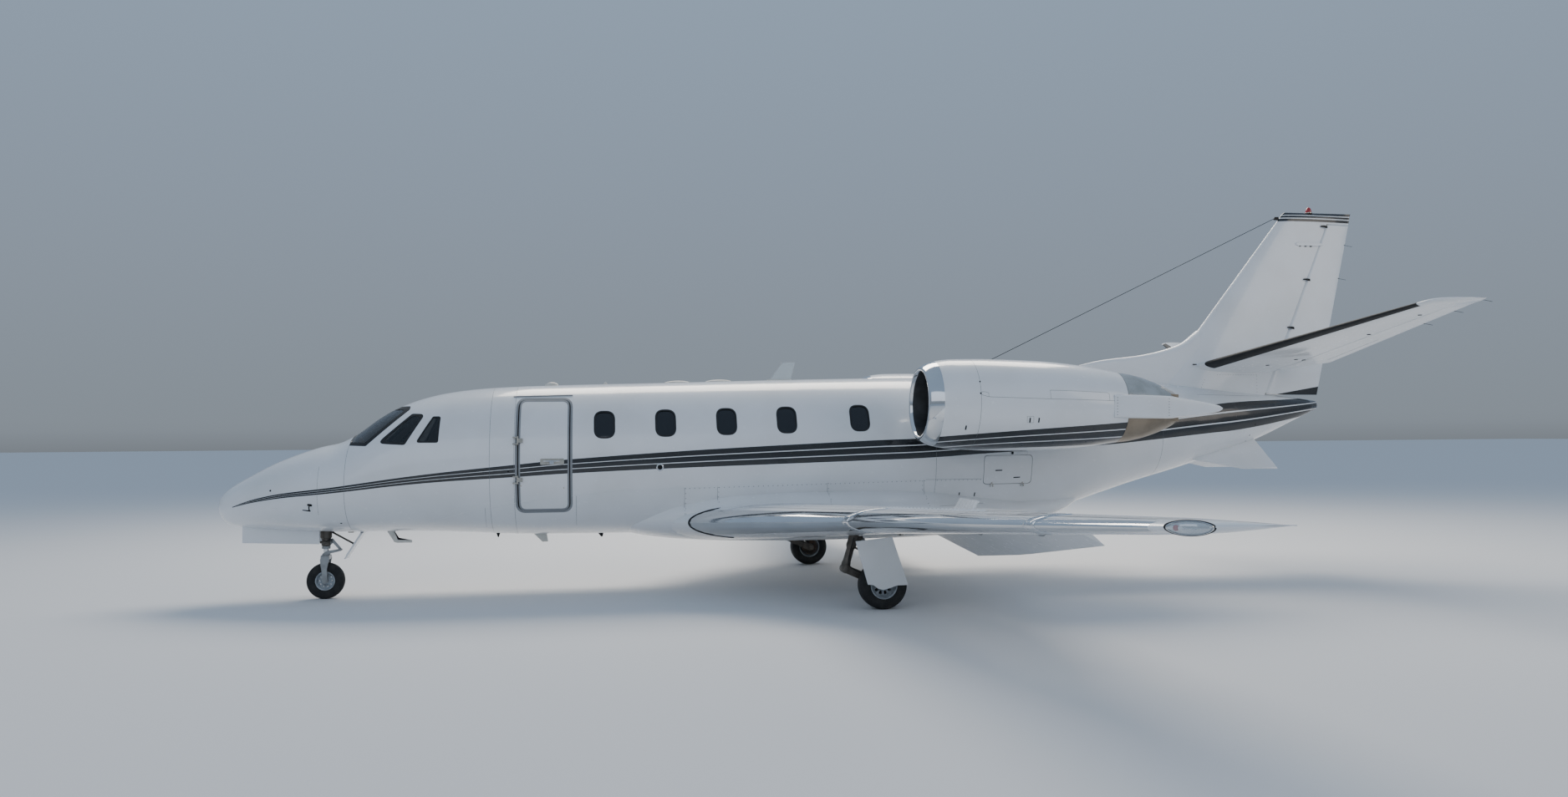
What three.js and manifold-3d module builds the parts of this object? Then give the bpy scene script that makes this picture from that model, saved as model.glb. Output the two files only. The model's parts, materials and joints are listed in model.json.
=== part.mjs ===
import * as THREE from 'three';
import { mergeVertices } from 'three/addons/utils/BufferGeometryUtils.js';
import Module from 'manifold-3d';

const wasm = await Module();
wasm.setup();

// A small twin-engine business jet, in millimetres.
// x runs aft from the nose tip, y to the right-hand side, z up from the ground.
const length = 15790;
const gap = 0.3;
const runningGap = 8;

// Fuselage sections: station, crown height, keel height, half width, height of the widest point.
const fuselageRows = [
  { x: 0, top: 1236, keel: 1182, half: 30, wide: 1208 },
  { x: 70, top: 1352, keel: 1006, half: 168, wide: 1190 },
  { x: 170, top: 1434, keel: 948, half: 262, wide: 1195 },
  { x: 370, top: 1552, keel: 914, half: 385, wide: 1215 },
  { x: 670, top: 1714, keel: 889, half: 522, wide: 1255 },
  { x: 980, top: 1840, keel: 868, half: 628, wide: 1305 },
  { x: 1220, top: 1918, keel: 855, half: 698, wide: 1350 },
  { x: 1440, top: 1966, keel: 846, half: 752, wide: 1395 },
  { x: 1600, top: 2040, keel: 843, half: 786, wide: 1430 },
  { x: 1750, top: 2146, keel: 841, half: 814, wide: 1465 },
  { x: 1900, top: 2262, keel: 840, half: 839, wide: 1500 },
  { x: 2060, top: 2362, keel: 838, half: 861, wide: 1540 },
  { x: 2240, top: 2446, keel: 836, half: 881, wide: 1580 },
  { x: 2440, top: 2520, keel: 832, half: 899, wide: 1615 },
  { x: 2700, top: 2586, keel: 824, half: 915, wide: 1650 },
  { x: 3010, top: 2634, keel: 808, half: 929, wide: 1680 },
  { x: 3400, top: 2668, keel: 784, half: 939, wide: 1705 },
  { x: 3900, top: 2690, keel: 764, half: 945, wide: 1722 },
  { x: 5500, top: 2730, keel: 752, half: 945, wide: 1742 },
  { x: 7200, top: 2772, keel: 750, half: 945, wide: 1760 },
  { x: 8900, top: 2800, keel: 752, half: 942, wide: 1775 },
  { x: 9800, top: 2804, keel: 772, half: 922, wide: 1795 },
  { x: 10500, top: 2800, keel: 862, half: 866, wide: 1840 },
  { x: 11100, top: 2790, keel: 1008, half: 792, wide: 1900 },
  { x: 11600, top: 2775, keel: 1160, half: 716, wide: 1965 },
  { x: 12150, top: 2752, keel: 1325, half: 628, wide: 2035 },
  { x: 12930, top: 2702, keel: 1535, half: 498, wide: 2115 },
  { x: 14060, top: 2592, keel: 1890, half: 300, wide: 2240 },
  { x: 14920, top: 2500, keel: 2258, half: 118, wide: 2380 },
  { x: 15130, top: 2470, keel: 2342, half: 58, wide: 2406 },
];
const roundness = 2.12;
const skinSides = 22;
const liningSides = 14;

// Where the fuselage is split into its built sections.
const radomeEnd = 250;
const bayEnd = 1640;
const cockpitEnd = 3350;
const cabinEnd = 9000;
const wallThickness = 75;
const cockpitWall = 62;
const tailWall = 34;
// Below this wall thickness the inner face keeps as many sides as the skin.
const coarseFrom = 40;

// Belly fairing over the wing centre section.
const bellyRows = [
  { x: 4700, keel: 900, half: 300, top: 1000 },
  { x: 5150, keel: 738, half: 560, top: 1150 },
  { x: 5800, keel: 656, half: 880, top: 1320 },
  { x: 6500, keel: 622, half: 1040, top: 1400 },
  { x: 7500, keel: 606, half: 1085, top: 1420 },
  { x: 8800, keel: 616, half: 1070, top: 1390 },
  { x: 9600, keel: 662, half: 980, top: 1280 },
  { x: 10300, keel: 752, half: 800, top: 1180 },
  { x: 10900, keel: 890, half: 540, top: 1190 },
  { x: 11450, keel: 1180, half: 200, top: 1300 },
];

// Wing sections, right side: spanwise place, leading edge, trailing edge, chord height, thickness.
const wingRows = [
  { y: 500, le: 5360, te: 9500, z: 905, thick: 470 },
  { y: 1000, le: 5760, te: 9480, z: 940, thick: 440 },
  { y: 2900, le: 7280, te: 9400, z: 1065, thick: 285 },
  { y: 8100, le: 8015, te: 8935, z: 1412, thick: 112 },
  { y: 8440, le: 8090, te: 8905, z: 1434, thick: 84 },
  { y: 8585, le: 8330, te: 8880, z: 1444, thick: 30 },
];
const tailRows = [
  { y: 60, le: 13140, te: 15130, z: 2960, thick: 190 },
  { y: 3080, le: 14395, te: 15095, z: 3560, thick: 72 },
  { y: 3270, le: 14800, te: 15090, z: 3596, thick: 26 },
];
// Fin sections by height. The dorsal fin is a low ridge ahead of it.
const finRows = [
  { z: 2400, le: 12380, te: 15120, thick: 330 },
  { z: 3450, le: 13225, te: 15365, thick: 240 },
  { z: 5150, le: 14590, te: 15758, thick: 130 },
  { z: 5270, le: 14720, te: 15790, thick: 110 },
];
const dorsalRows = [
  { x: 10900, top: 2830, half: 20 },
  { x: 11700, top: 3050, half: 45 },
  { x: 12400, top: 3142, half: 62 },
  { x: 12950, top: 3290, half: 78 },
  { x: 13250, top: 3500, half: 90 },
];

// Jacking pads, with the height of their flat lower face.
const jackPad = { x: 8350, y: 1500, z: 770, radius: 45 };
const nosePad = { x: 1560, z: 825, radius: 36 };

// Landing gear.
const noseWheel = { x: 1262, y: 0, z: 228, radius: 228, width: 112 };
const mainWheel = { x: 7905, y: 2275, z: 279, radius: 279, width: 203 };

const mainLeg = { x: 7500, y: 2105, foot: 455, headX: 7650, head: 960, radius: 58 };

// Engines: lip centre, nose-up tilt, and the fan's place aft of the lip.
const engine = {
  x: 8560, y: 1630, z: 2400, tilt: 0.022, fanFace: 700, fanMiddle: 746, fanTip: 388, fanBlades: 14,
};

function material(color, roughness, metalness) {
  return new THREE.MeshStandardMaterial({ color, roughness, metalness });
}

// Solids

function toSolid(geometry) {
  const bare = geometry.clone();
  bare.deleteAttribute('normal');
  bare.deleteAttribute('uv');
  const merged = mergeVertices(bare, 1e-4);
  const points = merged.attributes.position.array;
  const index = merged.index.array;
  const corners = [];
  for (let i = 0; i < index.length; i += 3) {
    const [a, b, c] = [index[i], index[i + 1], index[i + 2]];
    if (a !== b && b !== c && c !== a) corners.push(a, b, c);
  }
  if (signedVolume(points, corners) < 0) {
    for (let i = 0; i < corners.length; i += 3) {
      const kept = corners[i];
      corners[i] = corners[i + 1];
      corners[i + 1] = kept;
    }
  }
  return new wasm.Manifold(new wasm.Mesh({
    numProp: 3,
    vertProperties: Float32Array.from(points),
    triVerts: Uint32Array.from(corners),
  }));
}

function signedVolume(points, corners) {
  let sum = 0;
  const [a, b, c] = [new THREE.Vector3(), new THREE.Vector3(), new THREE.Vector3()];
  for (let i = 0; i < corners.length; i += 3) {
    a.fromArray(points, corners[i] * 3);
    b.fromArray(points, corners[i + 1] * 3);
    c.fromArray(points, corners[i + 2] * 3);
    sum += a.dot(b.cross(c)) / 6;
  }
  return sum;
}

function join(solids) {
  return solids.reduce((whole, next) => whole.add(next));
}

// A closed skin through rings of equal point count, capped at both ends.
function loft(rings) {
  const count = rings[0].length;
  const positions = [];
  const index = [];
  for (const ring of rings) for (const p of ring) positions.push(p.x, p.y, p.z);
  for (let r = 0; r < rings.length - 1; r += 1) {
    for (let i = 0; i < count; i += 1) {
      const j = (i + 1) % count;
      const [a, b] = [r * count + i, r * count + j];
      index.push(a, b, b + count, a, b + count, a + count);
    }
  }
  for (const [r, flip] of [[0, true], [rings.length - 1, false]]) {
    const centre = new THREE.Vector3();
    for (const p of rings[r]) centre.addScaledVector(p, 1 / count);
    const hub = positions.length / 3;
    positions.push(centre.x, centre.y, centre.z);
    for (let i = 0; i < count; i += 1) {
      const [a, b] = [r * count + i, r * count + (i + 1) % count];
      if (flip) index.push(hub, b, a);
      else index.push(hub, a, b);
    }
  }
  const geometry = new THREE.BufferGeometry();
  geometry.setAttribute('position', new THREE.Float32BufferAttribute(positions, 3));
  geometry.setIndex(index);
  return toSolid(geometry);
}

function block(x0, x1, y0, y1, z0, z1) {
  const box = new THREE.BoxGeometry(x1 - x0, y1 - y0, z1 - z0);
  box.translate((x0 + x1) / 2, (y0 + y1) / 2, (z0 + z1) / 2);
  return toSolid(box);
}

function rod(from, to, radius, radiusEnd = radius, sides = 8) {
  const start = new THREE.Vector3(...from);
  const along = new THREE.Vector3(...to).sub(start);
  const bar = new THREE.CylinderGeometry(radiusEnd, radius, along.length(), sides);
  bar.translate(0, along.length() / 2, 0);
  const upright = new THREE.Vector3(0, 1, 0);
  const turn = new THREE.Quaternion().setFromUnitVectors(upright, along.clone().normalize());
  bar.applyQuaternion(turn);
  bar.translate(start.x, start.y, start.z);
  return toSolid(bar);
}

// An outline in side view, extruded across the aircraft.
function sidePlate(outline, y0, y1) {
  const shape = outline instanceof THREE.Shape ? outline
    : new THREE.Shape(outline.map(([x, z]) => new THREE.Vector2(x, z)));
  const plate = new THREE.ExtrudeGeometry(shape, { depth: y1 - y0, bevelEnabled: false, curveSegments: 1 });
  plate.rotateX(Math.PI / 2);
  plate.translate(0, y1, 0);
  return toSolid(plate);
}

function roundedRect(x0, x1, z0, z1, r) {
  const shape = new THREE.Shape();
  shape.moveTo(x0 + r, z0);
  shape.lineTo(x1 - r, z0);
  shape.absarc(x1 - r, z0 + r, r, -Math.PI / 2, 0);
  shape.lineTo(x1, z1 - r);
  shape.absarc(x1 - r, z1 - r, r, 0, Math.PI / 2);
  shape.lineTo(x0 + r, z1);
  shape.absarc(x0 + r, z1 - r, r, Math.PI / 2, Math.PI);
  shape.lineTo(x0, z0 + r);
  shape.absarc(x0 + r, z0 + r, r, Math.PI, Math.PI * 1.5);
  return shape;
}

// A profile of [radius, width place] points turned about a line that runs across the aircraft.
// Each radius is measured to the middle of a flat, and the lowest flat lies level.
function wheelSolid(profile, place, side, segments) {
  const half = Math.PI / segments;
  const points = profile.map(([r, w]) => new THREE.Vector2(r / Math.cos(half), w));
  const turned = new THREE.LatheGeometry(points, segments);
  turned.rotateY(half);
  turned.translate(place.x, place.y * side, place.z);
  return toSolid(turned);
}

// A profile of [x, radius] points turned about a line that runs aft.
function turnedAft(profile, segments) {
  const turned = new THREE.LatheGeometry(profile.map(([x, r]) => new THREE.Vector2(r, x)), segments);
  turned.rotateZ(-Math.PI / 2);
  return toSolid(turned);
}

// Fuselage

function rowAt(rows, key, value) {
  let i = 0;
  while (i < rows.length - 2 && value > rows[i + 1][key]) i += 1;
  const [a, b] = [rows[i], rows[i + 1]];
  const t = (value - a[key]) / (b[key] - a[key]);
  const mixed = {};
  for (const name of Object.keys(a)) mixed[name] = a[name] + (b[name] - a[name]) * t;
  return mixed;
}

function bodyRing(row, grow, count = skinSides) {
  const ring = [];
  for (let i = 0; i < count; i += 1) {
    const angle = (i / count) * Math.PI * 2;
    const [c, s] = [Math.cos(angle), Math.sin(angle)];
    const rise = (s > 0 ? row.top - row.wide : row.wide - row.keel) + grow;
    const y = Math.sign(c) * Math.abs(c) ** (2 / roundness) * (row.half + grow);
    const z = row.wide + Math.sign(s) * Math.abs(s) ** (2 / roundness) * rise;
    ring.push(new THREE.Vector3(row.x, y, z));
  }
  return ring;
}

function fuselage(grow) {
  const rows = fuselageRows.filter((row) => row.half + grow > 20);
  const count = grow < -coarseFrom ? liningSides : skinSides;
  return loft(rows.map((row) => bodyRing(row, grow, count)));
}

function halfWidthAt(x, z) {
  const row = rowAt(fuselageRows, 'x', x);
  const rise = z > row.wide ? row.top - row.wide : row.wide - row.keel;
  return row.half * (1 - Math.abs((z - row.wide) / rise) ** roundness) ** (1 / roundness);
}

const skin = fuselage(0);
const skinClear = fuselage(gap);
const cabinVoid = fuselage(-wallThickness);
const cockpitVoid = fuselage(-cockpitWall);

function slice(x0, x1) {
  return block(x0, x1, -2000, 2000, 0, 6000);
}

function bellyBody(grow) {
  return loft(bellyRows.map((row) => {
    const wide = row.keel + (row.top - row.keel) * 0.55;
    return bodyRing({ x: row.x, top: row.top, keel: row.keel, half: row.half, wide }, grow);
  }));
}

// Airfoils

function halfThickness(u) {
  return 5 * (0.2969 * Math.sqrt(u) - 0.126 * u - 0.3516 * u ** 2 + 0.2843 * u ** 3 - 0.1036 * u ** 4);
}

const airfoilStops = [0, 0.012, 0.05, 0.13, 0.28, 0.48, 0.68];

// Half the thickness left at a trailing edge.
const edge = 3;

// Points round a whole section, as [chord place, height].
function wholeSection(row) {
  const chord = row.te - row.le;
  const stops = [...airfoilStops, 0.76];
  const over = stops.map((u) => [row.le + u * chord, halfThickness(u) * row.thick]);
  const under = [...over].slice(1).reverse().map(([x, t]) => [x, -t]);
  return [...over, [row.te, edge], [row.te, -edge], ...under];
}

// A control surface: a round nose about the hinge at chord fraction `hinge`, then a taper to the edge.
function rearSection(row, hinge) {
  const chord = row.te - row.le;
  const centre = row.le + hinge * chord;
  const radius = halfThickness(hinge) * row.thick;
  const points = [];
  for (let i = 0; i <= 6; i += 1) {
    const angle = Math.PI / 2 + (i / 6) * Math.PI;
    points.push([centre + radius * Math.cos(angle), radius * Math.sin(angle)]);
  }
  points.push([row.te, -edge], [row.te, edge]);
  return points;
}

function hingePlace(row, hinge) {
  return row.le + hinge * (row.te - row.le);
}

function hingeRadius(row, hinge) {
  return halfThickness(hinge) * row.thick;
}

// Chord fraction at which a fixed surface stops ahead of the control surface's nose.
function coveStop(row, hinge) {
  return hinge - (hingeRadius(row, hinge) + runningGap) / (row.te - row.le);
}

function spanRing(row, section, side) {
  return section.map(([x, t]) => new THREE.Vector3(x, row.y * side, row.z + t));
}

function finRing(row, section) {
  return section.map(([x, t]) => new THREE.Vector3(x, t, row.z));
}

// Two short pins end to end on a hinge line: one for the fixed side, one for the moving side.
function pinPair(start, end, at, reachFixed, reachMoving, radius) {
  const from = new THREE.Vector3(...start);
  const along = new THREE.Vector3(...end).sub(from);
  const spot = from.clone().addScaledVector(along, at);
  along.normalize();
  const place = (d) => spot.clone().addScaledVector(along, d).toArray();
  const sign = Math.sign(reachMoving);
  return {
    fixed: rod(place(-sign * gap / 2), place(-sign * (Math.abs(reachFixed) + gap / 2)), radius, radius, 12),
    moving: rod(place(sign * gap / 2), place(sign * (Math.abs(reachMoving) + gap / 2)), radius, radius, 12),
  };
}

// A plate square to a hinge line, from its outline in side view.
function plateAlong(at, axis, from, to, outline) {
  const ring = (d) => outline.map(([x, z]) => new THREE.Vector3(x, at.y, z).addScaledVector(axis, d));
  return loft([ring(from), ring(to)]);
}

// Assembly

const hinges = {};
function noteHinge(name, from, to) {
  const at = new THREE.Vector3(...from);
  hinges[name] = { at, along: new THREE.Vector3(...to).sub(at).normalize() };
}

const jet = new THREE.Group();
jet.position.x = -length / 2;

// Colour, roughness and metalness of each finish.
const finish = {
  white: [0xf1f2f3, 0.25, 0.0],
  metal: [0xc9ccd0, 0.15, 1.0],
  bare: [0xa0917a, 0.45, 0.9],
  rubber: [0x1b1b1c, 0.85, 0.0],
  glass: [0x20262b, 0.08, 0.0],
  fabric: [0xb9ab95, 0.8, 0.0],
  engine: [0x6f7276, 0.5, 0.8],
};

function addPart(name, solid, look) {
  const pieces = solid.decompose();
  pieces.sort((a, b) => b.volume() - a.volume());
  const whole = pieces[0];
  const mesh = whole.getMesh();
  const geometry = new THREE.BufferGeometry();
  geometry.setAttribute('position', new THREE.BufferAttribute(Float32Array.from(mesh.vertProperties), 3));
  geometry.setIndex(new THREE.BufferAttribute(Uint32Array.from(mesh.triVerts), 1));
  const part = new THREE.Mesh(geometry, material(...finish[look]));
  part.name = name;
  jet.add(part);
  return whole;
}

const sides = [['left', -1], ['right', 1]];
const halves = [['upper', 1], ['lower', -1]];

// Windows in side view.
const windshield = [[1250, 1945], [1868, 1925], [2345, 2372], [2345, 2420], [1900, 2420]];
const sideWindow = [[2000, 1955], [2345, 1935], [2560, 2318], [2392, 2322]];
const rearSideWindow = [[2470, 1962], [2742, 1960], [2752, 2286], [2655, 2286]];
const windowPlaces = { left: [4735, 5494, 6265, 7040, 7999], right: [3975, 4735, 5494, 6265, 7040, 7999] };
const cabinWindow = { width: 245, height: 330, z: 2170, climb: 0.0202, first: 4735, radius: 95 };
const doorway = {
  x0: 3696, x1: 4304, z0: 1112, z1: 2484, radius: 92, skin: 12, aftGap: 18, frontGap: 20, gap: 8,
};
const doorHinge = { x: doorway.x0 - 10, y: -952, radius: 8, heights: [1500, 1980], length: 60 };

function windowShape(x, inset) {
  const z = cabinWindow.z + (x - cabinWindow.first) * cabinWindow.climb;
  const [w, h] = [cabinWindow.width / 2 - inset, cabinWindow.height / 2 - inset];
  return roundedRect(x - w, x + w, z - h, z + h, cabinWindow.radius - inset);
}

function shrink(outline, inset) {
  const cx = outline.reduce((s, p) => s + p[0], 0) / outline.length;
  const cz = outline.reduce((s, p) => s + p[1], 0) / outline.length;
  return outline.map(([x, z]) => {
    const d = Math.hypot(x - cx, z - cz);
    return [x - ((x - cx) / d) * inset, z - ((z - cz) / d) * inset];
  });
}

const centrePost = 28;
function cockpitHoles(inset) {
  const holes = [];
  for (const [, side] of sides) {
    const span = (outline, from) =>
      (side > 0 ? sidePlate(outline, from, 1200) : sidePlate(outline, -1200, -from));
    holes.push(span(shrink(windshield, inset), centrePost + inset));
    holes.push(span(shrink(sideWindow, inset), 300));
    holes.push(span(shrink(rearSideWindow, inset), 300));
  }
  return join(holes);
}

// Nose, with the well that the nose wheel folds forward into.
const well = { x0: 300, x1: 1440, half: 150, top: 1240 };
addPart('radome', skin.intersect(slice(-10, radomeEnd)), 'white');
addPart('nose_bay', skin.intersect(slice(radomeEnd + gap, bayEnd))
  .subtract(block(well.x0, well.x1, -well.half, well.half, 0, well.top))
  .add(rod([nosePad.x, 0, 900], [nosePad.x, 0, nosePad.z], nosePad.radius, nosePad.radius, 12)), 'white');

// Cockpit shell and glazing.
const glassDepth = 6;
const cockpitShell = skin.subtract(cockpitVoid).intersect(slice(bayEnd + gap, cockpitEnd))
  .subtract(cockpitHoles(0));
addPart('cockpit_shell', cockpitShell, 'white');
const paneSkin = fuselage(-glassDepth).subtract(fuselage(-cockpitWall - 1));
const liner = fuselage(-cockpitWall - gap).subtract(fuselage(-cockpitWall - 12));
const linerOutline = [[1700, 1880], [2800, 1880], [2800, 2345], [2600, 2400], [1700, 2400]];
const linerBand = sidePlate(linerOutline, -1200, 1200);
const glazing = paneSkin.intersect(cockpitHoles(1)).add(liner.intersect(linerBand))
  .intersect(slice(bayEnd + 2, cockpitEnd - 2));
addPart('cockpit_glazing', glazing, 'glass');

// Cabin shell with its doorway and windows.
function doorPrism(frame) {
  const { x0, x1, z0, z1, radius, frontGap, aftGap, gap: around } = doorway;
  const shape = frame ? roundedRect(x0 - frontGap, x1 + aftGap, z0 - around, z1 + around, radius + around)
    : roundedRect(x0, x1, z0, z1, radius);
  return sidePlate(shape, -1200, -300);
}
let cabinShell = skin.subtract(cabinVoid).intersect(slice(cockpitEnd + gap, cabinEnd))
  .subtract(doorPrism(true));
const windowHoles = {};
for (const [name, side] of sides) {
  const [y0, y1] = side > 0 ? [400, 1200] : [-1200, -400];
  windowHoles[name] = join(windowPlaces[name].map((x) => sidePlate(windowShape(x, 0), y0, y1)));
  cabinShell = cabinShell.subtract(windowHoles[name]);
}
const knuckles = doorHinge.heights.map((z) => {
  const { x: hx, y: hy, radius } = doorHinge;
  const line = (z0, z1) => rod([hx, hy, z0], [hx, hy, z1], radius, radius, 10);
  const lugLength = 20;
  const top = z + doorHinge.length / 2;
  const bottom = z - doorHinge.length / 2;
  const strap = (z0, z1, x0, x1) => block(x0, x1, hy - 4, 30 - halfWidthAt(hx, z), z0, z1);
  return {
    moving: join([line(bottom, top), strap(bottom, top, hx, hx + 60)]),
    fixed: join([line(top + gap, top + gap + lugLength), line(bottom - gap - lugLength, bottom - gap),
      strap(top + gap, top + gap + lugLength, hx - 60, hx),
      strap(bottom - gap - lugLength, bottom - gap, hx - 60, hx)]),
  };
});
cabinShell = join([cabinShell, ...knuckles.map((k) => k.fixed)]);
addPart('cabin_shell', cabinShell, 'white');

const doorInset = 64;
const doorSkin = skin.subtract(fuselage(-doorway.skin)).intersect(doorPrism(false));
const panShape = roundedRect(doorway.x0 + 12, doorway.x1 - doorInset, doorway.z0 + 12, doorway.z1 - 12, 80);
const doorPan = fuselage(-doorway.skin + 1).subtract(cabinVoid).intersect(sidePlate(panShape, -1200, -300));
noteHinge('cabin_door', ...doorHinge.heights.map((z) => [doorHinge.x, doorHinge.y, z]));
addPart('cabin_door', join([doorSkin.add(doorPan), ...knuckles.map((k) => k.moving)]), 'white');

for (const [name, side] of sides) {
  const [y0, y1] = side > 0 ? [400, 1200] : [-1200, -400];
  const panes = fuselage(-14).subtract(fuselage(-wallThickness - 1))
    .intersect(join(windowPlaces[name].map((x) => sidePlate(windowShape(x, 1), y0, y1))));
  const first = windowPlaces[name][0] - 160;
  const last = windowPlaces[name].at(-1) + 160;
  const strip = fuselage(-wallThickness - gap).subtract(fuselage(-wallThickness - 12))
    .intersect(block(first, last, y0, y1, 1960, 2440));
  addPart(`cabin_windows_${name}`, panes.add(strip), 'glass');
}

// Cabin floor with its seats, and the cockpit floor with seats and instrument panel.
const floor = { bottom: 1010, top: 1060, cabinHalf: 450, cockpitHalf: 440 };
const seatSize = { half: 250, halfWidth: 210, cushion: 1200, cushionTop: 1450, backTop: 1990, backFrom: 150 };
const cabinSeatRows = [
  { x: 4760, facing: 1 }, { x: 5960, facing: -1 }, { x: 6660, facing: 1 }, { x: 7860, facing: -1 },
];
const cabinSeatSide = 390;
const pilotSeat = { x: 2640, side: 360, facing: -1 };
const panelFront = 1760;
// A seat that faces aft has its back on its forward side, and one that faces forward has it aft.
function seat(x, y, facing) {
  const { half, halfWidth, cushion, cushionTop, backTop, backFrom } = seatSize;
  const [back0, back1] = facing > 0 ? [x - half - 10, x - backFrom] : [x + backFrom, x + half + 10];
  return join([
    block(x - half, x + half, y - halfWidth, y + halfWidth, cushion, cushionTop),
    block(back0, back1, y - halfWidth + 10, y + halfWidth - 10, cushionTop - 10, backTop),
    block(x - 180, x + 180, y - 120, y + 120, floor.top - 10, cushion + 5),
  ]);
}
addPart('cabin_floor_and_seats', join([
  block(cockpitEnd + gap, cabinEnd, -floor.cabinHalf, floor.cabinHalf, floor.bottom, floor.top),
  ...cabinSeatRows.flatMap(({ x, facing }) => [-1, 1].map((side) => seat(x, side * cabinSeatSide, facing))),
]), 'fabric');
addPart('cockpit_floor_and_seats', join([
  block(bayEnd + gap, cockpitEnd, -floor.cockpitHalf, floor.cockpitHalf, floor.bottom, floor.top),
  block(panelFront, panelFront + 200, -520, 520, 1500, 1900),
  block(panelFront, panelFront + 100, -430, 430, floor.top - 10, 1510),
  block(panelFront + 200, 2500, -90, 90, floor.top - 10, 1420),
  ...[-1, 1].map((side) => seat(pilotSeat.x, side * pilotSeat.side, pilotSeat.facing)),
]), 'fabric');

// Tail fuselage: the section with the baggage bay behind its own door, and the cone aft of it.
const bagSectionEnd = 10500;
const bag = { x0: 9660, x1: 10340, z0: 1360, z1: 1730, radius: 50, skin: 26, gap: 6 };
const bagFrame = sidePlate(roundedRect(bag.x0 - bag.gap, bag.x1 + bag.gap, bag.z0 - bag.gap, bag.z1 + bag.gap,
  bag.radius), -1200, -500);
const bagBay = block(bag.x0 + 30, bag.x1 - 30, -1200, 560, bag.z0 + 30, bag.z1 - 30);
const bagTray = block(bag.x0 + 10, bag.x1 - 10, -1200, 580, bag.z0 + 10, bag.z1 - 10)
  .subtract(block(9900, 10100, 500, 700, 1480, 1610));
const bagRim = skin.subtract(cabinVoid)
  .intersect(sidePlate(roundedRect(bag.x0 - 70, bag.x1 + 70, bag.z0 - 70, bag.z1 + 70, 60), -1200, -500));
let tail = skin.intersect(slice(cabinEnd + gap, 15200))
  .subtract(fuselage(-tailWall).intersect(slice(cabinEnd + 70, 14850)));
tail = join([tail, bagTray.intersect(skin), bagRim]);
const bagPocket = bagFrame.subtract(fuselage(-bag.skin - 8)).add(bagBay);
tail = tail.subtract(bagPocket);
const bagHinge = { z: bag.z0 - 4, radius: 7, inset: 120 };
const bagLine = [bag.x0 + bagHinge.inset, bag.x1 - bagHinge.inset]
  .map((x) => new THREE.Vector3(x, -halfWidthAt(x, bag.z0) - 8, bagHinge.z));
const bagAxis = bagLine[1].clone().sub(bagLine[0]).normalize();
const bagKnuckles = bagLine.map((spot) => {
  const line = (a, b) => rod(spot.clone().addScaledVector(bagAxis, a).toArray(),
    spot.clone().addScaledVector(bagAxis, b).toArray(), bagHinge.radius);
  const { x, y, z } = spot;
  return {
    moving: join([line(-30, 30), block(x - 26, x + 26, y - 2, y + 24, z, z + 40)]),
    fixed: join([line(30 + gap, 52), line(-52, -30 - gap),
      block(x + 36, x + 50, y - 2, y + 60, z - 40, z), block(x - 50, x - 36, y - 2, y + 60, z - 40, z)]),
  };
});
tail = join([tail, ...bagKnuckles.map((k) => k.fixed)]);
const bagDoor = skin.subtract(fuselage(-bag.skin))
  .intersect(sidePlate(roundedRect(bag.x0, bag.x1, bag.z0, bag.z1, bag.radius), -1200, -500));
noteHinge('baggage_door', bagLine[0].toArray(), bagLine[1].toArray());
addPart('baggage_door', join([bagDoor, ...bagKnuckles.map((k) => k.moving)]), 'white');

// Fin, rudder and dorsal fin.
const capZ = 5105;
const footZ = 2560;
const hingeLine = { foot: [14330, 0, 2600], head: [15405, 0, 5100] };
function finAt(z) {
  return rowAt(finRows, 'z', z);
}
function finHingeFraction(z) {
  const t = (z - hingeLine.foot[2]) / (hingeLine.head[2] - hingeLine.foot[2]);
  const x = hingeLine.foot[0] + (hingeLine.head[0] - hingeLine.foot[0]) * t;
  const row = finAt(z);
  return (x - row.le) / (row.te - row.le);
}
const finWholeBody = loft(finRows.map((row) => finRing(row, wholeSection(row))));
const rudderPocket = loft([2300, capZ].map((z) => {
  const row = finAt(z);
  const x = row.le + coveStop(row, finHingeFraction(z)) * (row.te - row.le);
  const corners = [[x, -400], [x, 400], [x + 2500, 400], [x + 2500, -400]];
  return corners.map(([px, y]) => new THREE.Vector3(px, y, z));
}));
// The fin's skins stand this thick round an empty middle that opens onto the fuselage.
const finWall = { skin: 24, front: 0.14, mid: 0.34, spar: 60 };
const finVoid = loft([2300, 3450, 4960].map((z) => {
  const row = finAt(z);
  const chord = row.te - row.le;
  const aft = coveStop(row, finHingeFraction(z)) - finWall.spar / chord;
  const stops = [finWall.front, finWall.mid, aft];
  const over = stops.map((u) => [row.le + u * chord, halfThickness(u) * row.thick - finWall.skin]);
  const under = [...over].reverse().map(([x, t]) => [x, -t]);
  return finRing(row, [...over, ...under]);
}));
const dorsal = loft(dorsalRows.map((row) => [
  new THREE.Vector3(row.x, -row.half, 2500), new THREE.Vector3(row.x, row.half, 2500),
  new THREE.Vector3(row.x, row.half * 0.9, row.top - 60), new THREE.Vector3(row.x, 0, row.top),
  new THREE.Vector3(row.x, -row.half * 0.9, row.top - 60),
]));

const rudderTop = capZ - 18;
const rudderClear = 30;
const rudderBody = loft([footZ, 3450, rudderTop].map((z) => {
  const row = finAt(z);
  return finRing(row, rearSection(row, finHingeFraction(z)));
}));
const rudderHead = pinPair(hingeLine.foot, hingeLine.head, 0.9985, 40, -60, 14);
const fin = join([finWholeBody.subtract(rudderPocket), dorsal, rudderHead.fixed])
  .subtract(finVoid).subtract(skinClear);
noteHinge('rudder', hingeLine.foot, hingeLine.head);
addPart('rudder', rudderBody.subtract(fuselage(rudderClear)).add(rudderHead.moving), 'white');

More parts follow.
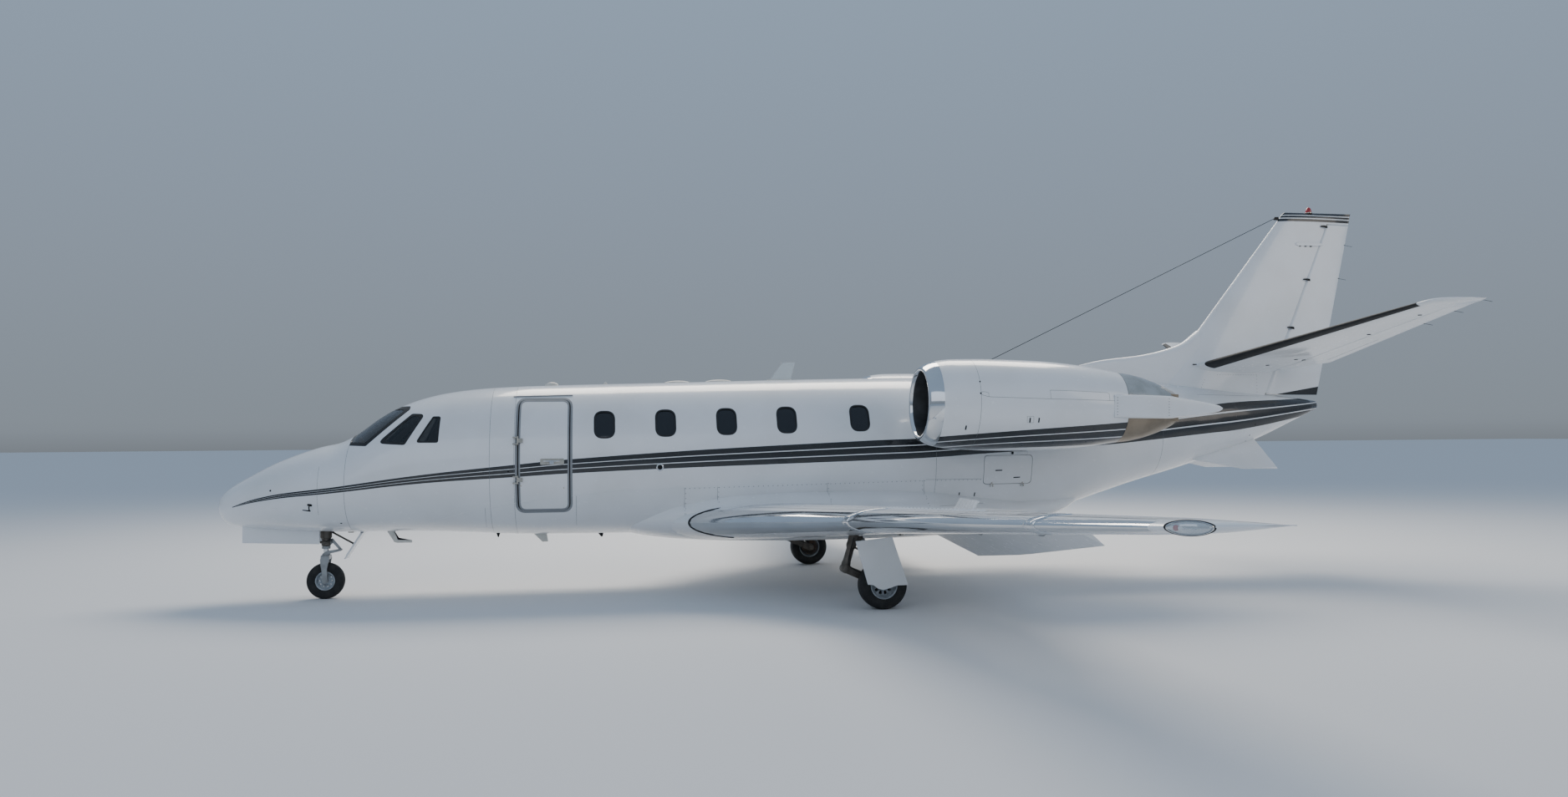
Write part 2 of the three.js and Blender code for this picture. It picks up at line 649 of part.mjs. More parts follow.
// Tailplane and elevators.
const elevatorHinge = 0.66;
const elevatorInner = 170;
const elevatorOuter = 2960;
// The elevator's inner corner, seen from above, is cut back so that the rudder can swing past it.
const elevatorNotch = [[14300, 0], [14300, 168], [14560, 168], [15400, 460], [15400, 0]];
const rudderSweep = rod(hingeLine.foot, hingeLine.head, 122, 62, 12);
const finClear = loft(finRows.map((row) => {
  const wide = { ...row, le: row.le - gap, thick: row.thick + 2 * gap };
  return finRing(wide, wholeSection(wide));
}));
for (const [name, side] of sides) {
  const whole = loft(tailRows.map((row) => spanRing(row, wholeSection(row), side)));
  const pocket = loft([0, elevatorOuter + runningGap].map((y) => {
    const row = rowAt(tailRows, 'y', y);
    const x = row.le + coveStop(row, elevatorHinge) * (row.te - row.le);
    return [[x, -300], [x, 300], [x + 1500, 300], [x + 1500, -300]].map(([px, pz]) =>
      new THREE.Vector3(px, y * side, row.z + pz));
  }));
  const innerEnd = rowAt(tailRows, 'y', elevatorInner);
  const outerEnd = rowAt(tailRows, 'y', elevatorOuter);
  const hingeStart = [hingePlace(innerEnd, elevatorHinge), innerEnd.y * side, innerEnd.z];
  const hingeEnd = [hingePlace(outerEnd, elevatorHinge), outerEnd.y * side, outerEnd.z];
  noteHinge(`${name}_elevator`, side > 0 ? hingeStart : hingeEnd, side > 0 ? hingeEnd : hingeStart);
  const outerPin = pinPair(hingeStart, hingeEnd, 1.0015, 60, -60, 12);
  const innerPin = pinPair(hingeStart, hingeEnd, -0.002, 26, 50, 14);
  const armRow = rowAt(tailRows, 'y', elevatorInner - 20);
  const armX = hingePlace(armRow, elevatorHinge);
  const arm = block(armX - hingeRadius(armRow, elevatorHinge) - 40, armX + 4,
    Math.min(side * 138, side * 162), Math.max(side * 138, side * 162), armRow.z - 14, armRow.z + 14);
  const fixed = join([whole.subtract(pocket), outerPin.fixed, innerPin.fixed, arm]);
  addPart(`${name}_tailplane`, fixed.subtract(finClear).subtract(rudderSweep), 'white');
  const blank = loft([innerEnd, outerEnd].map((row) => spanRing(row, rearSection(row, elevatorHinge), side)));
  const slant = elevatorNotch.map(([x, y]) => new THREE.Vector2(x, y * side));
  const notch = new THREE.ExtrudeGeometry(new THREE.Shape(slant), { depth: 1200, bevelEnabled: false });
  notch.translate(0, 0, 2400);
  const elevator = join([blank.subtract(toSolid(notch)), outerPin.moving, innerPin.moving]);
  addPart(`${name}_elevator`, elevator, 'white');
}
addPart('fin', fin, 'white');
addPart('baggage_section', tail.intersect(slice(cabinEnd, bagSectionEnd)), 'white');
addPart('tail_fuselage', tail.intersect(slice(bagSectionEnd + gap, 15200)), 'white');

// Belly fairing.
addPart('belly_fairing', bellyBody(0).subtract(skinClear), 'white');

// Wings with ailerons and flaps.
const aileron = { y0: 5400, y1: 8060, hinge: 0.76 };
const flap = {
  y0: 1240, y1: 5330, front0: 8640, front1: 8790, drop: THREE.MathUtils.degToRad(35), hang: 70, set: 30,
  brackets: [0.1, 0.5, 0.88],
};
const bellyClear = bellyBody(gap);
function wingAt(y) {
  return rowAt(wingRows, 'y', y);
}
for (const [name, side] of sides) {
  const wholeWing = loft(wingRows.map((row) => spanRing(row, wholeSection(row), side)));
  const pocket = (y0, y1, frontAt) => loft([y0, y1].map((y) => {
    const row = wingAt(y);
    const x = frontAt(row);
    return [[x, -400], [x, 400], [row.te + 600, 400], [row.te + 600, -400]]
      .map(([px, pz]) => new THREE.Vector3(px, y * side, row.z + pz));
  }));
  const aileronFront = (row) => row.le + coveStop(row, aileron.hinge) * (row.te - row.le);
  const aileronCut = pocket(aileron.y0, aileron.y1, aileronFront);
  const flapCut = pocket(flap.y0, flap.y1, (row) => (row.y < 3000 ? flap.front0 : flap.front1));
  const aStart = wingAt(aileron.y0 + runningGap);
  const aEnd = wingAt(aileron.y1 - runningGap);
  const aHinge = [aStart, aEnd].map((row) => [hingePlace(row, aileron.hinge), row.y * side, row.z]);
  noteHinge(`${name}_aileron`, aHinge[side > 0 ? 0 : 1], aHinge[side > 0 ? 1 : 0]);
  const inPin = pinPair(...aHinge, -0.0015, 60, 60, 10);
  const outPin = pinPair(...aHinge, 1.0015, 60, -60, 9);
  const aileronRings = [aStart, aEnd].map((row) => spanRing(row, rearSection(row, aileron.hinge), side));
  addPart(`${name}_aileron`, join([loft(aileronRings), inPin.moving, outPin.moving]), 'white');

  // The flap hangs on three brackets and is built lowered.
  const flapRow = (y) => {
    const row = wingAt(y);
    const front = flap.front0 + (flap.front1 - flap.front0) * ((y - flap.y0) / (flap.y1 - flap.y0));
    const half = (x) => halfThickness((x - row.le) / (row.te - row.le)) * row.thick;
    return { ...row, front, half };
  };
  const fRows = [flap.y0 + 10, 2900, flap.y1 - 10].map(flapRow);
  const pivotOf = (row) => {
    return new THREE.Vector3(row.front + flap.set, row.y * side, row.z - row.half(row.front) - flap.hang);
  };
  const pivots = [pivotOf(fRows[0]), pivotOf(fRows[2])];
  const axis = pivots[1].clone().sub(pivots[0]).normalize();
  noteHinge(`${name}_flap`, pivots[side > 0 ? 0 : 1].toArray(), pivots[side > 0 ? 1 : 0].toArray());
  const lower = new THREE.Matrix4().makeTranslation(pivots[0])
    .multiply(new THREE.Matrix4().makeRotationAxis(axis, flap.drop * side))
    .multiply(new THREE.Matrix4().makeTranslation(pivots[0].clone().negate()));
  const flapRings = fRows.map((row) => {
    const x = row.front + flap.set;
    const t = row.half(x + 40);
    return [[x, -t * 0.5], [x, t * 0.3], [x + 45, t * 0.86], [row.te, edge], [row.te, -edge], [x + 30, -t]]
      .map(([px, pz]) => new THREE.Vector3(px, row.y * side, row.z + pz).applyMatrix4(lower));
  });
  const movingBits = [loft(flapRings)];
  const fixedBits = [];
  for (const t of flap.brackets) {
    const at = pivots[0].clone().lerp(pivots[1], t);
    const along = (d) => at.clone().addScaledVector(axis, d).toArray();
    const row = flapRow(Math.abs(at.y));
    const under = row.z - row.half(row.front);
    fixedBits.push(rod(along(gap / 2), along(22), 26, 26));
    const bracket = [[row.front - 230, under + 50], [row.front - 8, under + 50], [row.front - 8, under - 14],
      [at.x + 14, at.z + 16], [at.x + 4, at.z - 22], [row.front - 190, under - 24]];
    fixedBits.push(plateAlong(at, axis, 4, 18, bracket));
    movingBits.push(rod(along(-gap / 2), along(-22), 26, 26));
    const armTop = under + 40;
    const arm = [[at.x - 14, at.z], [at.x + 16, at.z], [row.front + 190, armTop], [row.front + 70, armTop]];
    const turned = arm.map(([x, z]) => {
      const p = new THREE.Vector3(x, at.y, z).applyMatrix4(lower);
      return [p.x, p.z];
    });
    movingBits.push(plateAlong(at, axis, -18, -4, turned));
  }
  addPart(`${name}_flap`, join(movingBits), 'white');
  const padAt = (z) => [jackPad.x, jackPad.y * side, z];
  const pad = rod(padAt(wingAt(jackPad.y).z), padAt(jackPad.z), jackPad.radius, jackPad.radius, 12);
  const legAt = (x, z) => [x, mainLeg.y * side, z];
  const legHead = legAt(mainLeg.headX, mainLeg.head);
  const legSeat = rod(legAt(mainLeg.x, mainLeg.foot), legHead, mainLeg.radius + gap);
  const cutWing = wholeWing.subtract(aileronCut).subtract(flapCut);
  const wing = join([cutWing, pad, inPin.fixed, outPin.fixed, ...fixedBits])
    .subtract(skinClear).subtract(bellyClear).subtract(legSeat);
  addPart(`${name}_wing`, wing, 'white');
}

// Undercarriage: the nose gear.
const wheelSides = 22;
function tyreSolid(wheel, side, rim) {
  const [w, r] = [wheel.width / 2, wheel.radius];
  const shoulder = r - w * 0.42;
  const profile = [[rim, -w * 0.62], [rim + 12, -w * 0.86], [shoulder - 20, -w], [r - 12, -w * 0.68],
    [r, -w * 0.3], [r, w * 0.3], [r - 12, w * 0.68], [shoulder - 20, w], [rim + 12, w * 0.86],
    [rim, w * 0.62], [rim, -w * 0.62]];
  return wheelSolid(profile, wheel, side, wheelSides);
}

function rimSolid(wheel, side, rim, hub) {
  const w = wheel.width / 2;
  const profile = [[0, -hub], [55, -hub], [60, -w * 0.35], [rim - 30, -w * 0.3], [rim - gap, -w * 0.56],
    [rim - gap, w * 0.56], [rim - 30, w * 0.3], [60, w * 0.35], [55, hub], [0, hub]];
  return wheelSolid(profile, wheel, side, wheelSides);
}

noteHinge('nose_steering', [noseWheel.x, 0, 0], [noseWheel.x, 0, 500]);
noteHinge('nose_wheel', [noseWheel.x, 0, noseWheel.z], [noseWheel.x, 100, noseWheel.z]);
const noseRim = 112;
addPart('nose_tyre', tyreSolid(noseWheel, 1, noseRim), 'rubber');
addPart('nose_rim', rimSolid(noseWheel, 1, noseRim, 40), 'metal');
const fork = { crown: 500, top: 545, reach: 68, thick: 18, hub: 40 };
const noseLeg = { x: noseWheel.x, foot: 668, head: well.top, radius: 46 };
const forkSides = [-1, 1].flatMap((side) => {
  const y0 = Math.min(side * fork.reach, side * (fork.reach + fork.thick));
  const y1 = Math.max(side * fork.reach, side * (fork.reach + fork.thick));
  const axleAt = (y) => [noseWheel.x, side * y, noseWheel.z];
  return [
    block(noseWheel.x - 34, noseWheel.x + 34, y0, y1, noseWheel.z - 34, fork.top),
    rod(axleAt(fork.hub + gap), axleAt(fork.reach + 4), 24),
  ];
});
const linkOutlines = [
  [[20, 640], [150, 588], [158, 606], [20, 664]],
  [[20, 505], [160, 582], [158, 606], [20, 535]],
];
const links = linkOutlines.map((outline) => {
  return sidePlate(outline.map(([x, z]) => [noseLeg.x + x, z]), -26, 26);
});
const crownHalf = fork.reach + fork.thick;
const noseFork = join([
  block(noseWheel.x - 46, noseWheel.x + 46, -crownHalf, crownHalf, fork.crown, fork.top),
  rod([noseLeg.x, 0, fork.top - 6], [noseLeg.x, 0, noseLeg.foot - gap], 33),
  rod([noseLeg.x, 0, 630], [noseLeg.x, 0, 664], 52),
  ...links, ...forkSides,
]);
addPart('nose_fork', noseFork, 'metal');
addPart('nose_gear_leg', join([
  rod([noseLeg.x, 0, noseLeg.foot], [noseLeg.x, 0, noseLeg.head - gap], noseLeg.radius),
  rod([noseLeg.x, -well.half + gap, 1010], [noseLeg.x, well.half - gap, 1010], 30),
  rod([noseLeg.x, 0, 860], [noseLeg.x - 420, 0, well.top - 30], 24),
]), 'metal');
const noseDoor = { outline: [[310, 735], [1215, 700], [1215, 960], [310, 980]], thick: 12 };
for (const [name, side] of sides) {
  const ys = [side * (well.half - gap - noseDoor.thick), side * (well.half - gap)];
  addPart(`nose_gear_door_${name}`, sidePlate(noseDoor.outline, Math.min(...ys), Math.max(...ys)), 'white');
}
const bladeDoor = { outline: [[1500, 508], [1514, 500], [1730, 838], [1700, 838]], half: 110 };
addPart('nose_gear_door_aft', sidePlate(bladeDoor.outline, -bladeDoor.half, bladeDoor.half)
  .add(block(1690, 1738, -bladeDoor.half, bladeDoor.half, 826, 868)).subtract(skinClear), 'white');

// Undercarriage: the main gear.
const mainRim = 150;
const mainHub = 62;
const mainDoor = {
  y: 2406,
  thick: 16,
  outline: [[7560, 800], [7995, 838], [8178, 284], [8047, 283], [7963, 256], [7883, 234], [7814, 256],
    [7765, 294], [7700, 302]],
  links: [[7614, 700], [7640, 770]],
};
for (const [name, side] of sides) {
  const y = mainLeg.y * side;
  const axle = (across) => [mainWheel.x, across, mainWheel.z];
  noteHinge(`${name}_main_wheel`, axle(mainWheel.y * side), axle(mainWheel.y * side + 100));
  addPart(`${name}_main_tyre`, tyreSolid(mainWheel, side, mainRim), 'rubber');
  addPart(`${name}_main_rim`, rimSolid(mainWheel, side, mainRim, mainHub), 'metal');
  const leg = join([
    rod([mainLeg.x, y, mainLeg.foot], [mainLeg.headX, y, mainLeg.head - gap], mainLeg.radius),
    rod([mainLeg.x, y - 70, mainLeg.foot], [mainLeg.x, y + 70, mainLeg.foot], 52),
    rod([mainLeg.x, y, mainLeg.foot], axle(y), 50, 46),
    rod(axle(y - side * 60), axle(side * (mainWheel.y - mainHub - gap)), 44),
    rod([mainWheel.x - 90, y, 330], [mainLeg.headX + 60, y, 800], 36),
    rod([mainLeg.headX + 70, y, 800], [mainLeg.headX - 40, y, 790], 34),
    ...mainDoor.links.map(([x, z]) => rod([x, y, z], [x, side * (mainDoor.y - gap), z], 18)),
  ]);
  addPart(`${name}_main_gear_leg`, leg, 'metal');
  const ys = [side * mainDoor.y, side * (mainDoor.y + mainDoor.thick)];
  addPart(`${name}_main_gear_door`, sidePlate(mainDoor.outline, Math.min(...ys), Math.max(...ys)), 'white');
}

// Nacelles, engines, fans and thrust reversers, each built about its own axis.
const nacelleSides = 22;
const cowlOuter = [[0, 425], [20, 460], [120, 512], [400, 556], [900, 570], [1500, 564], [2100, 520],
  [2560, 452]];
const cowlInner = [[2560, 428], [2100, 494], [1500, 538], [1060, 544], [1010, 402], [700, 402], [250, 366],
  [40, 396], [0, 425]];
const cowlEnd = 2560;
const coreProfile = [[800.3, 0], [800.3, 60], [860, 60], [860, 401.7], [1000, 401.7], [1000, 340],
  [2000, 340], [2950, 285], [2950, 262], [2350, 250], [2350, 0]];
const spinnerProfile = [[540, 0], [560, 30], [640, 82], [700, 104], [800, 110], [800, 0]];
const pylonShape = { le: 8900, te: 10890, z: 2352, thick: 230, inner: 600, outer: 1400 };
const bucketRows = [
  { x: 2566, halfY: 449, halfZ: 449 },
  { x: 2740, halfY: 446, halfZ: 428 },
  { x: 2940, halfY: 433, halfZ: 382 },
  { x: 3140, halfY: 404, halfZ: 312 },
  { x: 3280, halfY: 368, halfZ: 245 },
];
const bucketWall = 36;
const bucketSides = 16;
const bucketEdge = 126;
const bucketPivot = { x: 3262, z: 46, radius: 16, holeGap: 0.5, sides: 16 };
const fairingRows = [
  { x: 2350, inner: 445, outer: 489, half: 150 },
  { x: 2570, inner: 458, outer: 496, half: 152 },
  { x: 3050, inner: 434, outer: 480, half: 148 },
  { x: 3290, inner: 398, outer: 452, half: 122 },
  { x: 3800, inner: 374, outer: 392, half: 42 },
  { x: 3850, inner: 378, outer: 388, half: 12 },
];

function bucketBody(shrinkBy) {
  return loft(bucketRows.map((row, i) => {
    const x = row.x + (i === 0 ? -shrinkBy : i === bucketRows.length - 1 ? shrinkBy : 0);
    const [halfY, halfZ] = [row.halfY - shrinkBy, row.halfZ - shrinkBy];
    const ring = [];
    for (let k = 0; k < bucketSides; k += 1) {
      const angle = (k / bucketSides) * Math.PI * 2;
      ring.push(new THREE.Vector3(x, Math.cos(angle) * halfY, Math.sin(angle) * halfZ));
    }
    return ring;
  }));
}

function fan() {
  const bits = [turnedAft(spinnerProfile, 16)];
  for (let k = 0; k < engine.fanBlades; k += 1) {
    const ring = (r, twist, chord) => {
      const [c, s] = [Math.cos(twist) * chord / 2, Math.sin(twist) * chord / 2];
      return [[c, s, 5], [c, s, -5], [-c, -s, -5], [-c, -s, 5]].map(([x, y, t]) => {
        return new THREE.Vector3(engine.fanMiddle + x - t * Math.sin(twist), y + t * Math.cos(twist), r);
      });
    };
    const blade = loft([ring(70, 0.45, 90), ring(engine.fanTip, 1.1, 92)]);
    bits.push(blade.rotate([(k / engine.fanBlades) * 360, 0, 0]));
  }
  return join(bits);
}

for (const [name, side] of sides) {
  const place = (solid) => solid.rotate([0, THREE.MathUtils.radToDeg(engine.tilt), 0])
    .translate([engine.x, engine.y * side, engine.z]);
  const pins = [];
  const lugs = { upper: [], lower: [] };
  for (const [half, up] of halves) {
    for (const out of [-1, 1]) {
      const { x, z, radius, holeGap, sides: pinSides } = bucketPivot;
      const pin = (grow) => {
        const ends = [[x, out * 300, z * up], [x, out * (412 + grow), z * up]];
        return rod(...ends, radius + grow, radius + grow, pinSides);
      };
      const ys = [out * 286, out * 328].sort((a, b) => a - b);
      const zs = [up * 24, up * 170].sort((a, b) => a - b);
      pins.push(pin(holeGap));
      lugs[half].push(pin(0), block(3180, 3284, ...ys, ...zs));
    }
  }
  const fairings = [-1, 1].map((out) => loft(fairingRows.map((row) => [
    [row.inner, row.half * 0.8], [row.outer, row.half * 0.55],
    [row.outer, -row.half * 0.55], [row.inner, -row.half * 0.8],
  ].map(([y, z]) => new THREE.Vector3(row.x, out * y, z)))));
  const cowl = turnedAft([...cowlOuter, ...cowlInner], nacelleSides);
  addPart(`${name}_nacelle`, place(join([cowl, ...fairings]).subtract(join(pins))), 'white');
  addPart(`${name}_engine`, place(turnedAft(coreProfile, nacelleSides)), 'engine');
  addPart(`${name}_fan`, place(fan()), 'metal');
  const shell = bucketBody(0).subtract(bucketBody(bucketWall));
  for (const [half, up] of halves) {
    const zs = [up * bucketEdge, up * 700];
    const kept = shell.intersect(block(2000, 4000, -600, 600, Math.min(...zs), Math.max(...zs)));
    addPart(`${name}_${half}_bucket`, place(kept.add(join(lugs[half]))), up > 0 ? 'white' : 'bare');
  }
  const clearOuter = cowlOuter.map(([x, r]) => [x, r + gap]);
  const cowlClear = turnedAft([[-gap, 0], [-gap, 425], ...clearOuter, [cowlEnd + gap, 0]], nacelleSides);
  const pylonRow = (y) => ({ ...pylonShape, y });
  const pylon = loft([pylonShape.inner, pylonShape.outer].map((y) => {
    return spanRing(pylonRow(y), wholeSection(pylonRow(y)), side);
  }));
  addPart(`${name}_pylon`, pylon.subtract(skinClear).subtract(place(cowlClear)), 'white');
  const inPlace = (x, z) => new THREE.Vector3(x, 0, z).applyAxisAngle(new THREE.Vector3(0, 1, 0), engine.tilt)
    .add(new THREE.Vector3(engine.x, engine.y * side, engine.z));
  for (const [half, up] of halves) {
    const at = inPlace(bucketPivot.x, bucketPivot.z * up);
    noteHinge(`${name}_${half}_bucket`, at.toArray(), at.clone().add(new THREE.Vector3(0, 1, 0)).toArray());
  }
  noteHinge(`${name}_fan`, inPlace(engine.fanFace, 0).toArray(), inPlace(engine.fanFace + 100, 0).toArray());
}

// Ventral strakes under the tail: a flat plate through four corners.
const strakeShape = {
  corners: [[12350, 60, 1760], [14020, 30, 2010], [14150, 520, 1500], [13640, 490, 1500]],
  thick: 26,
};
for (const [name, side] of sides) {
  const corners = strakeShape.corners.map(([x, y, z]) => new THREE.Vector3(x, y * side, z));
  const [along, down] = [corners[1], corners[3]].map((corner) => corner.clone().sub(corners[0]));
  const normal = along.cross(down).normalize();
  const faceAt = (d) => corners.map((p) => p.clone().addScaledVector(normal, d));
  const strake = loft([faceAt(-strakeShape.thick / 2), faceAt(strakeShape.thick / 2)]);
  addPart(`${name}_strake`, strake.subtract(skinClear), 'white');
}

// Where each moving piece turns, in the aircraft's own frame.
const origin = new THREE.Vector3(-length / 2, 0, 0);
const hingeData = { ...hinges };
for (const key of Object.keys(hingeData)) {
  hingeData[key] = { at: hingeData[key].at.clone().add(origin), along: hingeData[key].along };
}
jet.userData.hinges = hingeData;

export default jet;
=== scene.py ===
import json
import math
from bisect import bisect_right

import bmesh
import bpy
from mathutils import Matrix, Vector
from mathutils.bvhtree import BVHTree

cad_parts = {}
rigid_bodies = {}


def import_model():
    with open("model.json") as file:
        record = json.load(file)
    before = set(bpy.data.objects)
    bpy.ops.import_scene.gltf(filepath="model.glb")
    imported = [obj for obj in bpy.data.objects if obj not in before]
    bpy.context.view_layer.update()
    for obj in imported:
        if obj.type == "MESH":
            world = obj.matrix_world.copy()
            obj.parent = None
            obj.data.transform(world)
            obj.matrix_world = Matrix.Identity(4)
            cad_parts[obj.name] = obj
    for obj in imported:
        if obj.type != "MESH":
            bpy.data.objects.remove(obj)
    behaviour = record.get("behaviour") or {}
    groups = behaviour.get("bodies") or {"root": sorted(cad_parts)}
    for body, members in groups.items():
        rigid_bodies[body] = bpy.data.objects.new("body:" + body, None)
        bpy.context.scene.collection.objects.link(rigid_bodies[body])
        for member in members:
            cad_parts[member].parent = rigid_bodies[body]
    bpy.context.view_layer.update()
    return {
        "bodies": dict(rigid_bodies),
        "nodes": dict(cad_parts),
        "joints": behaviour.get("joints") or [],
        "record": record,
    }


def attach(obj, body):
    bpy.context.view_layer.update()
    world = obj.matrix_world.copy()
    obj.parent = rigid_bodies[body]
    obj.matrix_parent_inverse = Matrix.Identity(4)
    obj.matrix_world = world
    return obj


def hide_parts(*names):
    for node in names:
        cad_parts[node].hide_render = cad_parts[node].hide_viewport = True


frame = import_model()
print("frame loaded:", len(frame["nodes"]), "nodes")

# Stations run aft from the nose tip, sides to the right and heights up from the ground, all in millimetres.
overallLength = 15790
sideSigns = {"left": -1, "right": 1}


def spot(x, y, z):
    return Vector(((x - overallLength / 2) / 1000, y / 1000, z / 1000))


# Material tools

def hexColor(code):
    channels = [int(code[i:i + 2], 16) / 255 for i in (0, 2, 4)]
    linear = [c / 12.92 if c <= 0.04045 else ((c + 0.055) / 1.055) ** 2.4 for c in channels]
    return (*linear, 1.0)


def addNode(tree, kind, inputs=None, **settings):
    made = tree.nodes.new(kind)
    for key, value in settings.items():
        setattr(made, key, value)
    for key, value in (inputs or {}).items():
        if isinstance(value, bpy.types.NodeSocket):
            tree.links.new(value, made.inputs[key])
        else:
            made.inputs[key].default_value = value
    return made


def rescale(tree, value, start, end, low, high, **settings):
    given = {"Value": value, "From Min": start, "From Max": end, "To Min": low, "To Max": high}
    return addNode(tree, "ShaderNodeMapRange", given, **settings).outputs["Result"]


def calculate(tree, operation, *values):
    return addNode(tree, "ShaderNodeMath", dict(enumerate(values)), operation=operation).outputs[0]


def startMaterial(name, inputs):
    material = bpy.data.materials.new(name)
    material.use_nodes = True
    tree = material.node_tree
    tree.nodes.clear()
    shader = addNode(tree, "ShaderNodeBsdfPrincipled", inputs)
    addNode(tree, "ShaderNodeOutputMaterial", {"Surface": shader.outputs["BSDF"]})
    where = addNode(tree, "ShaderNodeTexCoord").outputs["Object"]
    return material, tree, shader, where


def addGrain(tree, shader, where, grain):
    # size is the grain in millimetres, depth its height; roughness swings by spread either way
    scaled = addNode(tree, "ShaderNodeMapping", {"Vector": where, "Scale": grain.get("stretch", (1, 1, 1))})
    noise = addNode(tree, "ShaderNodeTexNoise", {"Vector": scaled.outputs["Vector"],
                                                 "Scale": 1000 / grain["size"],
                                                 "Detail": 4.0, "Roughness": 0.55})
    middle, spread = grain["roughness"], grain["spread"]
    tree.links.new(rescale(tree, noise.outputs["Fac"], 0.3, 0.7, middle - spread, middle + spread),
                   shader.inputs["Roughness"])
    bump = addNode(tree, "ShaderNodeBump", {"Height": noise.outputs["Fac"], "Strength": grain["strength"],
                                            "Distance": grain["depth"] / 1000})
    tree.links.new(bump.outputs["Normal"], shader.inputs["Normal"])


def mixColors(tree, amount, first, second):
    mix = addNode(tree, "ShaderNodeMix", {"Factor": amount}, data_type="RGBA")
    for index, value in ((6, first), (7, second)):
        if isinstance(value, bpy.types.NodeSocket):
            tree.links.new(value, mix.inputs[index])
        else:
            mix.inputs[index].default_value = value
    return mix.outputs[2]


def soiled(tree, where, clean, worn, size, amount):
    # broad soft patches where the finish has dulled, size in millimetres
    noise = addNode(tree, "ShaderNodeTexNoise", {"Vector": where, "Scale": 1000 / size, "Detail": 5.0})
    return mixColors(tree, rescale(tree, noise.outputs["Fac"], 0.42, 0.72, 0.0, amount), clean, worn)


def plainMaterial(name, color, metallic, grain, worn=None, wornSize=400, wornShare=0.4, **extra):
    inputs = {"Base Color": hexColor(color), "Metallic": metallic}
    inputs.update(extra)
    material, tree, shader, where = startMaterial(name, inputs)
    addGrain(tree, shader, where, grain)
    if worn:
        tone = soiled(tree, where, hexColor(color), hexColor(worn), wornSize, wornShare)
        tree.links.new(tone, shader.inputs["Base Color"])
    return material


# Mesh tools

def meshObject(name, points, faces):
    mesh = bpy.data.meshes.new(name)
    mesh.from_pydata([tuple(p) for p in points], [], faces)
    mesh.update()
    for _ in range(4):  # empty slots, so that a cut keeps the numbers of painted faces
        mesh.materials.append(None)
    obj = bpy.data.objects.new(name, mesh)
    bpy.context.scene.collection.objects.link(obj)
    return obj


def faceOutwards(obj):
    solid = bmesh.new()
    solid.from_mesh(obj.data)
    bmesh.ops.remove_doubles(solid, verts=solid.verts, dist=1e-6)
    bmesh.ops.recalc_face_normals(solid, faces=solid.faces)
    solid.to_mesh(obj.data)
    solid.free()
    return obj


def loftRings(name, rings, wrap=False):
    # a skin through rings of equal count, closed by fans at both ends or joined end to end
    count = len(rings[0])
    points = [p for ring in rings for p in ring]
    faces = []
    pairs = list(zip(range(len(rings) - 1), range(1, len(rings))))
    if wrap:
        pairs.append((len(rings) - 1, 0))
    for a, b in pairs:
        for i in range(count):
            j = (i + 1) % count
            faces.append((a * count + i, a * count + j, b * count + j, b * count + i))
    if not wrap:
        for r in (0, len(rings) - 1):
            hub = len(points)
            points.append(sum(rings[r], Vector()) / count)
            faces += [(hub, r * count + i, r * count + (i + 1) % count) for i in range(count)]
    return faceOutwards(meshObject(name, points, faces))


def joinObjects(name, objects):
    points, faces, indices = [], [], []
    for obj in objects:
        start = len(points)
        points += [v.co.copy() for v in obj.data.vertices]
        faces += [tuple(start + v for v in p.vertices) for p in obj.data.polygons]
        indices += [p.material_index for p in obj.data.polygons]
        bpy.data.objects.remove(obj)
    joined = meshObject(name, points, faces)
    joined.data.polygons.foreach_set("material_index", indices)
    return joined


def bakeModifiers(obj):
    mesh = bpy.data.meshes.new_from_object(obj.evaluated_get(bpy.context.evaluated_depsgraph_get()))
    obj.modifiers.clear()
    obj.data = mesh
    return obj


def carve(obj, cutter, operation="DIFFERENCE"):
    cut = obj.modifiers.new("cut", "BOOLEAN")
    cut.operation = operation
    cut.solver = "EXACT"
    cut.object = cutter
    bakeModifiers(obj)
    bpy.data.objects.remove(cutter)
    return obj


def paintFaces(obj, index, chosen):
    for face in obj.data.polygons:
        if chosen(face):
            face.material_index = index
    return obj


def surfaceTree(obj):
    mesh = obj.data
    return {"tree": BVHTree.FromPolygons([v.co for v in mesh.vertices],
                                         [tuple(p.vertices) for p in mesh.polygons]),
            "normals": [v.normal.copy() for v in mesh.vertices],
            "points": [v.co.copy() for v in mesh.vertices],
            "faces": [tuple(p.vertices) for p in mesh.polygons]}


def keepNormals(obj, source, reach=0.0006):
    # a cut surface keeps the shading of the smooth one that it was cut from
    mesh = obj.data
    found = []
    for vertex in mesh.vertices:
        at, _, index, _ = source["tree"].find_nearest(vertex.co, reach)
        if at is None:
            found.append(None)
            continue
        normal = Vector()
        for corner in source["faces"][index]:
            weight = 1 / ((source["points"][corner] - vertex.co).length_squared + 1e-9)
            normal += source["normals"][corner] * weight
        found.append(normal.normalized())
    loops = [Vector()] * len(mesh.loops)
    for face in mesh.polygons:
        for loop in face.loop_indices:
            normal = found[mesh.loops[loop].vertex_index]
            if normal and normal.dot(face.normal) > 0.8:
                loops[loop] = normal
    mesh.normals_split_custom_set([tuple(n) for n in loops])


def finishPiece(obj, body, materials, replaced=(), sharp=32, source=None):
    painted = [min(face.material_index, len(materials) - 1) for face in obj.data.polygons]
    obj.data.materials.clear()
    for material in materials:
        obj.data.materials.append(material)
    obj.data.polygons.foreach_set("material_index", painted)
    obj.data.shade_smooth()
    obj.data.set_sharp_from_angle(angle=math.radians(sharp))
    if source:
        keepNormals(obj, source)
    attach(obj, body)
    if replaced:
        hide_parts(*replaced)
    return obj


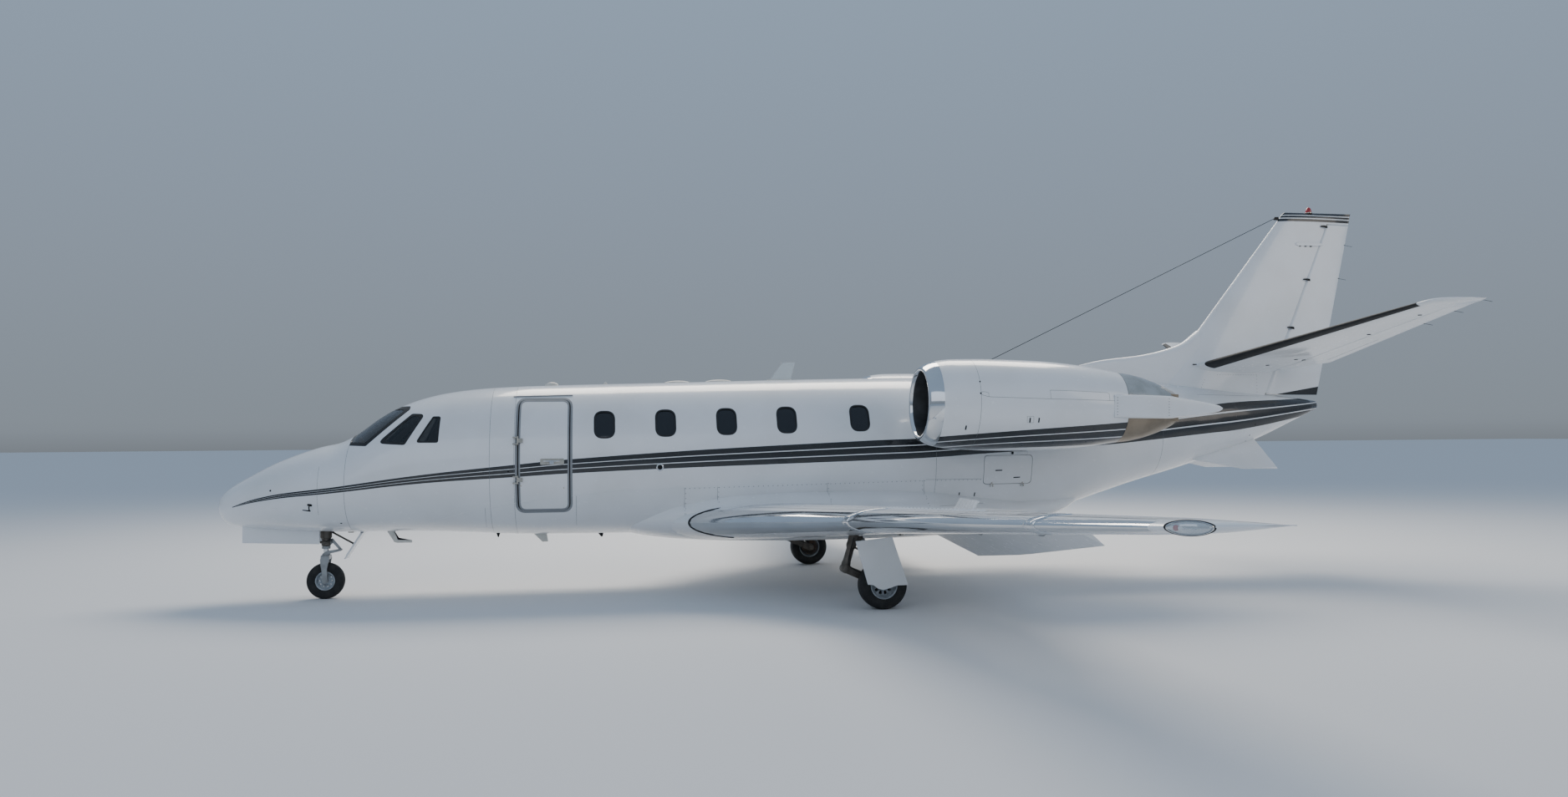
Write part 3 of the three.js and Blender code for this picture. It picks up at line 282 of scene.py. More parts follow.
def fitParts(name, parts, body, finish, replaced=(), sharp=32):
    return finishPiece(joinObjects(name, parts), body, [finish], replaced, sharp)


def roundCorners(outline, radius, steps=6):
    made = []
    count = len(outline)
    for i, corner in enumerate(outline):
        here = Vector(corner)
        before = Vector(outline[i - 1]) - here
        after = Vector(outline[(i + 1) % count]) - here
        angle = before.angle(after)
        reach = min(radius / math.tan(angle / 2), 0.48 * before.length, 0.48 * after.length)
        start = here + before.normalized() * reach
        end = here + after.normalized() * reach
        for k in range(steps + 1):
            t = k / steps
            made.append(tuple((1 - t) ** 2 * start + 2 * t * (1 - t) * here + t * t * end))
    return made


def insetOutline(outline, inset):
    # every edge of a convex outline moves inwards by inset
    count = len(outline)
    area = sum(outline[i][0] * outline[(i + 1) % count][1] - outline[(i + 1) % count][0] * outline[i][1]
               for i in range(count))
    turn = 1 if area > 0 else -1
    edges = []
    for i in range(count):
        a, b = Vector(outline[i]), Vector(outline[(i + 1) % count])
        along = (b - a).normalized()
        inward = Vector((-along.y, along.x)) * turn
        edges.append((a + inward * inset, along))
    while True:
        made = []
        for i in range(len(edges)):
            (p, d), (q, e) = edges[i - 1], edges[i]
            share = ((q - p).x * e.y - (q - p).y * e.x) / (d.x * e.y - d.y * e.x)
            made.append(p + d * share)
        kept = [edge for i, edge in enumerate(edges)
                if (made[(i + 1) % len(made)] - made[i]).dot(edge[1]) > 0]
        if len(kept) == len(edges):
            return [tuple(p) for p in made]
        edges = kept


def boxOutline(x0, x1, z0, z1, radius, steps=8):
    return roundCorners([(x0, z0), (x1, z0), (x1, z1), (x0, z1)], radius, steps)


def sidePrism(outline, y0, y1, name="prism"):
    count = len(outline)
    points = [spot(x, y, z) for y in (y0, y1) for x, z in outline]
    faces = [tuple(range(count)), tuple(range(count, 2 * count))]
    faces += [(i, (i + 1) % count, count + (i + 1) % count, count + i) for i in range(count)]
    return faceOutwards(meshObject(name, points, faces))


def boxPiece(x0, x1, y0, y1, z0, z1, name="box"):
    return sidePrism([(x0, z0), (x1, z0), (x1, z1), (x0, z1)], y0, y1, name)


def smoothTrack(stations, values):
    # a monotone curve through a table's values
    slopes = [(values[i + 1] - values[i]) / (stations[i + 1] - stations[i])
              for i in range(len(stations) - 1)]
    tangents = [slopes[0]]
    for a, b in zip(slopes, slopes[1:]):
        tangents.append(2 * a * b / (a + b) if a * b > 0 else 0.0)
    tangents.append(slopes[-1])

    def valueAt(x):
        i = min(max(bisect_right(stations, x) - 1, 0), len(stations) - 2)
        span = stations[i + 1] - stations[i]
        t = (x - stations[i]) / span
        return (values[i] * (1 + 2 * t) * (1 - t) ** 2 + values[i + 1] * t * t * (3 - 2 * t)
                + span * (tangents[i] * t * (1 - t) ** 2 - tangents[i + 1] * t * t * (1 - t)))
    return valueAt


def between(start, end, count):
    return [start + (end - start) * k / count for k in range(count + 1)]


def turnAngles(count):
    return [2 * math.pi * k / count for k in range(count)]


def middleOf(outline):
    return [sum(values) / len(outline) for values in zip(*outline)]


def facingPlace(at, along):
    # a place at a point, with its X axis along a direction
    return Matrix.Translation(at) @ along.to_track_quat("X", "Z").to_matrix().to_4x4()


def columnTracks(rows):
    # a smooth track for each column of a table, over its first one
    return [smoothTrack([row[0] for row in rows], [row[c] for row in rows]) for c in range(1, len(rows[0]))]


def turnedShape(name, profile, place, around=48):
    # a profile of length and radius, turned about the X axis of its place; points on the axis close it
    points, faces, rings = [], [], []
    for x, r in profile:
        if r < 0.01:
            rings.append([len(points)] * around)
            points.append(place @ Vector((x / 1000, 0, 0)))
            continue
        rings.append(list(range(len(points), len(points) + around)))
        points += [place @ (Vector((x, r * math.cos(a), r * math.sin(a))) / 1000)
                   for a in turnAngles(around)]
    closed = profile[0][1] > 0.01
    count = len(rings) if closed else len(rings) - 1
    for k in range(count):
        a, b = rings[k], rings[(k + 1) % len(rings)]
        for i in range(around):
            j = (i + 1) % around
            corners = [a[i], a[j], b[j], b[i]]
            face = [c for n, c in enumerate(corners) if c not in corners[:n]]
            if len(face) > 2:
                faces.append(tuple(face))
    return faceOutwards(meshObject(name, points, faces))


def aimed(start, end):
    return facingPlace(spot(*start), spot(*end) - spot(*start))


def rodPiece(start, end, radius, tip=None, edge=2, around=28, name="rod"):
    length = math.dist(start, end)
    tip = radius if tip is None else tip
    profile = [(0, 0), (0, radius - edge), (edge * 0.3, radius - edge * 0.3), (edge, radius),
               (length - edge, tip),
               (length - edge * 0.3, tip - edge * 0.3), (length, tip - edge), (length, 0)]
    return turnedShape(name, profile, aimed(start, end), around)


def turnedAlong(profile, start, end, around=48, name="turned"):
    return turnedShape(name, profile, aimed(start, end), around)


def slab(outline, t0, t1, edge=2, place=None, name="slab"):
    # an outline given thickness, its edges eased; without a place it is a side view between two sides
    middle = Vector(middleOf(outline))
    small = []
    for point in outline:
        away = Vector(point) - middle
        small.append(tuple(middle + away * max(1 - edge / away.length, 0.2)))
    low, high = sorted((t0, t1))
    rings = []
    for t, corners in ((low, small), (low + edge, outline), (high - edge, outline), (high, small)):
        rings.append([place @ (Vector((u, t, v)) / 1000) if place else spot(u, t, v) for u, v in corners])
    return loftRings(name, rings)


def frontView(x):
    # an outline of side and height, thickness forwards
    return Matrix.Translation(spot(x, 0, 0)) @ Matrix.Rotation(math.pi / 2, 4, "Z")


def pipePiece(points, radius, around=12, steps=8, name="pipe"):
    # a round bar along a smooth curve through the points
    knots = [Vector(p) for p in points]
    path = []
    for i in range(len(knots) - 1):
        before, after = knots[max(i - 1, 0)], knots[min(i + 2, len(knots) - 1)]
        for k in range(steps):
            t = k / steps
            path.append(0.5 * (2 * knots[i] + (knots[i + 1] - before) * t
                               + (2 * before - 5 * knots[i] + 4 * knots[i + 1] - after) * t * t
                               + (3 * knots[i] - before - 3 * knots[i + 1] + after) * t ** 3))
    path.append(knots[-1])
    across = (path[1] - path[0]).orthogonal().normalized()
    rings = []
    for i, at in enumerate(path):
        along = (path[min(i + 1, len(path) - 1)] - path[max(i - 1, 0)]).normalized()
        across = (across - along * across.dot(along)).normalized()
        other = along.cross(across)
        rings.append([spot(*(at + (across * math.cos(a) + other * math.sin(a)) * radius))
                      for a in turnAngles(around)])
    return loftRings(name, rings)


# Camera, floor and light
camera = {"at": (4660, -14714, 2019), "yaw": 0.1677, "pitch": 0.0336, "roll": -0.0076,
          "focalPixels": 1313, "frameWidth": 1876, "sensor": 36.0}
studio = {"floorSize": 400.0, "floorColor": "8F877C", "sky": "BBD3F0", "horizon": "A9B4C0",
          "ground": "5A554D", "skyStrength": 0.62}
lamps = [
    {"name": "overhead", "at": (2, 9, 15), "aim": (0, 0, 1.5), "size": (17, 7), "power": 3000,
     "color": "FFF6E8"},
    {"name": "cameraSide", "at": (-9, -19, 9), "aim": (0, 0, 1.5), "size": (20, 9), "power": 420,
     "color": "EFF5FF"},
    {"name": "tailSide", "at": (15, -12, 8), "aim": (3, 0, 2), "size": (8, 8), "power": 350,
     "color": "FFF4E6"},
]


def makeCamera():
    data = bpy.data.cameras.new("camera")
    data.sensor_width = camera["sensor"]
    data.lens = camera["focalPixels"] / camera["frameWidth"] * camera["sensor"]
    data.clip_end = 600
    obj = bpy.data.objects.new("camera", data)
    bpy.context.scene.collection.objects.link(obj)
    yaw, pitch, roll = camera["yaw"], camera["pitch"], camera["roll"]
    forward = Vector((math.sin(yaw) * math.cos(pitch), math.cos(yaw) * math.cos(pitch), math.sin(pitch)))
    level = Vector((math.cos(yaw), -math.sin(yaw), 0))
    upward = level.cross(forward)
    right = level * math.cos(roll) + upward * math.sin(roll)
    up = right.cross(forward)
    turn = Matrix((right, up, -forward)).transposed().to_4x4()
    obj.matrix_world = Matrix.Translation(spot(*camera["at"])) @ turn
    bpy.context.scene.camera = obj


def makeStudio():
    half = studio["floorSize"] / 2
    floor = meshObject("floor", [(-half, -half, 0), (half, -half, 0), (half, half, 0), (-half, half, 0)],
                       [(0, 1, 2, 3)])
    # sealed pale concrete, rolled smooth: a matte floor with a faint cloudy tone
    concrete = plainMaterial("sealedConcrete", studio["floorColor"], 0.0,
                             {"size": 900, "roughness": 0.72, "spread": 0.06, "strength": 0.05,
                              "depth": 1.0},
                             worn="847B6F", wornSize=2600)
    floor.data.materials.append(concrete)
    world = bpy.data.worlds.new("studioSky")
    bpy.context.scene.world = world
    world.use_nodes = True
    tree = world.node_tree
    tree.nodes.clear()
    height = addNode(tree, "ShaderNodeSeparateXYZ", {
        "Vector": addNode(tree, "ShaderNodeTexCoord").outputs["Generated"]}).outputs["Z"]
    ramp = addNode(tree, "ShaderNodeValToRGB", {"Fac": rescale(tree, height, -1.0, 1.0, 0.0, 1.0)})
    stops = ramp.color_ramp.elements
    stops[0].position, stops[0].color = 0.47, hexColor(studio["ground"])
    stops[1].position, stops[1].color = 0.505, hexColor(studio["horizon"])
    top = stops.new(0.72)
    top.color = hexColor(studio["sky"])
    glow = addNode(tree, "ShaderNodeBackground",
                   {"Color": ramp.outputs["Color"], "Strength": studio["skyStrength"]})
    addNode(tree, "ShaderNodeOutputWorld", {"Surface": glow.outputs["Background"]})
    for lamp in lamps:
        data = bpy.data.lights.new(lamp["name"], "AREA")
        data.shape = "RECTANGLE"
        data.size, data.size_y = lamp["size"]
        data.energy = lamp["power"]
        data.color = hexColor(lamp["color"])[:3]
        obj = bpy.data.objects.new(lamp["name"], data)
        bpy.context.scene.collection.objects.link(obj)
        obj.location = lamp["at"]
        obj.rotation_mode = "QUATERNION"
        obj.rotation_quaternion = (Vector(lamp["aim"]) - Vector(lamp["at"])).to_track_quat("-Z", "Y")


makeCamera()
makeStudio()
print("camera, floor and lights set")

# Paint and metal
# The cheat lines on the side: station, lower edge and upper edge of the dark band.
sideStripe = {"rows": [(240, 1185, 1195), (740, 1286, 1337), (1490, 1361, 1432), (2506, 1466, 1569),
                       (3689, 1535, 1688), (4325, 1570, 1745), (8126, 1688, 1944), (8800, 1708, 1966),
                       (9680, 1760, 2022), (11470, 1856, 2200), (12280, 1924, 2296), (13220, 2008, 2404),
                       (13550, 2035, 2438), (14950, 2254, 2512), (15400, 2320, 2560)],
              "start": 240, "scale": 3000}
nacelleStripe = {"rows": [(8560, 1760, 1975), (8720, 1784, 1988), (10920, 1876, 2136), (11200, 1888, 2154)],
                 "start": 8690, "scale": 3000}
# shares of the band's height where a thin light line runs
stripeLines = [(0.30, 0.345), (0.645, 0.69)]
rudderFoot = {"from": (14476, 2572), "to": (15167, 2680)}  # the dark wedge along the rudder's lower edge
finCap = {"low": 5128, "high": 5268, "lines": [(0.30, 0.40), (0.62, 0.72)]}
paintCodes = {"white": "EDEFF1", "chalked": "DDDEDD", "charcoal": "1E2124"}
# two-pack polyurethane over aluminium: a deep even gloss with a very slight orange peel
paintGrain = {"size": 60, "roughness": 0.24, "spread": 0.04, "strength": 0.02, "depth": 0.3}
paintCoat = {"Coat Weight": 0.6, "Coat Roughness": 0.05, "IOR": 1.5}


def bandRamp(tree, share, lines):
    # 1 in the dark band, 0 outside it and along its light lines
    ramp = addNode(tree, "ShaderNodeValToRGB", {"Fac": share})
    ramp.color_ramp.interpolation = "CONSTANT"
    stops = ramp.color_ramp.elements
    stops[0].position, stops[0].color = 0.0, (0, 0, 0, 1)
    stops[1].position, stops[1].color = 1 / 3, (1, 1, 1, 1)
    for low, high in lines:
        stops.new((1 + low) / 3).color = (0, 0, 0, 1)
        stops.new((1 + high) / 3).color = (1, 1, 1, 1)
    stops.new(2 / 3).color = (0, 0, 0, 1)
    return ramp.outputs["Color"]


def heightCurve(tree, along, stripe, column):
    curve = addNode(tree, "ShaderNodeFloatCurve", {"Value": along})
    points = curve.mapping.curves[0].points
    rows = [(row[0] / overallLength, row[column] / stripe["scale"]) for row in stripe["rows"]]
    for (x, y), point in zip((rows[0], rows[-1]), (points[0], points[-1])):
        point.location = (x, y)
    for x, y in rows[1:-1]:
        points.new(x, y)
    curve.mapping.update()
    return curve.outputs["Value"]


def darkenedPaint(name, amountOf):
    # white paint, charcoal wherever the amount found from the place is 1
    material, tree, shader, where = startMaterial(name, paintCoat)
    addGrain(tree, shader, where, paintGrain)
    amount = amountOf(tree, addNode(tree, "ShaderNodeSeparateXYZ", {"Vector": where}).outputs)
    white = soiled(tree, where, hexColor(paintCodes["white"]), hexColor(paintCodes["chalked"]), 700, 0.5)
    tree.links.new(mixColors(tree, amount, white, hexColor(paintCodes["charcoal"])),
                   shader.inputs["Base Color"])
    return material


def stripedPaint(name, stripe):
    def amountOf(tree, place):
        along = rescale(tree, place["X"], -overallLength / 2000, overallLength / 2000, 0.0, 1.0)
        height = calculate(tree, "DIVIDE", place["Z"], stripe["scale"] / 1000)
        low, high = [heightCurve(tree, along, stripe, column) for column in (1, 2)]
        band = bandRamp(tree, rescale(tree, height, low, high, 1 / 3, 2 / 3, clamp=False), stripeLines)
        begun = calculate(tree, "GREATER_THAN", place["X"], (stripe["start"] - overallLength / 2) / 1000)
        return calculate(tree, "MULTIPLY", band, begun)
    return darkenedPaint(name, amountOf)


def inCap(tree, place):
    low, high = finCap["low"] / 1000, finCap["high"] / 1000
    return bandRamp(tree, rescale(tree, place["Z"], low, high, 1 / 3, 2 / 3, clamp=False), finCap["lines"])


def underFoot(tree, place):
    (x0, z0), (x1, z1) = rudderFoot["from"], rudderFoot["to"]
    slope = (z1 - z0) / (x1 - x0)
    start = z0 / 1000 - slope * (x0 - overallLength / 2) / 1000
    return calculate(tree, "LESS_THAN", place["Z"],
                     calculate(tree, "MULTIPLY_ADD", place["X"], slope, start))


fuselagePaint = stripedPaint("polyurethaneWithCheatLines", sideStripe)
nacellePaint = stripedPaint("polyurethaneNacelle", nacelleStripe)
finPaint = darkenedPaint("polyurethaneFinCap", inCap)
rudderPaint = darkenedPaint("polyurethaneRudderFoot", underFoot)
whitePaint = plainMaterial("polyurethaneWhite", paintCodes["white"], 0.0, paintGrain,
                           worn=paintCodes["chalked"], wornSize=700, wornShare=0.5, **paintCoat)
# buffed bare aluminium: almost a mirror, with hairlines from the polishing cloth along the span
polishedMetal = plainMaterial("polishedAluminium", "D9DBDD", 1.0,
                              {"size": 6, "roughness": 0.09, "spread": 0.035, "strength": 0.03,
                               "depth": 0.05, "stretch": (1, 0.04, 1)}, worn="BFC2C5", wornSize=500)
# heat-tinted steel: brown-grey with soft darker clouds near the exhaust; on the outside of the lower
# reverser buckets the same brown is a painted reflection of the ground
tintedSteelAndGroundReflection = plainMaterial("heatTintedSteelAndGroundReflection", "9C8F7E", 0.75,
                            {"size": 9, "roughness": 0.42, "spread": 0.08, "strength": 0.08, "depth": 0.1,
                             "stretch": (0.1, 1, 1)}, worn="6F6557", wornSize=260, wornShare=0.7)
# polished stainless sheet on the upper reverser buckets: bright, with faint rolling lines
polishedSteel = plainMaterial("polishedStainlessSheet", "D6D2CA", 1.0,
                              {"size": 8, "roughness": 0.15, "spread": 0.04, "strength": 0.03,
                               "depth": 0.05,
                               "stretch": (0.1, 1, 1)}, worn="A79F92", wornSize=220, wornShare=0.6)
# chemically milled grey metal inside ducts and jet pipes
ductMetal = plainMaterial("sprayedDuctMetal", "4A4C4E", 0.6,
                          {"size": 12, "roughness": 0.5, "spread": 0.08, "strength": 0.06, "depth": 0.2},
                          worn="2C2D2E", wornSize=180, wornShare=0.8)
# forged titanium: satin grey with a faint warm tone, blasted even
fanTitanium = plainMaterial("forgedTitanium", "8F8C88", 1.0,
                            {"size": 4, "roughness": 0.34, "spread": 0.05, "strength": 0.05, "depth": 0.05})
# moulded neoprene: dull black with a fine dry bloom
blackRubber = plainMaterial("mouldedNeoprene", "1C1D1E", 0.0,
                            {"size": 8, "roughness": 0.62, "spread": 0.08, "strength": 0.15, "depth": 0.3},
                            worn="303133", wornSize=120)
# grey inflatable door seal: matt silicone
greySeal = plainMaterial("siliconeSeal", "8C8F92", 0.0,
                         {"size": 5, "roughness": 0.5, "spread": 0.06, "strength": 0.1, "depth": 0.2},
                         worn="74777A", wornSize=200)
# zinc-chromate primer inside the bays
primer = plainMaterial("bayPrimer", "C9CBC4", 0.0,
                       {"size": 14, "roughness": 0.55, "spread": 0.08, "strength": 0.08, "depth": 0.2},
                       worn="8F8F84", wornSize=160)
# padded vinyl lining on the cabin walls: warm off-white with a fine pebble
cabinLiner = plainMaterial("paddedVinylLining", "CFC8BA", 0.0,
                           {"size": 7, "roughness": 0.58, "spread": 0.07, "strength": 0.12, "depth": 0.3},
                           worn="B4AB9A", wornSize=300)
# stretched acrylic with a smoke tint
smokedAcrylic = plainMaterial("smokedAcrylic", "11161B", 0.0,
                              {"size": 90, "roughness": 0.05, "spread": 0.02, "strength": 0.01,
                               "depth": 0.2},
                              Alpha=0.86, IOR=1.49, **{"Coat Weight": 0.5, "Coat Roughness": 0.02})
clearGlass = plainMaterial("windshieldGlass", "1A2226", 0.0,
                           {"size": 90, "roughness": 0.04, "spread": 0.015, "strength": 0.01, "depth": 0.2},
                           Alpha=0.5, IOR=1.52, **{"Coat Weight": 0.5, "Coat Roughness": 0.02})
print("paints and metals mixed")

# Fuselage
# rows: station, crown, keel, half width, height of the widest point
fuselageShape = {
    "rows": [
        (0, 1209, 1209, 0, 1209), (70, 1352, 1006, 168, 1190), (170, 1434, 948, 262, 1195),
        (370, 1552, 914, 385, 1215), (670, 1714, 889, 522, 1255), (980, 1840, 868, 628, 1305),
        (1220, 1918, 855, 698, 1350), (1440, 1966, 846, 752, 1395), (1600, 2040, 843, 786, 1430),
        (1750, 2146, 841, 814, 1465), (1900, 2262, 840, 839, 1500), (2060, 2362, 838, 861, 1540),
        (2240, 2446, 836, 881, 1580), (2440, 2520, 832, 899, 1615), (2700, 2586, 824, 915, 1650),
        (3010, 2634, 808, 929, 1680), (3400, 2668, 784, 939, 1705), (3900, 2690, 764, 945, 1722),
        (5500, 2730, 752, 945, 1742), (7200, 2772, 750, 945, 1760), (8900, 2800, 752, 942, 1775),
        (9800, 2804, 772, 922, 1795), (10500, 2800, 862, 866, 1840), (11100, 2790, 1008, 792, 1900),
        (11600, 2775, 1160, 716, 1965), (12150, 2752, 1325, 628, 2035), (12930, 2702, 1535, 498, 2115),
        (14060, 2592, 1890, 300, 2240), (14920, 2500, 2258, 118, 2380), (15130, 2470, 2342, 58, 2406),
    ],
    "roundness": 2.12, "around": 120, "ringStep": 0.55,
    "radomeEnd": 250, "bayEnd": 1640, "cockpitEnd": 3350, "cabinEnd": 9000, "tailEnd": 15130,
    "wall": 75, "cockpitWall": 50, "gap": 0.3,
}
# the tracks run over the root of the station, so that the blunt nose stays round
fuselageTracks = columnTracks([(math.sqrt(row[0]), *row[1:]) for row in fuselageShape["rows"]])


def sectionAt(x):
    root = math.sqrt(max(x, 0))
    return [track(root) for track in fuselageTracks]


def ovalRing(x, half, wide, up, down, around, shrink=1.0):
    # a squared-off oval: half width, height of the widest point, reach above it and below it
    power = 2 / fuselageShape["roundness"]
    ring = []
    for angle in turnAngles(around):
        c, s = math.cos(angle), math.sin(angle)
        y = math.copysign(abs(c) ** power, c) * half * shrink
        ring.append(spot(x, y, wide + math.copysign(abs(s) ** power, s) * (up if s > 0 else down) * shrink))
    return ring


def bodyRing(x, lift=0.0, shrink=1.0):
    top, keel, half, wide = sectionAt(x)
    return ovalRing(x, half + lift, wide, top - wide + lift, wide - keel + lift, fuselageShape["around"],
                    shrink)


def stationsBetween(x0, x1):
    a, b = math.sqrt(x0), math.sqrt(x1)
    count = max(2, round((b - a) / fuselageShape["ringStep"]))
    return [(a + (b - a) * i / count) ** 2 for i in range(count + 1)]


def bodyTube(name, x0, x1, outer, inner):
    stations = stationsBetween(x0, x1)
    rings = [bodyRing(x, outer) for x in stations]
    rings += [bodyRing(x, inner) for x in reversed(stations)]
    return loftRings(name, rings, wrap=True)


def bodySolid(name, x0, x1, lift=0.0):
    return loftRings(name, [bodyRing(x, lift) for x in stationsBetween(x0, x1)])


def sideReach(x, z):
    top, keel, half, wide = sectionAt(x)
    rise = top - wide if z > wide else wide - keel
    share = min(abs(z - wide) / rise, 0.9999)
    return half * (1 - share ** fuselageShape["roundness"]) ** (1 / fuselageShape["roundness"])


def skinNormal(x, z, side):
    step = 4
    slopeX = (sideReach(x + step, z) - sideReach(x - step, z)) / (2 * step)
    slopeZ = (sideReach(x, z + step) - sideReach(x, z - step)) / (2 * step)
    normal = Vector((-slopeX, 1, -slopeZ)).normalized()
    return Vector((normal.x, normal.y * side, normal.z))


def onSkin(x, z, side, lift=0.0):
    return spot(x, sideReach(x, z) * side, z) + skinNormal(x, z, side) * (lift / 1000)


def skinRim(name, outline, side, profile):
    # profile points are (how far outside the outline, lift above the skin)
    dense = []
    for i, start in enumerate(outline):
        end = outline[(i + 1) % len(outline)]
        parts = max(1, round(math.dist(start, end) / 36))
        dense += [tuple(Vector(start).lerp(Vector(end), k / parts)) for k in range(parts)]
    middle = Vector(middleOf(dense))
    rings = []
    for i, point in enumerate(dense):
        along = Vector(dense[(i + 1) % len(dense)]) - Vector(dense[i - 1])
        outward = Vector((along.y, -along.x)).normalized()
        if outward.dot(Vector(point) - middle) < 0:
            outward = -outward
        rings.append([onSkin(point[0] + outward.x * far, point[1] + outward.y * far, side, lift)
                      for far, lift in profile])
    return loftRings(name, rings, wrap=True)


def skinPatch(name, outline, side, outer, inner, steps=5):
    # a pane that follows the skin, from outer lift to inner lift
    cx, cz = middleOf(outline)
    rings = []
    for lift, shares in ((outer, range(1, steps + 1)), (inner, range(steps, 0, -1))):
        for k in shares:
            f = k / steps
            rings.append([onSkin(cx + (x - cx) * f, cz + (z - cz) * f, side, lift) for x, z in outline])
    return loftRings(name, rings)


cockpitWindows = [
    {"outline": [(1250, 1945), (1868, 1925), (2345, 2372), (2345, 2420), (1900, 2420)], "from": 28,
     "radius": 24, "frame": 42},
    {"outline": [(2000, 1955), (2345, 1935), (2560, 2318), (2392, 2322)], "from": 300, "radius": 46,
     "frame": 26},
    {"outline": [(2470, 1962), (2742, 1960), (2752, 2286), (2655, 2286)], "from": 300, "radius": 30,
     "frame": 16},
]
cabinWindow = {"width": 245, "height": 330, "z": 2170, "climb": 0.0202, "first": 4735, "radius": 104,
               "left": [4735, 5494, 6265, 7040, 7999], "right": [3975, 4735, 5494, 6265, 7040, 7999]}
doorway = {"x0": 3696, "x1": 4304, "z0": 1112, "z1": 2484, "radius": 92, "frontGap": 20, "aftGap": 18,
           "gap": 8, "depth": 62, "sealOut": 22, "sealIn": 20}
bagDoor = {"x0": 9660, "x1": 10340, "z0": 1360, "z1": 1730, "radius": 50, "gap": 6, "depth": 26}
noseWell = {"x0": 300, "x1": 1440, "half": 150, "top": 1240}


def cockpitPrisms(insetOf):
    prisms = []
    for window in cockpitWindows:
        outline = roundCorners(insetOutline(window["outline"], insetOf(window)), window["radius"])
        for side in sideSigns.values():
            y0, y1 = sorted((side * (window["from"] + insetOf(window)), side * 1200))
            prisms.append(sidePrism(outline, y0, y1))
    return joinObjects("cockpitPrisms", prisms)


def cabinOutline(x, grow=0):
    z = cabinWindow["z"] + (x - cabinWindow["first"]) * cabinWindow["climb"]
    w, h = cabinWindow["width"] / 2 + grow, cabinWindow["height"] / 2 + grow
    return boxOutline(x - w, x + w, z - h, z + h, cabinWindow["radius"] + grow)


def doorOutline(front, aft, around):
    return boxOutline(doorway["x0"] - front, doorway["x1"] + aft, doorway["z0"] - around,
                      doorway["z1"] + around, doorway["radius"] + around)


def facesInward(face):
    return face.normal.dot(Vector((0, face.center.y, face.center.z - 1.76))) < -0.02


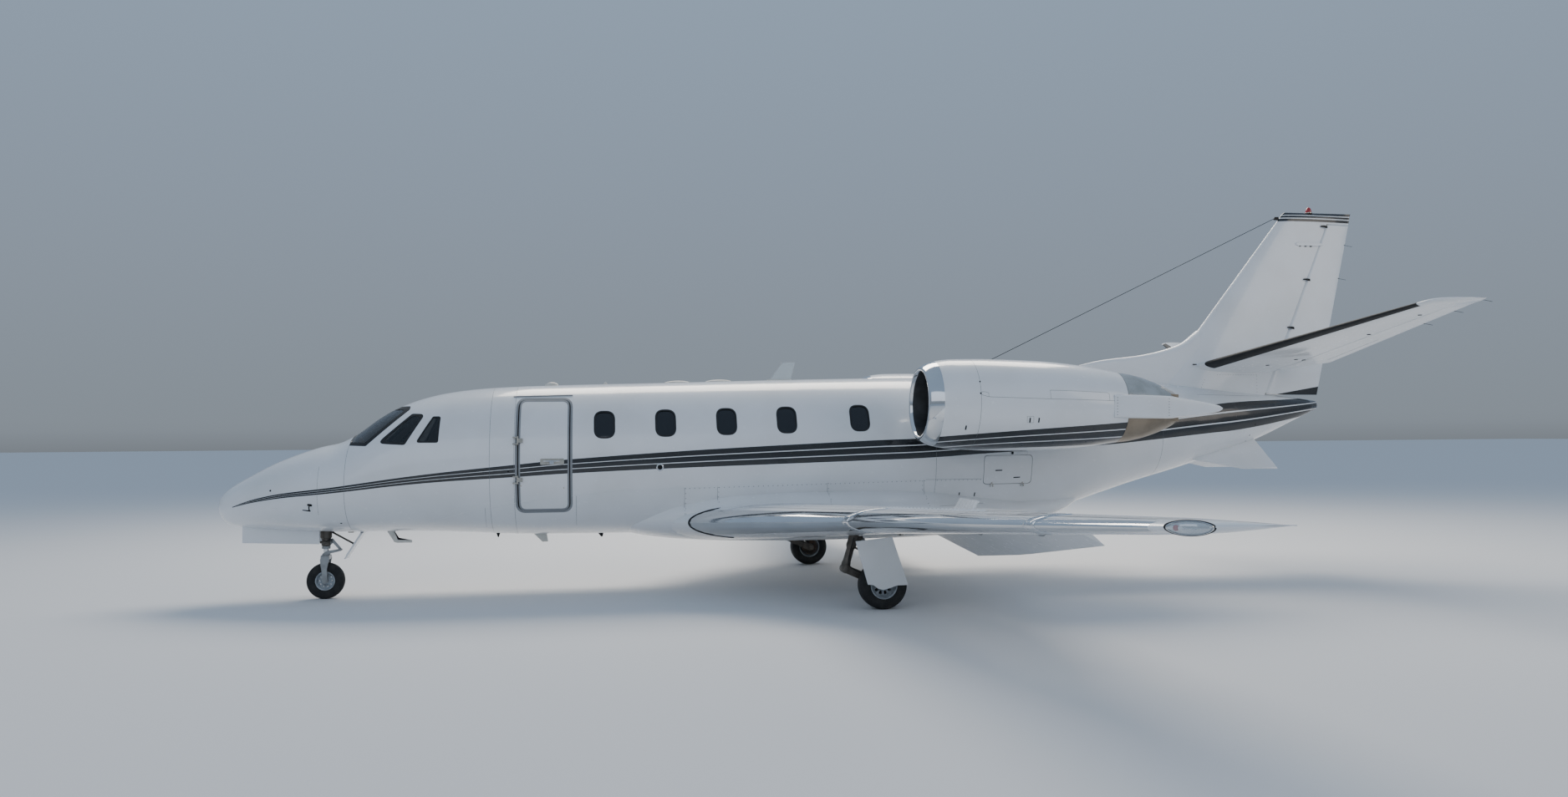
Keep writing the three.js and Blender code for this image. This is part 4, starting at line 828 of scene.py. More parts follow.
def makeFuselage():
    shape = fuselageShape
    gap = shape["gap"]
    whole = bodySolid("wholeSkin", 0.5, shape["tailEnd"])
    source = surfaceTree(whole)
    bpy.data.objects.remove(whole)

    radome = bodySolid("radomeSkin", 0.4, shape["radomeEnd"])
    finishPiece(radome, "airframe", [fuselagePaint], ["radome"], source=source)

    nose = bodySolid("noseSkin", shape["radomeEnd"] + gap, shape["bayEnd"])
    well = boxPiece(noseWell["x0"], noseWell["x1"], -noseWell["half"], noseWell["half"], 0, noseWell["top"])
    paintFaces(well, 1, lambda face: True)
    carve(nose, well)
    finishPiece(nose, "airframe", [fuselagePaint, primer], ["nose_bay"], source=source)

    cockpit = bodyTube("cockpitSkin", shape["bayEnd"] + gap, shape["cockpitEnd"], 0, -shape["cockpitWall"])
    paintFaces(cockpit, 1, facesInward)
    carve(cockpit, cockpitPrisms(lambda window: 0))
    finishPiece(cockpit, "airframe", [fuselagePaint, cabinLiner], ["cockpit_shell"],
                source=source)

    frames = bodyTube("windowFrames", 1380, 2860, -1.5, -24)
    carve(frames, cockpitPrisms(lambda window: 1), "INTERSECT")
    carve(frames, cockpitPrisms(lambda window: window["frame"]))
    finishPiece(frames, "airframe", [blackRubber])
    glass = bodyTube("cockpitGlass", 1380, 2860, -5, -13)
    carve(glass, cockpitPrisms(lambda window: window["frame"] - 3), "INTERSECT")
    finishPiece(glass, "airframe", [clearGlass], ["cockpit_glazing"])

    cabin = bodyTube("cabinSkin", shape["cockpitEnd"] + gap, shape["cabinEnd"], 0, -shape["wall"])
    paintFaces(cabin, 1, facesInward)
    cutters = [sidePrism(doorOutline(doorway["frontGap"], doorway["aftGap"], doorway["gap"]), -1200, -300)]
    for name, side in sideSigns.items():
        y0, y1 = sorted((side * 400, side * 1200))
        cutters += [sidePrism(cabinOutline(x), y0, y1) for x in cabinWindow[name]]
    carve(cabin, joinObjects("cabinCutters", cutters))
    finishPiece(cabin, "airframe", [fuselagePaint, cabinLiner], ["cabin_shell"],
                source=source)

    rims, panes = [], []
    for name, side in sideSigns.items():
        for x in cabinWindow[name]:
            rims.append(skinRim("rim", cabinOutline(x), side,
                                [(9, -2), (9, 1.2), (4, 2.4), (-9, 1.0), (-9, -16), (-2, -16)]))
            panes.append(skinPatch("pane", cabinOutline(x, -4), side, -10, -15))
    fitParts("cabinWindowRims", rims, "airframe", blackRubber)
    fitParts("cabinPanes", panes, "airframe", smokedAcrylic,
             ["cabin_windows_left", "cabin_windows_right"])

    door = bodyTube("doorPanel", doorway["x0"] - 60, doorway["x1"] + 60, 0, -doorway["depth"])
    paintFaces(door, 1, facesInward)
    carve(door, sidePrism(doorOutline(0, 0, 0), -1200, -300), "INTERSECT")
    finishPiece(door, "cabin_door", [fuselagePaint, cabinLiner], ["cabin_door"],
                source=source)
    seal = skinRim("doorwaySeal", doorOutline(doorway["frontGap"], doorway["aftGap"], doorway["gap"]), -1,
                   [(doorway["sealOut"], -2), (doorway["sealOut"], 1.2), (8, 3), (-3, 2), (-6, -12),
                    (0, -14)])
    finishPiece(seal, "airframe", [greySeal])
    edge = skinRim("doorEdgeSeal", doorOutline(0, 0, 0), -1,
                   [(1, -8), (1, 1.5), (-8, 3), (-doorway["sealIn"], 1.4), (-doorway["sealIn"], -2)])
    finishPiece(edge, "cabin_door", [greySeal])

    stations = stationsBetween(shape["cabinEnd"] + gap, shape["tailEnd"] - 34)
    rings = [bodyRing(x) for x in stations]
    rings += [bodyRing(shape["tailEnd"] - back, 0, share)
              for back, share in ((14, 0.95), (5, 0.82), (0, 0.5))]
    tail = loftRings("tailSkin", rings)
    x0, x1, z0, z1 = bagDoor["x0"], bagDoor["x1"], bagDoor["z0"], bagDoor["z1"]
    gap = bagDoor["gap"]
    frameCut = sidePrism(boxOutline(x0 - gap, x1 + gap, z0 - gap, z1 + gap, bagDoor["radius"]), -1200, -500)
    core = bodySolid("core", x0 - 300, x1 + 300, -bagDoor["depth"] - 8)
    carve(frameCut, core)
    paintFaces(frameCut, 1, lambda face: True)
    carve(tail, frameCut)
    bay = boxPiece(x0 + 30, x1 - 30, -1200, 560, z0 + 30, z1 - 30)
    paintFaces(bay, 1, lambda face: True)
    carve(tail, bay)
    finishPiece(tail, "airframe", [fuselagePaint, primer],
                ["tail_fuselage", "baggage_section"], source=source)
    panel = bodyTube("baggagePanel", x0 - 60, x1 + 60, 0, -bagDoor["depth"])
    carve(panel, sidePrism(boxOutline(x0, x1, z0, z1, bagDoor["radius"]), -1200, -500), "INTERSECT")
    finishPiece(panel, "baggage_door", [fuselagePaint], ["baggage_door"], source=source)
    return source


fuselageSource = makeFuselage()
print("fuselage built")

# Belly fairing: station, keel, half width, top
bellyShape = {"rows": [(4700, 900, 300, 1000), (5150, 738, 560, 1150), (5800, 656, 880, 1320),
                       (6500, 622, 1040, 1400),
                       (7500, 606, 1085, 1420), (8800, 616, 1070, 1390), (9600, 662, 980, 1280),
                       (10300, 752, 800, 1180), (10900, 890, 540, 1190), (11450, 1180, 200, 1300)],
              "rings": 70, "around": 96, "sunk": -14}
bellyTracks = columnTracks(bellyShape["rows"])


def makeBelly():
    rings = []
    for x in between(bellyShape["rows"][0][0], bellyShape["rows"][-1][0], bellyShape["rings"]):
        keel, half, top = [track(x) for track in bellyTracks]
        wide = keel + (top - keel) * 0.55
        rings.append(ovalRing(x, half, wide, top - wide, wide - keel, bellyShape["around"]))
    belly = loftRings("bellySkin", rings)
    source = surfaceTree(belly)
    carve(belly, bodySolid("inside", 4400, 11700, bellyShape["sunk"]))
    finishPiece(belly, "airframe", [whitePaint], ["belly_fairing"], source=source)
    return source


bellySource = makeBelly()
print("belly built")

# Wings, tail surfaces and their moving parts
airfoilShape = {"steps": 22, "edge": 3, "noseSteps": 14, "gap": 8}
# rows: side, leading edge, trailing edge, height, thickness
wingShape = {"rows": [(500, 5360, 9500, 905, 470), (1000, 5760, 9480, 940, 440),
                      (2900, 7280, 9400, 1065, 285),
                      (8100, 8015, 8935, 1412, 112), (8440, 8090, 8905, 1434, 84),
                      (8585, 8330, 8880, 1444, 30)],
             "polishedShare": 0.085, "cuffs": [(2330, 2900), (6000, 6800)], "polished": (1010, 8250)}
aileronShape = {"inner": 5400, "outer": 8060, "hinge": 0.76}
flapShape = {"inner": 1240, "outer": 5330, "front": (8640, 8790), "drop": 35, "hang": 70, "set": 30,
             "brackets": (0.1, 0.5, 0.88)}
tailplaneShape = {"rows": [(60, 13140, 15130, 2960, 190), (3080, 14395, 15095, 3560, 72),
                           (3270, 14800, 15090, 3596, 26)],
                  "hinge": 0.66, "inner": 170, "outer": 2960, "bootShare": 0.07, "bootInner": 250,
                  "bootOuter": 3010}
# rows: height, leading edge, trailing edge, thickness
finShape = {"rows": [(2400, 12380, 15120, 330), (3450, 13225, 15365, 240), (5150, 14590, 15758, 130),
                     (5270, 14720, 15790, 110)],
            "foot": (14330, 2600), "head": (15405, 5100), "capFrom": 5105, "rudderFrom": 2560,
            "rudderTo": 5087, "footClear": 30}
# rows: station, crown, half width
dorsalShape = {"rows": [(10900, 2830, 20), (11700, 3050, 45), (12400, 3142, 62), (12950, 3290, 78),
                        (13250, 3500, 90)],
               "foot": 2500}
strakeShape = {"corners": [(12350, 60, 1760), (14020, 30, 2010), (14150, 520, 1500), (13640, 490, 1500)],
               "thick": 26}


def rowAt(rows, value):
    i = min(max(bisect_right([row[0] for row in rows], value) - 1, 0), len(rows) - 2)
    share = (value - rows[i][0]) / (rows[i + 1][0] - rows[i][0])
    return [a + (b - a) * share for a, b in zip(rows[i], rows[i + 1])]


def foilAt(rows, y):
    # leading edge, trailing edge and thickness
    return [rowAt(rows, y)[c] for c in (1, 2, 4)]


def halfThickness(u):
    return 5 * (0.2969 * math.sqrt(u) - 0.126 * u - 0.3516 * u ** 2 + 0.2843 * u ** 3 - 0.1036 * u ** 4)


def wholeFoil(le, te, thick):
    # station and height round a section, from the trailing edge over the top to the nose and back below
    chord = te - le
    shares = [(1 - math.cos(math.pi * k / airfoilShape["steps"])) / 2 for k in range(airfoilShape["steps"])]
    top = [(le + u * chord, halfThickness(u) * thick) for u in reversed(shares)]
    bottom = [(x, -z) for x, z in reversed(top[:-1])]
    edge = airfoilShape["edge"]
    return [(te, edge)] + top + bottom + [(te, -edge)]


def controlFoil(le, te, thick, hinge):
    # a round nose about the hinge, then a taper to the trailing edge
    centre = le + hinge * (te - le)
    radius = halfThickness(hinge) * thick
    steps = airfoilShape["noseSteps"]
    nose = [(centre + radius * math.cos(math.pi / 2 + math.pi * k / steps),
             radius * math.sin(math.pi / 2 + math.pi * k / steps)) for k in range(steps + 1)]
    edge = airfoilShape["edge"]
    return [(te, edge)] + nose + [(te, -edge)]


def coveStation(le, te, thick, hinge):
    return le + hinge * (te - le) - halfThickness(hinge) * thick - airfoilShape["gap"]


def spanRing(section, y, z):
    return [spot(x, y, z + t) for x, t in section]


def controlRings(ends, hinge, side):
    return [spanRing(controlFoil(le, te, thick, hinge), y * side, z) for y, le, te, z, thick in ends]


def finRing(section, z):
    return [spot(x, t, z) for x, t in section]


def pocketBlock(stationAt, ends, side):
    # a block aft of a slanted line, square in height
    rings = []
    for y in ends:
        x, z = stationAt(y)
        rings.append([spot(px, y * side, pz)
                      for px, pz in ((x, z - 400), (x, z + 400), (x + 2600, z + 400), (x + 2600, z - 400))])
    return loftRings("pocket", rings)


def tipRings(rows, start, end, side, steps=7):
    # the last rows swell round to a closed tip
    made = []
    first, last = rowAt(rows, start), rowAt(rows, end)
    for k in range(1, steps + 1):
        t = k / steps
        y = start + (end - start) * math.sin(t * math.pi / 2)
        fall = 1 - math.cos(t * math.pi / 2)
        le, te, z = [first[c] + (last[c] - first[c]) * (fall if c == 1 else t) for c in (1, 2, 3)]
        thick = max(first[4] * math.cos(t * math.pi / 2), 7)
        made.append(spanRing(wholeFoil(le, te, thick), y * side, z))
    return made


def chordShare(rows, point, side):
    # how far back on its section a point lies
    x = point.x * 1000 + overallLength / 2
    row = rowAt(rows, min(max(point.y * 1000 * side, rows[0][0]), rows[-1][0]))
    return (x - row[1]) / (row[2] - row[1])


def makeWing(name, side):
    rows = wingShape["rows"]
    cuffs = wingShape["cuffs"]
    stops = sorted({500, 1000, 2900, 8100, *between(1000, 2300, 5), *between(2900, 6000, 9),
                    *between(6800, 8100, 5), *[y for pair in cuffs for y in pair]})
    rings = [spanRing(wholeFoil(*foilAt(rows, y)), y * side, rowAt(rows, y)[3])
             for y in [*stops, 8280, 8440]]
    rings += tipRings(rows, 8440, 8585, side)
    wing = loftRings(f"{name}WingSkin", rings)
    source = surfaceTree(wing)
    inner, outer = wingShape["polished"]
    paintFaces(wing, 1, lambda face: chordShare(rows, face.center, side) < wingShape["polishedShare"]
               and inner < abs(face.center.y) * 1000 < outer)
    aileronFront = lambda y: (coveStation(*foilAt(rows, y), aileronShape["hinge"]), rowAt(rows, y)[3])
    carve(wing, pocketBlock(aileronFront, (aileronShape["inner"], aileronShape["outer"]), side))
    flapFront = lambda y: (flapShape["front"][0 if y < 3000 else 1], rowAt(rows, y)[3])
    carve(wing, pocketBlock(flapFront, (flapShape["inner"], flapShape["outer"]), side))
    finishPiece(wing, "airframe", [whitePaint, polishedMetal], [f"{name}_wing"],
                source=source)

    inner, outer = aileronShape["inner"] + airfoilShape["gap"], aileronShape["outer"] - airfoilShape["gap"]
    ends = [rowAt(rows, y) for y in (inner, outer)]
    aileron = loftRings(f"{name}AileronSkin", controlRings(ends, aileronShape["hinge"], side))
    finishPiece(aileron, f"{name}_aileron", [whitePaint], [f"{name}_aileron"])
    return source


def flapPlace(y):
    row = rowAt(wingShape["rows"], y)
    first, last = flapShape["front"]
    front = first + (last - first) * (y - flapShape["inner"]) / (flapShape["outer"] - flapShape["inner"])
    chord = row[2] - row[1]
    half = lambda x: halfThickness((x - row[1]) / chord) * row[4]
    return row, front, half


def flapPivots(side):
    made = []
    for y in (flapShape["inner"] + 10, flapShape["outer"] - 10):
        row, front, half = flapPlace(y)
        made.append(spot(front + flapShape["set"], y * side, row[3] - half(front) - flapShape["hang"]))
    return made


def flapDrop(side):
    start, end = flapPivots(side)
    turn = Matrix.Rotation(math.radians(flapShape["drop"]) * side, 4, (end - start).normalized())
    return Matrix.Translation(start) @ turn @ Matrix.Translation(-start)


def makeFlap(name, side):
    lower = flapDrop(side)
    rings = []
    for y in between(flapShape["inner"] + 10, flapShape["outer"] - 10, 8):
        row, front, half = flapPlace(y)
        x = front + flapShape["set"]
        t = half(x + 40)
        nose = [(x + 34 - 34 * math.cos(a), -0.1 * t + (0.92 if a > 0 else 0.86) * t * math.sin(a))
                for a in between(math.pi / 2, -math.pi / 2, 12)]
        back = [(px, half(px) * 0.9) for px in between(row[2] - 30, x + 90, 6)]
        under = [(px, -half(px) * 0.98) for px in between(x + 90, row[2] - 30, 6)]
        section = [(row[2], 3)] + back + nose + under + [(row[2], -3)]
        rings.append([lower @ p for p in spanRing(section, y * side, row[3])])
    flap = loftRings(f"{name}FlapSkin", rings)
    finishPiece(flap, f"{name}_flap", [whitePaint], [f"{name}_flap"])


def makeTailplane(name, side):
    shape = tailplaneShape
    rows = shape["rows"]
    stops = sorted({60, shape["bootInner"], shape["bootOuter"], *between(400, 2900, 8), 3080})
    rings = [spanRing(wholeFoil(*foilAt(rows, y)), y * side, rowAt(rows, y)[3]) for y in stops]
    rings += tipRings(rows, 3080, 3270, side)
    plane = loftRings(f"{name}TailplaneSkin", rings)
    source = surfaceTree(plane)
    paintFaces(plane, 1, lambda face: chordShare(rows, face.center, side) < shape["bootShare"]
               and shape["bootInner"] < abs(face.center.y) * 1000 < shape["bootOuter"])
    front = lambda y: (coveStation(*foilAt(rows, y), shape["hinge"]), rowAt(rows, y)[3])
    carve(plane, pocketBlock(front, (0, shape["outer"] + airfoilShape["gap"]), side))
    finishPiece(plane, "airframe", [whitePaint, blackRubber], [f"{name}_tailplane"],
                source=source)
    ends = [rowAt(rows, y) for y in (shape["inner"], shape["outer"])]
    elevator = loftRings(f"{name}ElevatorSkin", controlRings(ends, shape["hinge"], side))
    notch = [(14300, 0), (14300, 168), (14560, 168), (15400, 460), (15400, 0)]
    rings = [[spot(x, y * side, z) for x, y in notch] for z in (2400, 3600)]
    carve(elevator, loftRings("notch", rings))
    finishPiece(elevator, f"{name}_elevator", [whitePaint], [f"{name}_elevator"])


def finFoil(z):
    return [rowAt(finShape["rows"], z)[c] for c in (1, 2, 3)]


def rudderHinge(z):
    (x0, z0), (x1, z1) = finShape["foot"], finShape["head"]
    x = x0 + (x1 - x0) * (z - z0) / (z1 - z0)
    le, te, _ = finFoil(z)
    return (x - le) / (te - le)


def makeFin():
    heights = sorted({2400, 3450, 5150, *between(2700, 5100, 10)})
    rings = [finRing(wholeFoil(*finFoil(z)), z) for z in heights]
    first, last = finFoil(5150), finFoil(5270)
    for t in between(0.25, 1, 4):
        le, te = [first[c] + (last[c] - first[c]) * t for c in (0, 1)]
        rings.append(finRing(wholeFoil(le, te, first[2] * max(math.cos(t * math.pi / 2), 0.16)),
                             5150 + 120 * math.sin(t * math.pi / 2)))
    fin = loftRings("finSkin", rings)
    source = surfaceTree(fin)
    pocket = []
    for z in (2300, finShape["capFrom"]):
        le, te, thick = finFoil(max(z, 2400))
        x = coveStation(le, te, thick, rudderHinge(max(z, 2400)))
        pocket.append([spot(px, y, z)
                       for px, y in ((x, -400), (x, 400), (x + 2500, 400), (x + 2500, -400))])
    carve(fin, loftRings("pocket", pocket))
    finishPiece(fin, "airframe", [finPaint], ["fin"], source=source)
    tops, halves = columnTracks(dorsalShape["rows"])
    rings = []
    for x in between(dorsalShape["rows"][0][0], dorsalShape["rows"][-1][0], 34):
        top, half, foot = tops(x), halves(x), dorsalShape["foot"]
        crown = [(half * math.cos(a), top - 90 + 90 * math.sin(a)) for a in between(0, math.pi, 14)]
        rings.append([spot(x, y, z) for y, z in [(half * 1.25, foot)] + crown + [(-half * 1.25, foot)]])
    dorsal = loftRings("dorsalSkin", rings)
    finishPiece(dorsal, "airframe", [whitePaint])
    heights = (finShape["rudderFrom"], 3450, finShape["rudderTo"])
    rudder = loftRings("rudderSkin",
                       [finRing(controlFoil(*finFoil(z), rudderHinge(z)), z) for z in heights])
    carve(rudder, bodySolid("clearance", 12500, 15130, finShape["footClear"]))
    finishPiece(rudder, "rudder", [rudderPaint], ["rudder"])
    return source


def makeStrake(name, side):
    corners = [Vector((x, y * side, z)) for x, y, z in strakeShape["corners"]]
    normal = (corners[1] - corners[0]).cross(corners[3] - corners[0]).normalized()
    half = strakeShape["thick"] / 2
    middle = sum(corners, Vector()) / 4
    rings = []
    for lift, inset in ((-half, 0.03), (-half * 0.6, 0.006), (0, 0), (half * 0.6, 0.006), (half, 0.03)):
        rings.append([spot(*(p.lerp(middle, inset) + normal * lift)) for p in corners])
    strake = loftRings(f"{name}StrakeSkin", rings)
    finishPiece(strake, "airframe", [whitePaint], [f"{name}_strake"])


wingSources = {name: makeWing(name, side) for name, side in sideSigns.items()}
for name, side in sideSigns.items():
    makeFlap(name, side)
    makeTailplane(name, side)
    makeStrake(name, side)
finSource = makeFin()
print("wings and tail built")

# Nacelles, engines and reversers, about each engine's own axis
engineShape = {"x": 8560, "y": 1630, "z": 2400, "tilt": 0.022, "around": 96}
# profile points are station and radius
cowlShape = {"outer": [(0, 425), (20, 460), (120, 512), (400, 556), (900, 570), (1500, 564), (2100, 520),
                       (2560, 452)],
             "inner": [(0, 425), (40, 396), (250, 366), (700, 402), (1010, 402), (1060, 544), (1500, 538),
                       (2100, 494), (2560, 428)],
             "lip": [(12, 404), (3, 413), (0, 425), (2, 438), (9, 450)], "lipEnd": 150}
pylonShape = {"le": 8900, "te": 10890, "z": 2352, "thick": 230, "inner": 600, "outer": 1070}
# rows: station, half width, half height
bucketShape = {"rows": [(2566, 449, 449), (2740, 446, 428), (2940, 433, 382), (3140, 404, 312),
                        (3280, 368, 245)],
               "wall": 30, "edge": 126, "around": 96, "rings": 24}
bucketTracks = columnTracks(bucketShape["rows"])
# rows: station, inner face, outer face, half height
fairingShape = {"rows": [(2350, 445, 489, 150), (2570, 458, 496, 152), (3050, 434, 480, 148),
                         (3290, 398, 452, 122), (3800, 374, 392, 42), (3850, 378, 388, 12)]}
fairingTracks = columnTracks(fairingShape["rows"])
fanShape = {"blades": 22, "root": 78, "tip": 388, "station": 746,
            "spinner": [(540, 0), (560, 30), (640, 82), (700, 104), (792, 110), (799, 96), (799, 0)],
            # twist, chord and thickness at the root, each with its change to the tip
            "bladeLaw": [(0.42, 0.72), (84, 26), (9, -5)],
            "section": [(-0.5, 0), (-0.3, 0.5), (0.1, 0.6), (0.5, 0), (0.1, -0.3), (-0.3, -0.3)]}
coreShape = {"profile": [(800.5, 0), (800.5, 58), (862, 60), (866, 401), (1000, 401.7), (1000, 340),
                         (2000, 340), (2950, 285), (2950, 262), (2350, 250), (2350, 0)],
             "cone": [(2340, 0), (2340, 176), (2400, 178), (2520, 150), (2660, 92), (2760, 34), (2786, 8),
                      (2790, 0)],
             "vanes": 36, "vane": [(816, -2), (840, -4), (866, -3), (866, 1), (840, 1), (816, 0)]}


def enginePlace(side):
    return (Matrix.Translation(spot(engineShape["x"], engineShape["y"] * side, engineShape["z"]))
            @ Matrix.Rotation(engineShape["tilt"], 4, "Y"))


def smoothProfile(points, count):
    # equal steps along a table's length, the radius eased between its rows
    lengths = [0]
    for a, b in zip(points, points[1:]):
        lengths.append(lengths[-1] + math.dist(a, b))
    tracks = [smoothTrack(lengths, [p[c] for p in points]) for c in (0, 1)]
    return [tuple(track(s) for track in tracks) for s in between(0, lengths[-1], count)]


def bucketRing(x, shrink, place):
    halfY, halfZ = [track(x) - shrink for track in bucketTracks]
    return [place @ (Vector((x, math.cos(a) * halfY, math.sin(a) * halfZ)) / 1000)
            for a in turnAngles(bucketShape["around"])]


def localBlock(x0, x1, y0, y1, z0, z1, place):
    rings = [[place @ (Vector((x, y, z)) / 1000) for y, z in ((y0, z0), (y1, z0), (y1, z1), (y0, z1))]
             for x in (x0, x1)]
    return loftRings("localBlock", rings)


def makeEngine(name, side):
    place = enginePlace(side)
    outer = smoothProfile(cowlShape["outer"][1:], 46)
    inner = cowlShape["inner"]
    duct = smoothProfile(inner[1:5], 24)
    bay = inner[5:]
    profile = outer + list(reversed(bay)) + list(reversed(duct)) + cowlShape["lip"]
    cowl = turnedShape(f"{name}CowlSkin", profile, place, engineShape["around"])
    back = place.inverted()

    def zone(face):
        at = back @ face.center * 1000
        r = math.hypot(at.y, at.z)
        if at.x < cowlShape["lipEnd"] and (r > 430 or at.x < 60):
            return 1
        return 2 if r < 430 or (at.x > 1000 and r < 540
                                and back.to_3x3() @ face.normal @ Vector((0, at.y, at.z)) < 0) else 0
    for face in cowl.data.polygons:
        face.material_index = zone(face)
    finishPiece(cowl, "airframe", [nacellePaint, polishedMetal, ductMetal],
                [f"{name}_nacelle"])

    fairings = []
    for out in (-1, 1):
        rings = []
        for x in between(fairingShape["rows"][0][0], fairingShape["rows"][-1][0], 36):
            inside, outside, half = [track(x) for track in fairingTracks]
            section = roundCorners([(inside - 6, half), (outside, half * 0.86), (outside, -half * 0.86),
                                    (inside - 6, -half)], 16, 4)
            rings.append([place @ (Vector((x, out * y, z)) / 1000) for y, z in section])
        fairings.append(loftRings("fairing", rings))
    fitParts(f"{name}ReverserFairings", fairings, "airframe", whitePaint)

    for half, up in (("upper", 1), ("lower", -1)):
        stations = between(bucketShape["rows"][0][0], bucketShape["rows"][-1][0], bucketShape["rings"])
        rings = [bucketRing(x, 0, place) for x in stations]
        rings += [bucketRing(x, bucketShape["wall"], place) for x in reversed(stations)]
        bucket = loftRings(f"{name}{half.title()}BucketSkin", rings, wrap=True)
        z0, z1 = sorted((up * bucketShape["edge"], up * 700))
        carve(bucket, localBlock(2000, 4000, -600, 600, z0, z1, place), "INTERSECT")
        # the lower bucket's brown outside is a painted reflection of the ground below it; the upper one is
        # polished steel
        skin = polishedSteel if up > 0 else tintedSteelAndGroundReflection
        for face in bucket.data.polygons:
            at = back @ face.center * 1000
            away = (back.to_3x3() @ face.normal).dot(Vector((0, at.y, at.z)))
            face.material_index = 0 if away > 0 else 1
        lugs = []
        for out in (-1, 1):
            y0, y1 = sorted((out * 286, out * 328))
            z0, z1 = sorted((up * 24, up * 170))
            lugs.append(localBlock(3180, 3284, y0, y1, z0, z1, place))
            ends = [place @ (Vector((3262, out * y, up * 46)) / 1000) for y in (300, 408)]
            turn = facingPlace(ends[0], ends[1] - ends[0])
            lugs.append(turnedShape("pin", [(0, 0), (0, 14), (2, 16), (104, 16), (108, 12), (108, 0)], turn,
                                    24))
        for lug in lugs:
            paintFaces(lug, 1, lambda face: True)
        bucket = joinObjects(f"{name}{half.title()}BucketSkin", [bucket, *lugs])
        finishPiece(bucket, f"{name}_{half}_bucket",
                    [skin, tintedSteelAndGroundReflection], [f"{name}_{half}_bucket"])

    nose = smoothProfile(fanShape["spinner"][:5], 14) + fanShape["spinner"][5:]
    spinner = turnedShape(f"{name}Spinner", nose, place, 48)
    finishPiece(spinner, f"{name}_fan", [whitePaint])
    blades = []
    for k in range(fanShape["blades"]):
        turn = Matrix.Rotation(2 * math.pi * k / fanShape["blades"], 4, "X")
        rings = []
        for t in between(0, 1, 6):
            r = fanShape["root"] + (fanShape["tip"] - fanShape["root"]) * t
            twist, chord, thick = [start + change * t for start, change in fanShape["bladeLaw"]]
            c, s = math.cos(twist), math.sin(twist)
            rings.append([place @ turn @ (Vector((fanShape["station"] + u * chord * c - w * thick * s,
                                                  u * chord * s + w * thick * c, r)) / 1000)
                          for u, w in fanShape["section"]])
        blades.append(loftRings("blade", rings))
    fitParts(f"{name}FanBlades", blades, f"{name}_fan", fanTitanium, [f"{name}_fan"])

    core = turnedShape(f"{name}JetPipe", coreShape["profile"], place, 64)
    paintFaces(core, 1, lambda face: (back @ face.center).x * 1000 > 1990)
    cone = turnedShape("tailCone", coreShape["cone"], place, 48)
    paintFaces(cone, 1, lambda face: True)
    vanes = []
    for k in range(coreShape["vanes"]):
        turn = Matrix.Rotation(2 * math.pi * k / coreShape["vanes"], 4, "X")
        vanes.append(loftRings("vane", [[place @ turn @ (Vector((x, y + (x - 816) * 0.25, r)) / 1000)
                                         for x, y in coreShape["vane"]] for r in (62, 398)]))
    finishPiece(joinObjects(f"{name}EngineCore", [core, cone, *vanes]), "airframe",
                [ductMetal, tintedSteelAndGroundReflection], [f"{name}_engine"])

    shape = pylonShape
    rings = [spanRing(wholeFoil(shape["le"], shape["te"], shape["thick"]), y * side, shape["z"])
             for y in (shape["inner"], shape["outer"])]
    pylon = loftRings(f"{name}PylonSkin", rings)
    finishPiece(pylon, "airframe", [whitePaint], [f"{name}_pylon"])


for name, side in sideSigns.items():
    makeEngine(name, side)
print("engines built")

# Undercarriage
# epoxy on forgings: an even semi-gloss grey, oily in corners
gearEnamel = plainMaterial("gearEnamel", "9EA1A2", 0.0,
                           {"size": 30, "roughness": 0.36, "spread": 0.07, "strength": 0.05, "depth": 0.3},
                           worn="6E6E6A", wornSize=90, wornShare=0.6,
                           **{"Coat Weight": 0.25, "Coat Roughness": 0.2})
# hard-anodised aluminium with a dull sheen; its dark brownish grey is partly painted shade, the tone the
# legs take in shadow
forgingWithPaintedShade = plainMaterial("anodisedForgingWithPaintedShade", "67625B", 0.6,
                            {"size": 20, "roughness": 0.44, "spread": 0.08, "strength": 0.08, "depth": 0.3},
                            worn="3C3933", wornSize=70, wornShare=0.6)
# ground and plated piston: a mirror with fine hairlines
hardChrome = plainMaterial("hardChrome", "D4D7DA", 1.0,
                           {"size": 5, "roughness": 0.08, "spread": 0.03, "strength": 0.02, "depth": 0.03,
                            "stretch": (0.2, 0.2, 4)}, worn="B7B8B6", wornSize=60)
# baked aluminised enamel, dusted with brake black
wheelEnamel = plainMaterial("wheelEnamel", "A9B0B5", 0.1,
                            {"size": 16, "roughness": 0.38, "spread": 0.08, "strength": 0.05, "depth": 0.2},
                            worn="5D6062", wornSize=45, wornShare=0.7)
brakeSteel = plainMaterial("heatStainedSteel", "3F3B38", 0.8,  # cast steel, stained brown by heat and dusty
                           {"size": 8, "roughness": 0.5, "spread": 0.1, "strength": 0.15, "depth": 0.3},
                           worn="6A5240", wornSize=40, wornShare=0.6)
agedTyre = plainMaterial("agedTyreRubber", "191A1B", 0.0,  # moulded natural rubber: matt, greyed by dust
                         {"size": 6, "roughness": 0.72, "spread": 0.08, "strength": 0.2, "depth": 0.3},
                         worn="33322F", wornSize=70, wornShare=0.7)
noseWheel = {"x": 1262, "y": 0, "z": 228, "radius": 228, "width": 112, "rim": 112, "hub": 50, "cap": 30,
             "groove": 8, "grooveDepth": 6, "grooves": (16,), "web": 20,
             "slots": {"count": 10, "width": 15, "from": 68, "to": 84}}
mainWheel = {"x": 7905, "y": 2275, "z": 279, "radius": 279, "width": 203, "rim": 150, "hub": 62, "cap": 44,
             "groove": 10, "grooveDepth": 8, "grooves": (18, 52), "web": 30,
             "slots": {"count": 10, "width": 42, "from": 70, "to": 112}}
